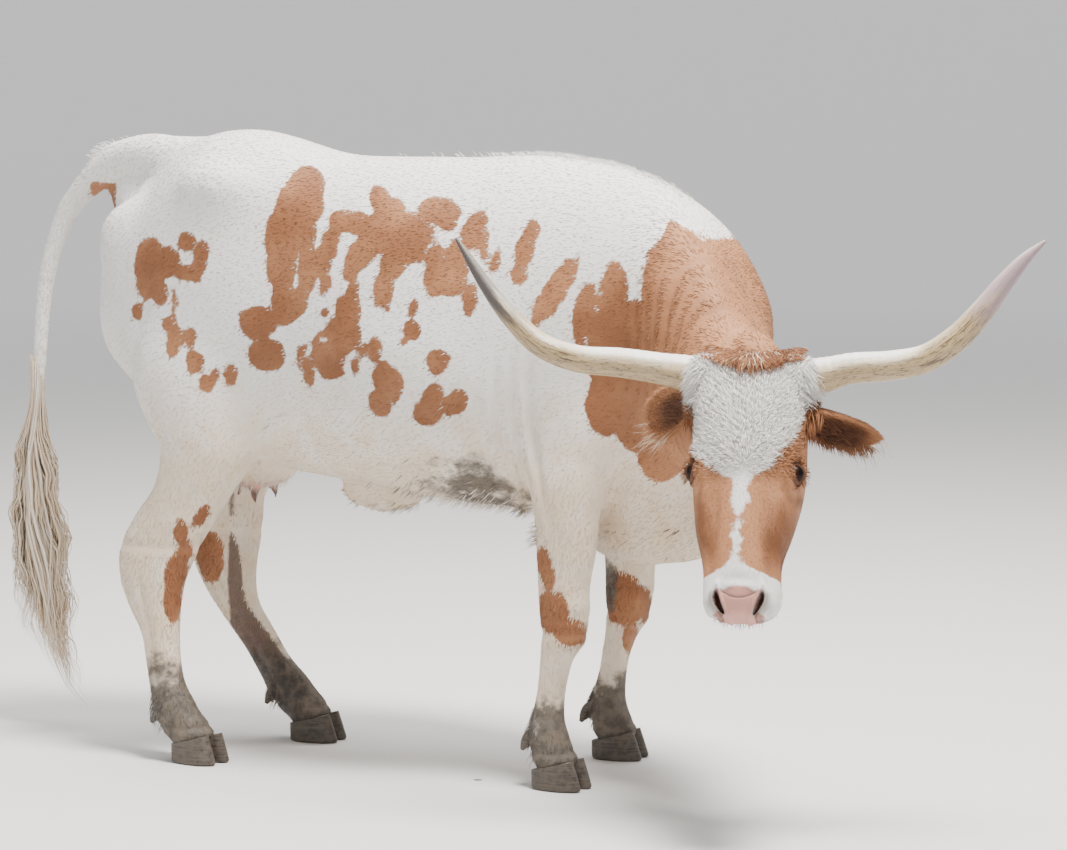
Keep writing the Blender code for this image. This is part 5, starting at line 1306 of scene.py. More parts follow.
def noise(tree, vector, scale, detail=3.0, rough=0.55):
    """Noise of 0 to 1 whose cells are 1 / scale across."""
    sockets = {"Vector": vector, "Scale": scale, "Detail": detail, "Roughness": rough}
    return node(tree, "ShaderNodeTexNoise", sockets).outputs["Fac"]


def stretched(tree, vector, scale):
    """A vector with each axis scaled."""
    return node(tree, "ShaderNodeMapping", {"Vector": vector, "Scale": scale}).outputs[0]


def attribute(tree, name):
    """A number that the mesh carries at its points."""
    return node(tree, "ShaderNodeAttribute", attribute_name=name).outputs["Fac"]


def here(tree):
    """The place on the piece, in metres."""
    return node(tree, "ShaderNodeTexCoord").outputs["Object"]


def new_group(name, outputs):
    """A node group with colour (C) or number (F) outputs."""
    tree = bpy.data.node_groups.new(name, "ShaderNodeTree")
    kinds = {"C": "NodeSocketColor", "F": "NodeSocketFloat"}
    for title, kind in outputs:
        tree.interface.new_socket(title, in_out="OUTPUT", socket_type=kinds[kind])
    return tree, tree.nodes.new("NodeGroupOutput")


def coat_group():
    """Tan or cream over white, then bare pink, dark and mud, all made uneven by noise and tint. The cream,
    dark and tone numbers also carry painted shade and light, and each tuft is painted darker at its root.
    """
    outputs = [("Color", "C"), ("Tan", "F"), ("Pink", "F"), ("Dirt", "F")]
    tree, out = new_group("Coat colours", outputs)
    place_on = here(tree)
    broad, fine = noise(tree, place_on, 7.0, 4.0), noise(tree, place_on, 42.0, 5.0, 0.65)
    mottle, grain = noise(tree, place_on, 17.0, 5.0), noise(tree, place_on, 420.0, 2.0)
    tint, pink = attribute(tree, "tint"), attribute(tree, "pink")
    tone = calc(tree, "SUBTRACT", attribute(tree, "tone"), 0.5)
    tan = step(tree, varied(tree, fine, 0.018, attribute(tree, "mark")), -0.0022, 0.0022)
    deep = varied(tree, tint, 0.55, varied(tree, broad, 2.2, 0.45))
    # The tone deepens the tan where it is painted shade and pales it where it is painted light
    deep = step(tree, scaled(tree, tone, 1.8, deep), 0.0, 1.0)
    # The warm number is painted warm shade low on the body, and the real cream of long hair such as the
    # switch
    cream = step(tree, varied(tree, mottle, 0.9, attribute(tree, "warm")), 0.05, 1.0)
    pale, tan_colour = blend(tree, cream, WHITE, CREAM), blend(tree, deep, TAN_LIGHT, TAN_DEEP)
    colour = blend(tree, tan, pale, tan_colour)
    speckle = calc(tree, "ADD", noise(tree, place_on, 75.0, 4.0, 0.6), tone)
    bare = blend(tree, step(tree, speckle, 0.48, 0.70), PINK, PINK_GREY)
    colour = blend(tree, pink, colour, bare)
    # The dark number brings dark hair and skin, and painted shade on the face and brow
    colour = blend(tree, attribute(tree, "dark"), colour, DARK_BROWN_AND_PAINTED_SHADE)
    mud = varied(tree, fine, 0.7, varied(tree, mottle, 1.1, attribute(tree, "dirt")))
    dirt = times(tree, step(tree, mud, 0.44, 0.80), 0.93)
    mud_colour = blend(tree, step(tree, fine, 0.35, 0.65), MUD_DARK, MUD_PALE)
    colour = blend(tree, dirt, colour, mud_colour)
    # Painted shade: each tuft and strand darker towards its root and paler towards its tip; its tint and a
    # fine grain vary it too
    light = varied(tree, attribute(tree, "tip"), 0.22, varied(tree, tint, 0.14, 0.96))
    light = varied(tree, grain, 0.16, light)
    grey = node(tree, "ShaderNodeCombineColor", {0: light, 1: light, 2: light}).outputs[0]
    colour = blend(tree, 1.0, colour, grey, "MULTIPLY")
    for (title, _), value in zip(outputs, (colour, tan, pink, dirt)):
        tree.links.new(value, out.inputs[title])
    return tree


def new_material(name, **values):
    """A material, its node tree and its shader, with the shader's plain values set."""
    made = bpy.data.materials.new(name)
    made.use_nodes = True
    shader = made.node_tree.nodes["Principled BSDF"]
    for key, value in values.items():
        shader.inputs[key.replace("_", " ")].default_value = value
    return made, made.node_tree, shader


def wire(tree, shader, colour, rough=None, height=None, distance=0.0016, strength=0.6):
    """A material's colour, roughness and bump joined to its shader."""
    tree.links.new(colour, shader.inputs["Base Color"])
    if rough is not None:
        tree.links.new(rough, shader.inputs["Roughness"])
    if height is not None:
        sockets = {"Height": height, "Distance": distance, "Strength": strength}
        tree.links.new(node(tree, "ShaderNodeBump", sockets).outputs[0], shader.inputs["Normal"])


COAT_COLOURS = coat_group()


def coat_material():
    """The shared colours; hair is rougher where it is muddy."""
    made, tree, shader = new_material("coat", Roughness=0.62, Sheen_Weight=0.05,
                                      Sheen_Roughness=0.4, Specular_IOR_Level=0.22)
    colours = node(tree, "ShaderNodeGroup", node_tree=COAT_COLOURS).outputs
    wire(tree, shader, colours["Color"], scaled(tree, colours["Dirt"], 0.22, 0.60))
    return made


def skin_material():
    """The coat's colours, with combed hair and creased bare skin as bump."""
    made, tree, shader = new_material("skin", Roughness=0.66, Specular_IOR_Level=0.35)
    colours = node(tree, "ShaderNodeGroup", node_tree=COAT_COLOURS).outputs
    place_on, pink = here(tree), colours["Pink"]
    hair = noise(tree, stretched(tree, place_on, (90.0, 420.0, 260.0)), 1.0, 3.0)
    pores = node(tree, "ShaderNodeTexVoronoi", {"Vector": place_on, "Scale": 330.0})
    height = blend_value(tree, pink, hair, pores.outputs["Distance"])
    wire(tree, shader, colours["Color"], scaled(tree, pink, -0.26, 0.66), height, 0.0012, 0.55)
    return made


COAT, SKIN = coat_material(), skin_material()
NUMBERS = ("mark", "dirt", "warm", "pink", "dark", "tint", "tip", "tone")


def write_float(piece, name, values):
    """One number at each of the piece's points, under a name that its shader reads."""
    layer = piece.data.attributes.new(name, "FLOAT", "POINT")
    layer.data.foreach_set("value", np.asarray(values, np.float32))


def write_numbers(piece, values):
    """All the numbers that the shared group reads; one that isn't given is 0.5."""
    count = len(piece.data.vertices)
    for name in NUMBERS:
        write_float(piece, name, np.broadcast_to(values.get(name, 0.5), count))


def body_numbers(points):
    """The numbers of places on the skin, by where they are."""
    return {"mark": tan_depth(points), "dirt": dirt_depth(points), "warm": painted_low_shade(points),
            "pink": pink_depth(points), "dark": dark_and_painted_shade(points), "tone": tone_with_painted_light(points)}


def show(piece, material, *replaced):
    """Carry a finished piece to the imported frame, give it its material and tie it to the body."""
    piece.data.transform(Matrix.Translation(Vector(SHIFT)))
    piece.data.materials.clear()
    piece.data.materials.append(material)
    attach(piece, "root")
    if replaced:
        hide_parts(*replaced)
    return piece


# %% Number the skin's points, ears apart
EAR_LOW = {side: -1 if ear_frame(side)[3][1] < 0 else 1 for side in (-1, 1)}


def ear_start(side, total):
    """Where an ear's points begin: the ears were joined on last, the right one first."""
    return total - EAR_POINTS * (2 if side < 0 else 1)


def ear_share(points):
    """Which points are on an ear, and how dark they are, by their column and ring in its grid."""
    inside = np.zeros(len(points))
    on_ear = np.zeros(len(points), bool)
    half = EAR_AROUND // 2
    for side in WORDS:
        start = ear_start(side, len(points))
        column = np.tile(np.arange(EAR_AROUND), EAR_RINGS)
        t = np.where(column < half, column, 2 * half - 1 - column) * 2 / (half - 1) - 1
        t = t * EAR_LOW[side]
        s = np.repeat(np.linspace(0, 1, EAR_RINGS), EAR_AROUND)
        cup = (column >= half) * 1.0
        if side < 0:
            deep = cup * (1 - ramp(np.abs(t), 0.35, 0.92))
            deep = deep * (1 - ramp(s, 0.50, 0.90)) * ramp(s, -0.1, 0.25)
        else:
            deep = cup * ramp(t, -0.55, 0.10) + (1 - cup) * 0.9 * ramp(t, 0.30, 0.80)
            deep = deep * (1 - ramp(s, 0.66, 0.97))
        inside[start:start + EAR_GRID] = deep
        on_ear[start:start + EAR_POINTS] = True
    return on_ear, inside


def brow_share(points):
    """1 on the curly hair of the brow."""
    _, down, out = head_coordinates(points)
    return (1 - ramp(down, 0.21, 0.27)) * (out > -0.05) * head_weight(points)


skin_points = places(skin)
skin_normals = normals(skin)
numbers = body_numbers(skin_points)
on_ear, ear_inside = ear_share(skin_points)
numbers["mark"] = np.where(on_ear, 0.05, numbers["mark"])
# Painted shade: the skin under the brow's curls is darker, for the shade between them
dark = np.maximum(numbers["dark"], 0.42 * brow_share(skin_points))
numbers["dark"] = np.where(on_ear, 0.92 * ear_inside, dark)
numbers["pink"] = np.where(on_ear, 0.0, numbers["pink"])
write_numbers(skin, numbers)
skin_faces = [tuple(p.vertices) for p in skin.data.polygons]
skin_tree = tree_of(skin)
FLESH = ("head", "neck", "fore", "hind", "barrel", "tail", "ear")
flesh = [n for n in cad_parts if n.startswith(FLESH) and n != "tail_switch"]
show(skin, SKIN, *flesh)
print("flesh nodes under the skin:", len(flesh))

# %% [markdown]
# ## The coat
#
# A tuft is a closed three-sided blade with one bend: a triangle at its root, a second one half
# way, and a tip. All tufts are made at once as arrays. Their roots are drawn at random over
# the skin's faces, more to the square metre where hair is short and fine. Each takes its
# colour from its root, so the edges of the patches are ragged as in real hair.

# %% Blades as arrays
BLADE_QUADS = np.array([(0, 1, 4, 3), (1, 2, 5, 4), (2, 0, 3, 5)])
BLADE_TRIS = np.array([(0, 2, 1), (3, 4, 6), (4, 5, 6), (5, 3, 6)])
BLADE_TIPS = np.array([0, 0, 0, 0.55, 0.55, 0.55, 1.0])
PATCH = 0.0015
IN_TAN, IN_WHITE = 0.05, -0.05
BLADE_PATCH = np.array([(-1, -1), (1, -1), (0, -1), (-0.8, 0), (0.8, 0), (0, 0.2), (0, 1)]) * PATCH


def blades(root, normal, lie, length, width, lift, sideways, ridge=0.30):
    """Points of closed blades: root triangle, middle triangle at half the length, tip. A blade
    rises by length * tan(lift), and its ridge stands up by a share of its width."""
    side = np.cross(lie, normal)
    length, width = length[:, None], width[:, None]
    rise = length * np.tan(lift)[:, None]
    sway = side * sideways[:, None] * length
    middle = root + lie * length * 0.5 + normal * rise * 0.62 + sway * 0.35
    tip = root + lie * length + normal * rise + sway
    base = root - normal * 0.0012
    thick = normal * width * np.broadcast_to(ridge, len(root))[:, None]
    half = side * width * 0.5
    thin = half * 0.85
    return np.stack([base - half, base + half, base + thick,
                     middle - thin, middle + thin, middle + thick, tip], axis=1)


def many(name, points, quads, tris, numbers, tip, maps, patch):
    """One mesh of n copies of a little pattern: points is n x k x 3, faces given for one copy.
    Numbers given one to a copy are spread over its points; tip is given for one copy's points."""
    n, k = points.shape[:2]
    offset = (np.arange(n) * k)[:, None, None]
    faces = [(grid[None] + offset).reshape(-1, grid.shape[1]) for grid in (quads, tris)]
    piece = mesh_piece(name, points.reshape(-1, 3), faces)
    spread = {key: np.repeat(v, k) if np.size(v) == n else v for key, v in numbers.items()}
    write_numbers(piece, {**spread, "tip": np.tile(tip, n)})
    uv = piece.data.uv_layers.new(name="OFBake")
    corner = np.concatenate([f.ravel() for f in faces])
    spots = (maps[:, None] + patch[None]).reshape(-1, 2)
    uv.data.foreach_set("uv", spots[corner].astype(np.float32).ravel())
    return piece


def triangles_of(faces):
    """Every face of three or four corners as triangles."""
    four = np.array([f for f in faces if len(f) == 4]).reshape(-1, 4)
    three = np.array([f for f in faces if len(f) == 3]).reshape(-1, 3)
    return np.concatenate([four[:, [0, 1, 2]], four[:, [0, 2, 3]], three])


def scattered(points, normal, triangles, weight, count):
    """count places on triangles, one to each equal share of area times weight."""
    a, b, c = (points[triangles[:, k]] for k in range(3))
    area = np.linalg.norm(np.cross(b - a, c - a), axis=1) * weight
    total = np.cumsum(area)
    pick = (np.arange(count) + RNG.random(count)) / count * total[-1]
    face = np.minimum(np.searchsorted(total, pick), len(total) - 1)
    u, v = RNG.random((2, count))
    flip = u + v > 1
    u, v = np.where(flip, 1 - u, u)[:, None], np.where(flip, 1 - v, v)[:, None]
    spot = a[face] + (b - a)[face] * u + (c - a)[face] * v
    n0, n1, n2 = (normal[triangles[face, k]] for k in range(3))
    return spot, unit(n0 + (n1 - n0) * u + (n2 - n0) * v)


def limb_share(points):
    """1 on the legs, 0 on the trunk."""
    return ramp(-leg_distance(points), -0.15, -0.10) * (1 - ramp(points[:, 2], 0.45, 0.75))


def coat_weight(points):
    """Tufts wanted to the square metre, in thousands."""
    x, _, z = points.T
    head, limbs = head_weight(points), limb_share(points)
    weight = 15 + 8 * ramp(x, 0.10, 0.30)
    weight = weight * (1 - limbs) + 30 * limbs
    weight = np.where(x < TAIL_BEHIND, 24, weight)
    left, down, out = head_coordinates(points)
    brow = (1 - ramp(down, 0.22, 0.27)) * (out > -0.05)
    weight = weight * (1 - head) + (62 + 75 * brow) * head
    weight = np.where((head > 0.5) & (np.abs(left) > 0.135), 0, weight)
    lids = (eye_distance(points) < 0.0275) * (head > 0.5)
    bare = np.maximum.reduce([pink_depth(points), lids, nostril_depth(points)])
    lip = (head > 0.5) * ramp(down, 0.496, 0.504) * (np.abs(left) < 0.075)
    return weight * (1 - bare) * ramp(z, 0.040, 0.052) * (1 - lip)


def coat_sizes(points):
    """Length, width and lift of the tufts by place, and how far they are on the brow."""
    x, _, z = points.T
    head, limbs, brow = head_weight(points), limb_share(points), brow_share(points)
    _, down, _ = head_coordinates(points)
    length = 0.0135 + 0.002 * ramp(x, 0.12, 0.3)
    length = length + 0.012 * bump_at(z, 0.50, 0.06) * (x < 0.1) * (x > -0.7)
    length = length * (1 - limbs) + limbs * (0.010 + 0.005 * ramp(z, 0.08, 0.4))
    length = np.where(x < TAIL_BEHIND, 0.015, length)
    face = 0.0060 + 0.0058 * brow - 0.0022 * ramp(down, 0.40, 0.48)
    length = length * (1 - head) + face * head
    width = length * (0.17 - 0.02 * head)
    lift = 0.026 + 0.012 * ramp(x, 0.1, 0.3)
    lift = lift * (1 - head) + head * (0.10 + 0.22 * brow)
    return length, width, lift, brow


TUFTS = 103000
TUFTS_A_PIECE = 19000
all_triangles = triangles_of(skin_faces)
off_ears = all_triangles < ear_start(-1, len(skin_points))
triangles = all_triangles[off_ears.all(axis=1)]
weight = coat_weight(skin_points)[triangles].mean(axis=1)
root, out_of = scattered(skin_points, skin_normals, triangles, weight, TUFTS)
lie = lie_of_coat(root, out_of)
length, width, lift, curly = coat_sizes(root)
count = len(root)
wave = 0.12 * np.sin(31 * root[:, 0] + 17 * root[:, 2]) * np.sin(23 * root[:, 1] + 9 * root[:, 2])
swing = wave + RNG.normal(0, 0.09, count) + curly * 0.30 * np.sin(root @ (310.0, 170.0, 420.0))
across = np.cross(out_of, lie)
lie = unit(lie * np.cos(swing)[:, None] + across * np.sin(swing)[:, None])
length = length * RNG.uniform(0.75, 1.25, count)
lift = lift * RNG.uniform(0.5, 1.5, count)
width = width * RNG.uniform(0.8, 1.2, count)
sideways = RNG.normal(0, 0.10, count) + curly * RNG.choice([-0.3, 0.3], count)
shape = blades(root, out_of, lie, length, width, lift, sideways, 0.13 + 0.17 * curly)
numbers = body_numbers(root)
numbers["mark"] = numbers["mark"] + RNG.normal(0, 0.0016, count) * np.minimum(1, length / 0.015)
numbers["tint"] = RNG.random(count)
numbers["pink"] = np.zeros(count)
# Painted shade: about a quarter of the brow's tufts darker, for the shade between the curls
numbers["dark"] = np.maximum(numbers["dark"], 0.44 * curly * (RNG.random(count) < 0.24))
maps = map_places(root)
order = np.argsort(root[:, 0])
for number, chosen in enumerate(np.array_split(order, math.ceil(count / TUFTS_A_PIECE))):
    own = {key: value[chosen] for key, value in numbers.items()}
    show(many(f"coat_{number + 1}", shape[chosen], BLADE_QUADS, BLADE_TRIS, own, BLADE_TIPS,
              maps[chosen], BLADE_PATCH), COAT)
print("tufts", count)


def ear_coat(side):
    """Short hair on both faces of an ear, along it, dark within the cup."""
    count = 3600
    first = ear_start(side, len(skin_points))
    on_this = (all_triangles >= first) & (all_triangles < first + EAR_GRID)
    chosen = all_triangles[on_this.all(axis=1)]
    root, out_of = scattered(skin_points, skin_normals, chosen, np.ones(len(chosen)), count)
    lie = head_directions(ear_frame(side)[1]) + RNG.normal(0, 0.22, (count, 3))
    lie = unit(lie - out_of * np.sum(lie * out_of, axis=1, keepdims=True))
    nearest = [skin_tree.find_nearest(Vector(p))[2] for p in root]
    dark = np.array([ear_inside[list(skin_faces[k])].mean() for k in nearest])
    length = RNG.uniform(0.006, 0.010, count) + 0.008 * dark
    lift = RNG.uniform(0.05, 0.3, count) + 0.35 * dark
    shape = blades(root, out_of, lie, length, length * 0.15, lift, RNG.normal(0, 0.15, count))
    own = {"mark": IN_TAN, "dirt": 0.0, "warm": 0.4, "pink": 0.0,
           "dark": 0.85 * dark * RNG.uniform(0.75, 1.1, count), "tint": RNG.random(count)}
    show(many(f"ear_coat_{WORDS[side]}", shape, BLADE_QUADS, BLADE_TRIS, own, BLADE_TIPS,
              map_places(root), BLADE_PATCH), COAT)


for side in WORDS:
    ear_coat(side)

# %% [markdown]
# ## Long hair
#
# Where the hair is longer than a finger it is made in strands: flat ribbons with four sides,
# thin at both ends, that bend at every step. The tail's switch hangs in wavy locks, the tuft on
# the poll fans forward over the brow, and both ears carry a fringe. All strands of one kind are
# an array of paths, turned into a mesh at once.

# %% Strands as arrays
def strands(name, paths, facing, width, thick, numbers, roots=None):
    """Ribbons along n paths of k places: four points round each place but the last, then a tip."""
    n, k = paths.shape[:2]
    along = unit(np.gradient(paths, axis=1))
    facing = np.broadcast_to(facing, (n, 3))[:, None]
    side = unit(np.cross(along, np.broadcast_to(facing, along.shape)))
    rise = np.cross(side, along)
    s = np.linspace(0, 1, k)
    taper = (0.55 + 0.45 * ramp(s, 0.0, 0.25)) * (1 - 0.92 * ramp(s, 0.45, 1.0))
    half = 0.5 * taper[None, :, None]
    across = side * (np.broadcast_to(width, n)[:, None, None] * half)
    above = rise * (np.broadcast_to(thick, n)[:, None, None] * half)
    rings = np.stack([paths - across, paths + above, paths + across, paths - above], axis=2)[:, :-1]
    points = np.concatenate([rings.reshape(n, -1, 3), paths[:, -1:]], axis=1)
    quads = ring_faces(k - 1, 4)
    last, base = (k - 1) * 4, (k - 2) * 4
    tips = np.array([(base + j, base + (j + 1) % 4, last) for j in range(4)])
    quads = np.concatenate([quads, [(3, 2, 1, 0)]])
    tip = np.concatenate([np.repeat(s[:-1], 4), [1.0]])
    spread = np.concatenate([np.tile([-1, 0, 1, 0], k - 1), [0]])
    patch = np.stack([spread, 2 * tip - 1], axis=1) * PATCH
    maps = map_places(paths[:, 0] if roots is None else roots)
    return outwards(many(name, points, quads, tips, numbers, tip, maps, patch))


def hair_numbers(count, mark, warm=0.1, dirt=0.0, dark=0.0):
    """The numbers of strands that take their colour from what they are, each with its own tint."""
    return {"mark": mark, "dirt": dirt, "warm": warm, "pink": 0.0, "dark": dark,
            "tint": RNG.random(count)}


# %% The tail's switch
SWITCH = [
    (-1.366, -0.020, 0.7597, 0.018), (-1.371, -0.020, 0.690, 0.030), (-1.374, -0.020, 0.620, 0.039),
    (-1.372, -0.020, 0.550, 0.048), (-1.367, -0.020, 0.470, 0.057), (-1.362, -0.020, 0.380, 0.061),
    (-1.356, -0.020, 0.290, 0.063), (-1.350, -0.020, 0.215, 0.060), (-1.325, -0.020, 0.150, 0.048),
    (-1.290, -0.020, 0.092, 0.034), (-1.255, -0.020, 0.052, 0.020), (-1.226, -0.020, 0.024, 0.006),
]
SWITCH_STRANDS, SWITCH_STEPS, SWITCH_LOCKS = 620, 22, 26


def switch_at(height):
    """The switch's middle, x and y, and its radius at a height."""
    rows = np.array(SWITCH)[::-1]
    return [np.interp(height, rows[:, 2], rows[:, k]) for k in (0, 1, 3)]


def switch_paths():
    """Strands that leave the bone at all heights, keep their place and wave with their lock."""
    n = SWITCH_STRANDS
    s = np.linspace(0, 1, SWITCH_STEPS)[None]
    lock = RNG.integers(0, SWITCH_LOCKS, n)
    lock_turn = RNG.uniform(0, 2 * np.pi, SWITCH_LOCKS)[lock]
    lock_out = np.sqrt(RNG.uniform(0.05, 1, SWITCH_LOCKS))[lock]
    turn = (lock_turn + RNG.normal(0, 0.30, n))[:, None]
    out = np.clip(lock_out + RNG.normal(0, 0.16, n), 0.02, 1.05)[:, None]
    top = (0.85 - 0.38 * RNG.random(n) ** 1.4)[:, None]
    ends = RNG.uniform(0.02, 0.26, SWITCH_LOCKS)[lock] + RNG.uniform(-0.03, 0.12, n)
    left = 0.5 - 0.5 * np.cos(turn[:, 0])
    ends = np.clip(np.maximum(ends, 0.10 * left + 0.15 * out[:, 0] * left), 0.026, 0.4)
    ends = np.minimum(ends, top[:, 0] - 0.14)[:, None]
    height = top + (ends - top) * s
    x, y, spread = switch_at(height)
    bone = np.interp(height, [0.45, 0.75, 0.9], [0.008, 0.015, 0.017])
    open_out = ramp(s, 0.0, 0.35)
    reach = bone * (1 - open_out) + open_out * np.maximum(spread * out, 0.002)
    phase = lock.astype(float)[:, None] * 1.7
    shake = 0.0035 * np.sin(90 * height + 2.3 * phase + RNG.random((n, 1)) * 2)
    wave = 0.007 * np.sin(38 * height + phase) + shake
    wave = wave * ramp(s, 0.1, 0.4) * ramp(-height, -0.78, -0.60)
    swirl = turn + 0.35 * np.sin(9 * height + phase)
    px = x + reach * np.cos(swirl) + wave * np.cos(turn)
    py = y + reach * np.sin(swirl) + wave * np.sin(turn + 0.8)
    facing = np.stack([np.cos(turn[:, 0]), np.sin(turn[:, 0]), 0 * left], axis=1)
    return np.stack([px, py, height], axis=2), facing


paths, facing = switch_paths()
n = len(paths)
numbers = hair_numbers(n, IN_WHITE, warm=np.clip(RNG.normal(0.85, 0.15, n), 0.4, 1.1))
heights = paths[:, :, 2]
dirt = np.repeat(0.42 * ramp(-heights[:, :-1], -0.20, -0.03), 4, axis=1)
numbers["dirt"] = np.concatenate([dirt, np.full((n, 1), 0.4)], axis=1).ravel()
numbers["tint"] = np.clip(0.5 + RNG.normal(0, 0.38, n), 0, 1)
width, thick = RNG.uniform(0.0030, 0.0075, n), RNG.uniform(0.0012, 0.0020, n)
roots = np.tile([-1.366, -0.02, 0.70], (n, 1)) + RNG.normal(0, 0.02, (n, 3))
switch = strands("tail_switch_hair", paths, facing, width, thick, numbers, roots)
show(switch, COAT, "tail_switch")
print("switch strands", n)

# %% [markdown]
# The poll's tuft rises from behind the brow and falls forward over it. Each strand is laid by
# asking where the skin is under every step, so it follows the skull at the height given.

# %% Poll tuft, ear fringes, withers, belly and tail base
POLL_STRANDS = 1500
POLL_TUFTS = 54
POLL_HEIGHTS = np.array([-0.004, 0.009, 0.0140, 0.0150, 0.0120, 0.0050])


def over_skull(left, down, height):
    """Places at a height over the face, found by lines dropped on to it along its own out axis."""
    start = np.stack([left, np.maximum(down, 0.004), np.full(left.shape, 0.30)], axis=-1)
    start = head_places(start)
    toward = Vector(-AXES[:, 2])
    flat = start.reshape(-1, 3)
    hits = [skin_tree.ray_cast(Vector(p), toward)[0] for p in flat]
    ground = np.array([h if h is not None else p for h, p in zip(hits, flat)]).reshape(start.shape)
    behind = np.minimum(0, down - 0.004)[..., None]
    return ground + AXES[:, 2] * height[..., None] + AXES[:, 1] * behind + AXES[:, 2] * behind * 0.9


def poll_paths():
    """Strands of a strip along the poll that fan out from its middle, drawn together in locks."""
    n = POLL_STRANDS
    lock = RNG.integers(0, POLL_TUFTS, n)
    lock_t = np.linspace(-1, 1, POLL_TUFTS) + RNG.normal(0, 0.03, POLL_TUFTS)
    lock_fan = 1.40 * lock_t + RNG.normal(0, 0.16, POLL_TUFTS)
    lock_long = (0.015 + 0.037 * bump_at(lock_t, 0.05, 0.50)) * RNG.uniform(0.75, 1.15, POLL_TUFTS)
    lock_high = RNG.uniform(0.6, 1.15, POLL_TUFTS)
    t = lock_t[lock] + RNG.normal(0, 0.045, n)
    start = -0.032 + 0.040 * RNG.random(n) - 0.004 * np.abs(t)
    length = lock_long[lock] * RNG.uniform(0.70, 1.12, n)
    fan = lock_fan[lock] + RNG.normal(0, 0.10, n)
    s = np.linspace(0, 1, len(POLL_HEIGHTS))[None]
    along = length[:, None] * s
    curl = 0.0018 * np.sin(7 * s + RNG.uniform(0, 6, (n, 1)))
    drawn = 0.55 * s**1.5
    middle = 0.092 * (t[:, None] * (1 - drawn) + lock_t[lock][:, None] * drawn)
    left = np.clip(middle + along * np.sin(fan)[:, None] + curl, -0.112, 0.112)
    down = start[:, None] + along * np.cos(fan)[:, None]
    tall = lock_high[lock] * (0.40 + 0.60 * bump_at(t, 0.05, 0.75))
    height = POLL_HEIGHTS[None] * tall[:, None]
    return over_skull(left, down, height), t, lock


paths, t, lock = poll_paths()
n = len(paths)
pale = RNG.random(n) < 0.03 + 0.22 * bump_at(t, 0.05, 0.13)
lock_tone = RNG.uniform(0.35, 0.85, POLL_TUFTS)
numbers = hair_numbers(n, np.where(pale, IN_WHITE, IN_TAN), warm=0.9)
numbers["tone"] = lock_tone[lock] + RNG.normal(0, 0.10, n)
numbers["dark"] = np.clip(RNG.normal(0.06, 0.10, n), 0, 0.4) * ~pale
width = RNG.uniform(0.0010, 0.0020, n)
show(strands("poll_tuft", paths, AXES[:, 2], width, 0.0010, numbers), COAT)


def fringe_paths(side, count, low, high, edge, hang, length, lift):
    """Strands from near an edge of an ear, leaving along the ear's surface and then hanging."""
    s = RNG.uniform(low, high, count)
    t = edge * RNG.uniform(0.72, 0.99, count)
    depth = RNG.uniform(0.2, 0.95, count)
    root = ear_places(side, s, t, depth)
    ahead = ear_places(side, s + 0.03, np.sign(t) * 1.0, depth)
    leave = unit(ahead - root)
    steps = np.linspace(0, 1, 6)[None, :, None]
    size = (length * RNG.uniform(0.5, 1.3, count))[:, None, None]
    drop = unit(np.asarray(hang) + RNG.normal(0, 0.22, (count, 3)))[:, None]
    way = leave[:, None] * steps * (1 - 0.5 * steps) + drop * steps**2 * 0.75
    path = root[:, None] + size * way
    return path + unit(RNG.normal(0, 1, (count, 1, 3))) * lift * np.sin(steps * 5)


# side, count, from and to along the ear, edge, way it hangs as a share of the ear's axis and
# up, length, wave, patch, cream, dark
FRINGES = [
    (-1, 420, 0.02, 0.95, 1, 0.9, -0.5, 0.028, 0.002, IN_TAN, 0.35, 0.1),
    (-1, 46, 0.45, 0.98, 1, 1.3, -0.30, 0.060, 0.003, -0.002, 0.9, 0.0),
    (-1, 760, 0.10, 0.98, -1, 0.8, 0.25, 0.020, 0.002, IN_TAN, 0.5, 0.0),
    (-1, 420, 0.45, 0.99, 0.9, 1.0, -0.1, 0.022, 0.002, IN_TAN, 0.5, 0.0),
    (1, 620, 0.02, 0.90, 1, 0.35, -1.0, 0.026, 0.002, IN_TAN, 0.2, 0.50),
    (1, 30, 0.74, 0.99, 1, 0.1, -1.0, 0.056, 0.004, -0.002, 0.9, 0.1),
    (1, 240, 0.10, 0.99, -1, 0.9, -0.1, 0.012, 0.002, IN_TAN, 0.2, 0.0),
]
for number, fringe in enumerate(FRINGES):
    side, count, low, high, edge, ahead, up, length, lift, mark, warm, dark = fringe
    hang = unit(head_directions(np.array(EAR_POSES[side][1])) * ahead + (0, 0, up))
    paths = fringe_paths(side, count, low, high, edge * EAR_LOW[side], hang, length, lift)
    numbers = hair_numbers(count, mark, warm=warm, dark=dark)
    numbers["tone"] = RNG.uniform(0.1, 0.5, count)
    width = RNG.uniform(0.0012, 0.0022, count) * (0.6 if mark < 0 else 1.0)
    mouth = head_directions(ear_frame(side)[2])
    show(strands(f"ear_fringe_{number + 1}", paths, mouth, width, 0.0009, numbers), COAT)
print("fringes", len(FRINGES))


def grown_paths(root, direction, fall, length, steps=7):
    """Strands that leave the skin in one direction and bend over into another."""
    s = np.linspace(0, 1, steps)[None, :, None]
    size = length[:, None, None]
    way = direction[:, None] * (1 - 0.5 * s) + fall[:, None] * 0.6 * s
    return root[:, None] + size * s * way


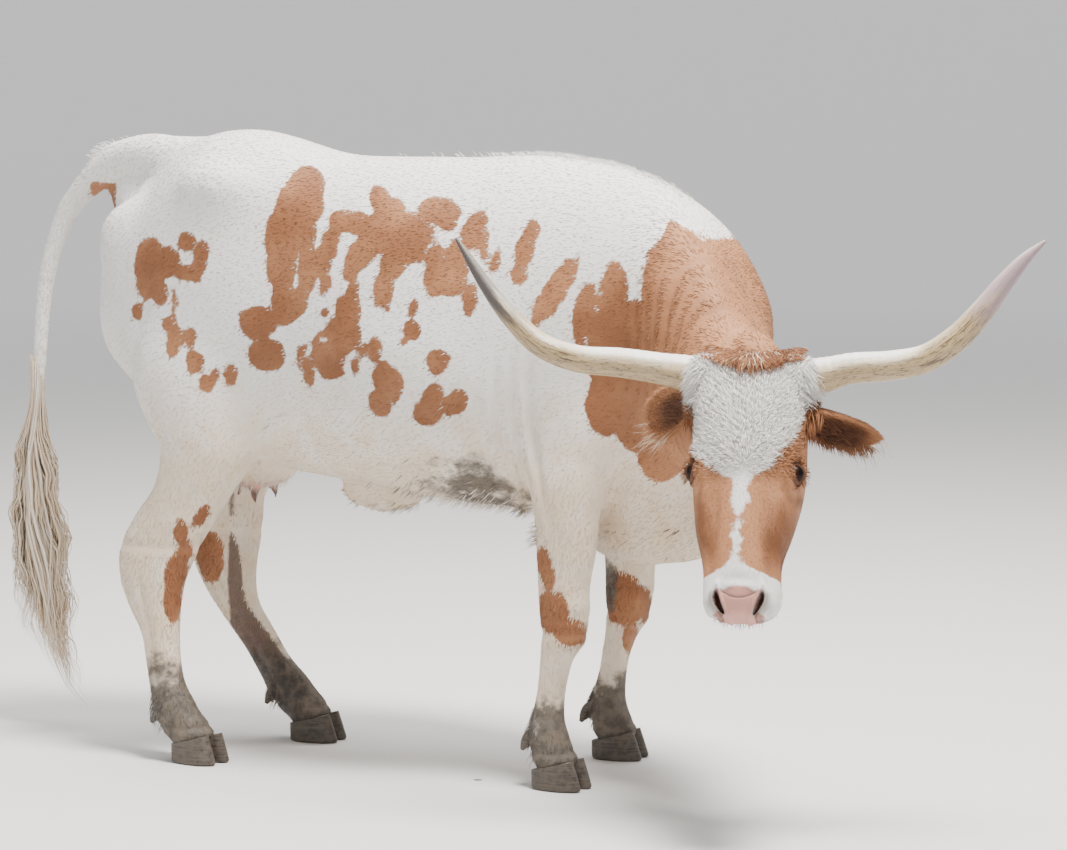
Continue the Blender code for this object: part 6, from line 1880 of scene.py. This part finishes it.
def tufted(name, centre, spread, count, leave, fall, length, width,
           warm=0.2, dirt=0.0, mark=IN_WHITE):
    """A patch of longer hair round a place on the skin, leaving it one way and falling another."""
    wanted = np.asarray(centre) + RNG.normal(0, 1, (count, 3)) * spread
    found = [skin_tree.find_nearest(Vector(p)) for p in wanted]
    root, normal = (np.array([f[k] for f in found]) for k in (0, 1))
    way = unit(normal * 0.5 + np.asarray(leave) + RNG.normal(0, 0.16, (count, 3)))
    bend = unit(np.asarray(fall) + RNG.normal(0, 0.15, (count, 3)))
    paths = grown_paths(root - normal * 0.002, way, bend, length * RNG.uniform(0.5, 1.25, count))
    numbers = hair_numbers(count, mark, warm=warm, dirt=dirt)
    width = RNG.uniform(0.6, 1.2, count) * width
    show(strands(name, paths, normal, width, 0.0010, numbers), COAT)


# name, place, spread, count, way it leaves, way it falls, length, width, cream, mud, patch
BODY_TUFTS = [
    ("withers_hair", (0.02, 0.0, 1.335), (0.15, 0.022, 0.012), 520,
     (-0.35, 0, 0.9), (-1, 0, 0.1), 0.020, 0.0022, 0.2, 0.0, IN_WHITE),
    ("vulva_hair", (-1.165, -0.03, 0.985), (0.006, 0.010, 0.030), 150,
     (-0.5, 0, -0.6), (0.1, 0, -1), 0.040, 0.0020, 0.6, 0.0, IN_TAN),
    ("tail_base_hair", (-1.18, -0.02, 1.315), (0.030, 0.012, 0.006), 70,
     (-0.6, 0, 0.6), (-1, 0, -0.2), 0.026, 0.0018, 0.2, 0.0, IN_WHITE),
    ("belly_hair", (-0.16, -0.03, 0.53), (0.16, 0.10, 0.012), 900,
     (-0.5, 0, -0.35), (-0.9, 0, -0.5), 0.030, 0.0024, 0.6, 0.55, IN_WHITE),
    ("udder_hair", (-0.82, -0.03, 0.60), (0.05, 0.05, 0.012), 260,
     (-0.3, 0, -0.6), (-0.4, 0, -1), 0.020, 0.0016, 0.6, 0.0, IN_WHITE),
]
for row in BODY_TUFTS:
    tufted(*row)
for side, word in WORDS.items():
    for pair, back in (("fore", 0.050), ("hind", 0.085)):
        fx, fy, _ = FEET[f"{pair}_{word}"]
        tufted(f"fetlock_{pair}_{word}", (fx - back, fy, 0.125), (0.010, 0.018, 0.022), 160,
               (-0.45, 0, -0.8), (-0.1, 0, -1), 0.026, 0.0020, 0.3, 0.9)
RIGHT, DOWN, FORTH = AXES.T
for side, word in WORDS.items():
    tufted(f"horn_root_{word}", on_head(side * 0.106, 0.036, -0.014), (0.010, 0.015, 0.020), 620,
           RIGHT * -side * 0.75 + DOWN * 0.45 + FORTH * 0.15,
           DOWN * 0.7 + RIGHT * -side * 0.4, 0.024, 0.0017, 0.1)
for side, out, count, length in ((1, 0.118, 220, 0.040), (-1, 0.112, 160, 0.030)):
    tufted(f"ear_base_{WORDS[side]}", on_head(side * out, 0.095, -0.045), (0.010, 0.010, 0.014), count,
           DOWN * 0.9 + FORTH * 0.1, DOWN, length, 0.0020, 0.7, 0.0, IN_TAN)
print("tufts of longer hair", len(BODY_TUFTS) + 8)


def whiskers():
    """Dark bristles round the lips and the chin."""
    n = 90
    turn = RNG.uniform(-1.5, 1.5, n)
    wanted = head_places(np.stack([0.007 + 0.052 * np.sin(turn), 0.475 + 0.040 * np.cos(turn),
                                   np.full(n, -0.070)], axis=1))
    found = [skin_tree.find_nearest(Vector(p)) for p in wanted]
    root, normal = (np.array([f[k] for f in found]) for k in (0, 1))
    leave = unit(normal + RNG.normal(0, 0.25, (n, 3)))
    fall = unit(AXES[:, 1] * 0.7 + RNG.normal(0, 0.2, (n, 3)))
    paths = grown_paths(root - normal * 0.002, leave, fall, RNG.uniform(0.008, 0.022, n))
    numbers = hair_numbers(n, IN_TAN, dark=0.9)
    show(strands("whiskers", paths, normal, 0.0008, 0.0006, numbers), COAT)


def lashes(side, n=80):
    """Eyelashes along the upper lid's rim, pointing out and bending down."""
    grid = LID_GRIDS[side][3]
    outer = -side if (eye_axes(side)[:, 0] @ AXES[:, 0]) > 0 else side
    turn = np.linspace(0, 2 * np.pi, LID_AROUND, endpoint=False)
    upper = np.flatnonzero(np.cos(turn - math.radians(115 if outer > 0 else 245)) > 0.05)
    root = grid[RNG.choice(upper, n)] + RNG.normal(0, 0.0006, (n, 3))
    leave = unit(root - eye_centre(side))
    fall = np.tile(AXES[:, 1] * 0.8 + AXES[:, 2] * 0.2, (n, 1))
    paths = grown_paths(root, leave, unit(fall + leave * 0.6), RNG.uniform(0.010, 0.017, n))
    numbers = hair_numbers(n, IN_TAN, warm=0.3, dark=0.55)
    show(strands(f"lashes_{WORDS[side]}", paths, AXES[:, 2], 0.0009, 0.0006, numbers), COAT)


whiskers()
for side in WORDS:
    lashes(side)

# %% [markdown]
# ## Horns, hooves and eyes
#
# Horn and hoof are the same stuff, laid down layer on layer: streaks run the way it grows and faint rings
# cross them. Each horn carries two numbers for its shader, the way along and the way round, so the streaks
# follow every bend.

# %% Horns
HORN_RADIUS, HORN_LEAN, HORN_DEEP = 0.032, math.radians(15), -0.022
# out from the head's middle, up, radius as a share of the root's
HORN_LINES = {
    -1: [(0.080, -0.022, 1.00), (0.140, -0.018, 1.02), (0.186, -0.011, 0.98), (0.266, -0.001, 0.94),
         (0.347, 0.005, 0.86), (0.420, 0.030, 0.76), (0.483, 0.083, 0.62), (0.538, 0.148, 0.44),
         (0.583, 0.213, 0.24), (0.603, 0.242, 0.10)],
    1: [(0.080, -0.022, 1.00), (0.129, -0.020, 1.02), (0.189, -0.005, 0.98), (0.266, 0.002, 0.94),
        (0.333, 0.017, 0.88), (0.387, 0.053, 0.84), (0.439, 0.110, 0.74), (0.483, 0.170, 0.58),
        (0.522, 0.217, 0.36), (0.556, 0.248, 0.10)],
}
HORN_STEPS, HORN_AROUND = 200, 64


def horn_piece(side):
    """A tube along the horn's line, its radius times 1 + rings near the root + ridges + flare."""
    rows = []
    for out, rise, wide in HORN_LINES[side]:
        up, back = rise * math.cos(HORN_LEAN), rise * math.sin(HORN_LEAN)
        radius = HORN_RADIUS * wide
        rows.append((*on_head(side * out, -up, HORN_DEEP + back), radius, radius * 0.94, radius * 0.94))
    grid = tube(rows, HEAD_AXES.col[2], HORN_STEPS, HORN_AROUND)
    middle = grid.mean(axis=1, keepdims=True)
    s = np.linspace(0, 1, HORN_STEPS)[:, None]
    turn = np.linspace(0, 2 * np.pi, HORN_AROUND, endpoint=False)[None]
    rings = 0.010 * np.sin(s * 210 + 1.5 * np.sin(turn)) * bump_at(s, 0.14, 0.16)
    ridges = 0.012 * np.sin(5 * turn + 9 * s) * np.sin(3 * turn - 4 * s + 1)
    ridges = (ridges + 0.008 * np.sin(11 * turn + 5 * s)) * (1 - ramp(s, 0.75, 0.95))
    flare = 0.09 * bump_at(s, 0.09, 0.05)
    grid = middle + (grid - middle) * (0.98 + rings + ridges + flare)[..., None]
    piece = outwards(closed_grid(f"horn_{WORDS[side]}", grid))
    # up: how far each point faces up, which the shader uses for painted light on top and painted shade
    # below
    numbers = {"along": s + 0 * turn, "round_a": np.cos(turn) + 0 * s, "round_b": np.sin(turn) + 0 * s,
               "up": unit(grid - middle)[..., 2]}
    for name, values in numbers.items():
        write_float(piece, name, np.append(values.ravel(), [0, 1 if name == "along" else 0]))
    return piece


# Colour of the ivory and of its darker tone, the painted shade of the low side, streaks, flakes, the root
# and the painted highlight on top
IVORY, IVORY_SHADE, PAINTED_LOW_SHADE = (0.70, 0.61, 0.45, 1), (0.60, 0.49, 0.32, 1), (0.36, 0.245, 0.105, 1)
STREAK, FLAKE, ROOT = (0.085, 0.050, 0.024, 1), (0.10, 0.065, 0.040, 1), (0.20, 0.145, 0.10, 1)
PAINTED_TOP_LIGHT = (0.88, 0.86, 0.82, 1)
HORN_TIPS = {-1: (0.055, 0.046, 0.048, 1), 1: (0.34, 0.24, 0.27, 1)}


def horn_material(name, tip_colour):
    """Ivory, with painted shade on the low side, streaked along, with a painted highlight on top, and dark
    towards the tip.
    """
    made, tree, shader = new_material(name, Coat_Weight=0.12, Coat_Roughness=0.25,
                                      Subsurface_Weight=0.06, Subsurface_Scale=0.01)
    along, up = attribute(tree, "along"), attribute(tree, "up")
    a, b = attribute(tree, "round_a"), attribute(tree, "round_b")

    def streaks(length, width, detail):
        places = {0: times(tree, along, length), 1: times(tree, a, width), 2: times(tree, b, width)}
        where = node(tree, "ShaderNodeCombineXYZ", places).outputs[0]
        return noise(tree, where, 1.0, detail, 0.62)

    broad, fine, flakes = streaks(7, 1.6, 4.0), streaks(14, 9.0, 4.0), streaks(46, 7.0, 5.0)
    in_bend = times(tree, step(tree, along, 0.34, 0.48), step(tree, along, 0.76, 0.62))
    # Painted shade on the low side and painted highlight on top, by how far each point faces up, wobbled
    # by noise
    wobble = scaled(tree, in_bend, -0.42, varied(tree, fine, 0.9, up))
    low = step(tree, wobble, 0.58, -0.10)
    low_bend = times(tree, step(tree, along, 0.30, 0.50), low)
    streaked = times(tree, step(tree, fine, 0.50, 0.60), scaled(tree, low_bend, 0.60, 0.38))
    flaked = times(tree, step(tree, flakes, 0.54, 0.64), scaled(tree, low, 0.65, 0.16))
    rooted = times(tree, step(tree, scaled(tree, flakes, 0.10, along), 0.155, 0.085), 0.55)
    painted_top_light = times(tree, step(tree, wobble, 0.42, 0.84), 0.86)
    end = step(tree, varied(tree, broad, 0.30, along), 0.62, 0.78)
    # Painted light: the dark tip paler on its upper side
    end = times(tree, end, scaled(tree, step(tree, up, 0.2, 0.9), -0.35, 0.95))
    colour = blend(tree, step(tree, broad, 0.30, 0.72), IVORY, IVORY_SHADE)
    for share, over in ((times(tree, low, 0.80), PAINTED_LOW_SHADE), (streaked, STREAK), (flaked, FLAKE),
                        (rooted, ROOT), (painted_top_light, PAINTED_TOP_LIGHT), (end, tip_colour)):
        colour = blend(tree, share, colour, over)
    wire(tree, shader, colour, scaled(tree, flakes, 0.35, 0.22), scaled(tree, fine, 0.6, flakes))
    return made


for side, word in WORDS.items():
    show(horn_piece(side), horn_material(f"horn_{word}", HORN_TIPS[side]),
         *[f"horn_{word}_{part}" for part in ("root", "middle", "tip")])

# %% Claws and dewclaws
CLAW_LENGTH, CLAW_WIDTH = 0.112, 0.049
CORONET_FRONT, CORONET_HEEL = 0.064, 0.040
# height as a share of the coronet's, middle and half length as shares of the length, width
CLAW_RINGS = [(0.00, 0.060, 0.480, 0.92), (0.10, 0.055, 0.500, 1.00), (0.50, 0.015, 0.465, 0.98),
              (1.00, -0.035, 0.415, 0.90), (1.30, -0.060, 0.390, 0.84)]
CLAW_STEPS, CLAW_AROUND = 40, 64


def foot_axes(name):
    """A foot's place on the floor, its way forward and its left."""
    x, y, turn = FEET[name]
    forward = np.array([math.cos(turn), math.sin(turn), 0])
    return np.array([x, y, 0]), forward, np.array([-math.sin(turn), math.cos(turn), 0])


def claw_grid(name, side):
    """Rings of a pointed oval that lean back as they rise, up to the sloping coronet."""
    foot, forward, left = foot_axes(name)
    share = np.linspace(0, 1, CLAW_STEPS)[:, None]
    around = np.linspace(0, 2 * np.pi, CLAW_AROUND, endpoint=False)[None]
    reach = np.cos(around)
    height = share * (CORONET_HEEL + (CORONET_FRONT - CORONET_HEEL) * (0.5 + 0.5 * reach))
    levels, *columns = np.array(CLAW_RINGS).T
    shift, long, wide = (np.interp(height / CORONET_FRONT, levels, column) for column in columns)
    sole = 1 - 0.08 * (1 - ramp(share, 0.0, 0.05))
    ridges = 1 + 0.003 * np.sin(share * 44 + 2 * np.sin(around))
    ridges = ridges + 0.0025 * np.sin(share * 97 + around)
    pointed = 1 - 0.30 * np.clip(reach, 0, 1) ** 2
    ahead = (shift + long * power(reach, 0.85) * sole * ridges) * CLAW_LENGTH
    across = power(np.sin(around), 0.75) * CLAW_WIDTH / 2 * wide * pointed * sole * ridges
    apart = side * (CLAW_WIDTH / 2 + 0.0012) - side * 0.06 * np.clip(reach, 0, 1) * CLAW_WIDTH
    grid = ahead[..., None] * forward + (across + apart)[..., None] * left
    grid[..., 2] += height
    return grid + foot


def dewclaw_grid(name, side):
    """A blunt cone that hangs backwards behind the pastern."""
    foot, forward, left = foot_axes(name)
    back = -0.062 if name.startswith("fore") else -0.098
    root = foot + forward * back + left * side * 0.020 + (0, 0, 0.108)
    tip = root - forward * 0.016 + left * side * 0.004 - (0, 0, 0.030)
    inner = root + forward * 0.022 + (0, 0, 0.012)
    rows = [(*inner, 0.011, 0.011, 0.011), (*root, 0.012, 0.012, 0.012),
            (*(root + (tip - root) * 0.6), 0.010, 0.010, 0.010), (*tip, 0.004, 0.004, 0.004)]
    return tube(rows, (0, 0, 1), 24, 24)


def hoof_material():
    """Dark horn ringed level with the floor, with mud dried on it."""
    made, tree, shader = new_material("hoof")
    place_on = here(tree)
    rings = noise(tree, stretched(tree, place_on, (18.0, 18.0, 260.0)), 1.0, 3.0)
    grit = noise(tree, place_on, 75.0, 6.0, 0.65)
    mud = step(tree, grit, 0.42, 0.60)
    colour = blend(tree, step(tree, rings, 0.35, 0.68), (0.030, 0.025, 0.022, 1), (0.095, 0.070, 0.052, 1))
    colour = blend(tree, times(tree, mud, 0.7), colour, (0.115, 0.095, 0.075, 1))
    wire(tree, shader, colour, scaled(tree, mud, 0.35, 0.38), scaled(tree, rings, 0.5, grit))
    return made


HOOF = hoof_material()
for name in LEG_LINES:
    for side, word in WORDS.items():
        for title, grid, solid in (("toe", claw_grid, "claw"), ("spur", dewclaw_grid, "dewclaw")):
            piece = closed_grid(f"{title}_{name}_{word}", grid(name, side))
            show(outwards(piece), HOOF, f"{solid}_{name}_{word}")

# %% [markdown]
# ## Eyes
#
# A cow's eye is nearly all dark brown iris, with a wide level pupil that hardly shows and a
# thin ring of dark white at the corners. The ball carries its own two flat coordinates, across
# and along the lids' opening, which the shader reads. A clear coat gives the wet gloss.

# %% Eyeballs
def eye_material():
    """Brown fibres round a wide pupil, each a distance from the ball's middle in its own shape."""
    made, tree, shader = new_material("eye", Roughness=0.30, Coat_Weight=0.05, Coat_Roughness=0.05,
                                      Specular_IOR_Level=0.06)
    a, b = attribute(tree, "across"), attribute(tree, "length")

    def distance(x, y):
        return calc(tree, "SQRT", calc(tree, "ADD", times(tree, x, x), times(tree, y, y)))

    round_iris, pupil = distance(a, b), distance(times(tree, b, 0.62), a)
    rays = {0: calc(tree, "ARCTAN2", a, b), 1: times(tree, round_iris, 0.6)}
    fibres = noise(tree, node(tree, "ShaderNodeCombineXYZ", rays).outputs[0], 9.0, 3.0)
    iris = blend(tree, fibres, (0.008, 0.004, 0.003, 1), (0.030, 0.012, 0.007, 1))
    colour = blend(tree, step(tree, round_iris, 0.84, 0.92), iris, (0.040, 0.026, 0.022, 1))
    colour = blend(tree, step(tree, pupil, 0.30, 0.24), colour, (0.004, 0.004, 0.005, 1))
    wire(tree, shader, colour)
    return made


def eyeball(side):
    """A ball whose clear front bulges by 1 mm, numbered by its place across and along the lids."""
    local = unit_ball(48, 64)
    front = bump_at(np.hypot(local[..., 0], local[..., 1]), 0, 0.42) * (local[..., 2] > 0)
    bulge = EYE_RADIUS - 0.0008 + 0.0010 * front
    grid = eye_centre(side) + (local * bulge[..., None]) @ eye_axes(side).T
    piece = outwards(closed_grid(f"eyeball_{WORDS[side]}", grid))
    flat = np.concatenate([local.reshape(-1, 3), [(0, 0, 1), (0, 0, -1)]])
    write_float(piece, "across", flat[:, 0])
    write_float(piece, "length", flat[:, 1])
    return piece


EYE = eye_material()
for side, word in WORDS.items():
    show(eyeball(side), EYE, f"eye_{word}")

# %% [markdown]
# ## Floor, light and camera
#
# The camera stands where the photographer stood: ahead of the cow's right side, one and a
# half metres up, seven metres off, with a long lens. The light is soft and comes from high on
# the right, as the sun does in the photograph.

# %% Stage
CAMERA_AT = np.array([3.029, -6.778, 1.5])
CAMERA_PITCH = math.radians(5.8)
CAMERA_LENS = 118.93


def aim(thing, at, look):
    """The thing stands at one place and looks at another."""
    thing.location = at
    thing.rotation_euler = (Vector(look) - Vector(at)).to_track_quat("-Z", "Y").to_euler()
    bpy.context.scene.collection.objects.link(thing)
    return thing


camera_data = bpy.data.cameras.new("camera")
camera_data.lens = CAMERA_LENS
camera_data.sensor_width = 36
camera_data.sensor_fit = "HORIZONTAL"
camera_data.clip_end = 200
ahead = VIEW_AWAY * math.cos(CAMERA_PITCH) - np.array([0, 0, 1]) * math.sin(CAMERA_PITCH)
camera_at = CAMERA_AT + SHIFT
camera = aim(bpy.data.objects.new("camera", camera_data), camera_at, camera_at + ahead)
bpy.context.scene.camera = camera


def soft_light(name, at, look, size, power, colour):
    """A square lamp; size in metres and power in watts."""
    light = bpy.data.lights.new(name, "AREA")
    light.size = size
    light.energy = power
    light.color = colour
    return aim(bpy.data.objects.new(name, light), at, look)


soft_light("key", (1.6, -0.7, 6.0), (0, 0, 0.8), 1.6, 900, (1.0, 0.965, 0.91))
soft_light("fill", (-3.6, -5.6, 2.6), (-0.2, 0, 0.8), 4.0, 55, (0.95, 0.97, 1.0))
soft_light("top", (-1.0, 1.8, 6.0), (0, 0, 0.9), 4.0, 420, (1.0, 0.98, 0.95))

# A round floor that curves up into a wall: rings of 96 points at a radius and a height
arc = np.linspace(0, np.pi / 2, 12)
bend = np.stack([18 + 7 * np.sin(arc), 7 - 7 * np.cos(arc)], axis=1)
out, up = np.concatenate([[(0.01, 0), (8, 0), (14, 0)], bend, [(25, 12)]]).T
turn = np.linspace(0, 2 * np.pi, 96, endpoint=False)
rings = np.stack([np.outer(out, np.cos(turn)), np.outer(out, np.sin(turn)),
                  np.repeat(up[:, None], 96, axis=1)], axis=2)
floor = mesh_piece("floor", rings.reshape(-1, 3), [ring_faces(len(out), 96)])
floor_material, floor_tree, floor_shader = new_material("floor", Roughness=0.9)
floor_shader.inputs["Base Color"].default_value = (0.74, 0.735, 0.725, 1)
floor_shader.inputs["Emission Strength"].default_value = 1.0
from_middle = node(floor_tree, "ShaderNodeVectorMath", {0: here(floor_tree)}, operation="LENGTH")
far = step(floor_tree, from_middle.outputs["Value"], 4.0, 17.0)
glow = blend(floor_tree, far, (0, 0, 0, 1), (0.30, 0.30, 0.305, 1))
floor_tree.links.new(glow, floor_shader.inputs["Emission Color"])
floor.data.materials.append(floor_material)
world = bpy.data.worlds.new("studio")
world.use_nodes = True
sky = world.node_tree.nodes["Background"].inputs
sky["Color"].default_value = (0.86, 0.87, 0.90, 1)
sky["Strength"].default_value = 0.49
bpy.context.scene.world = world
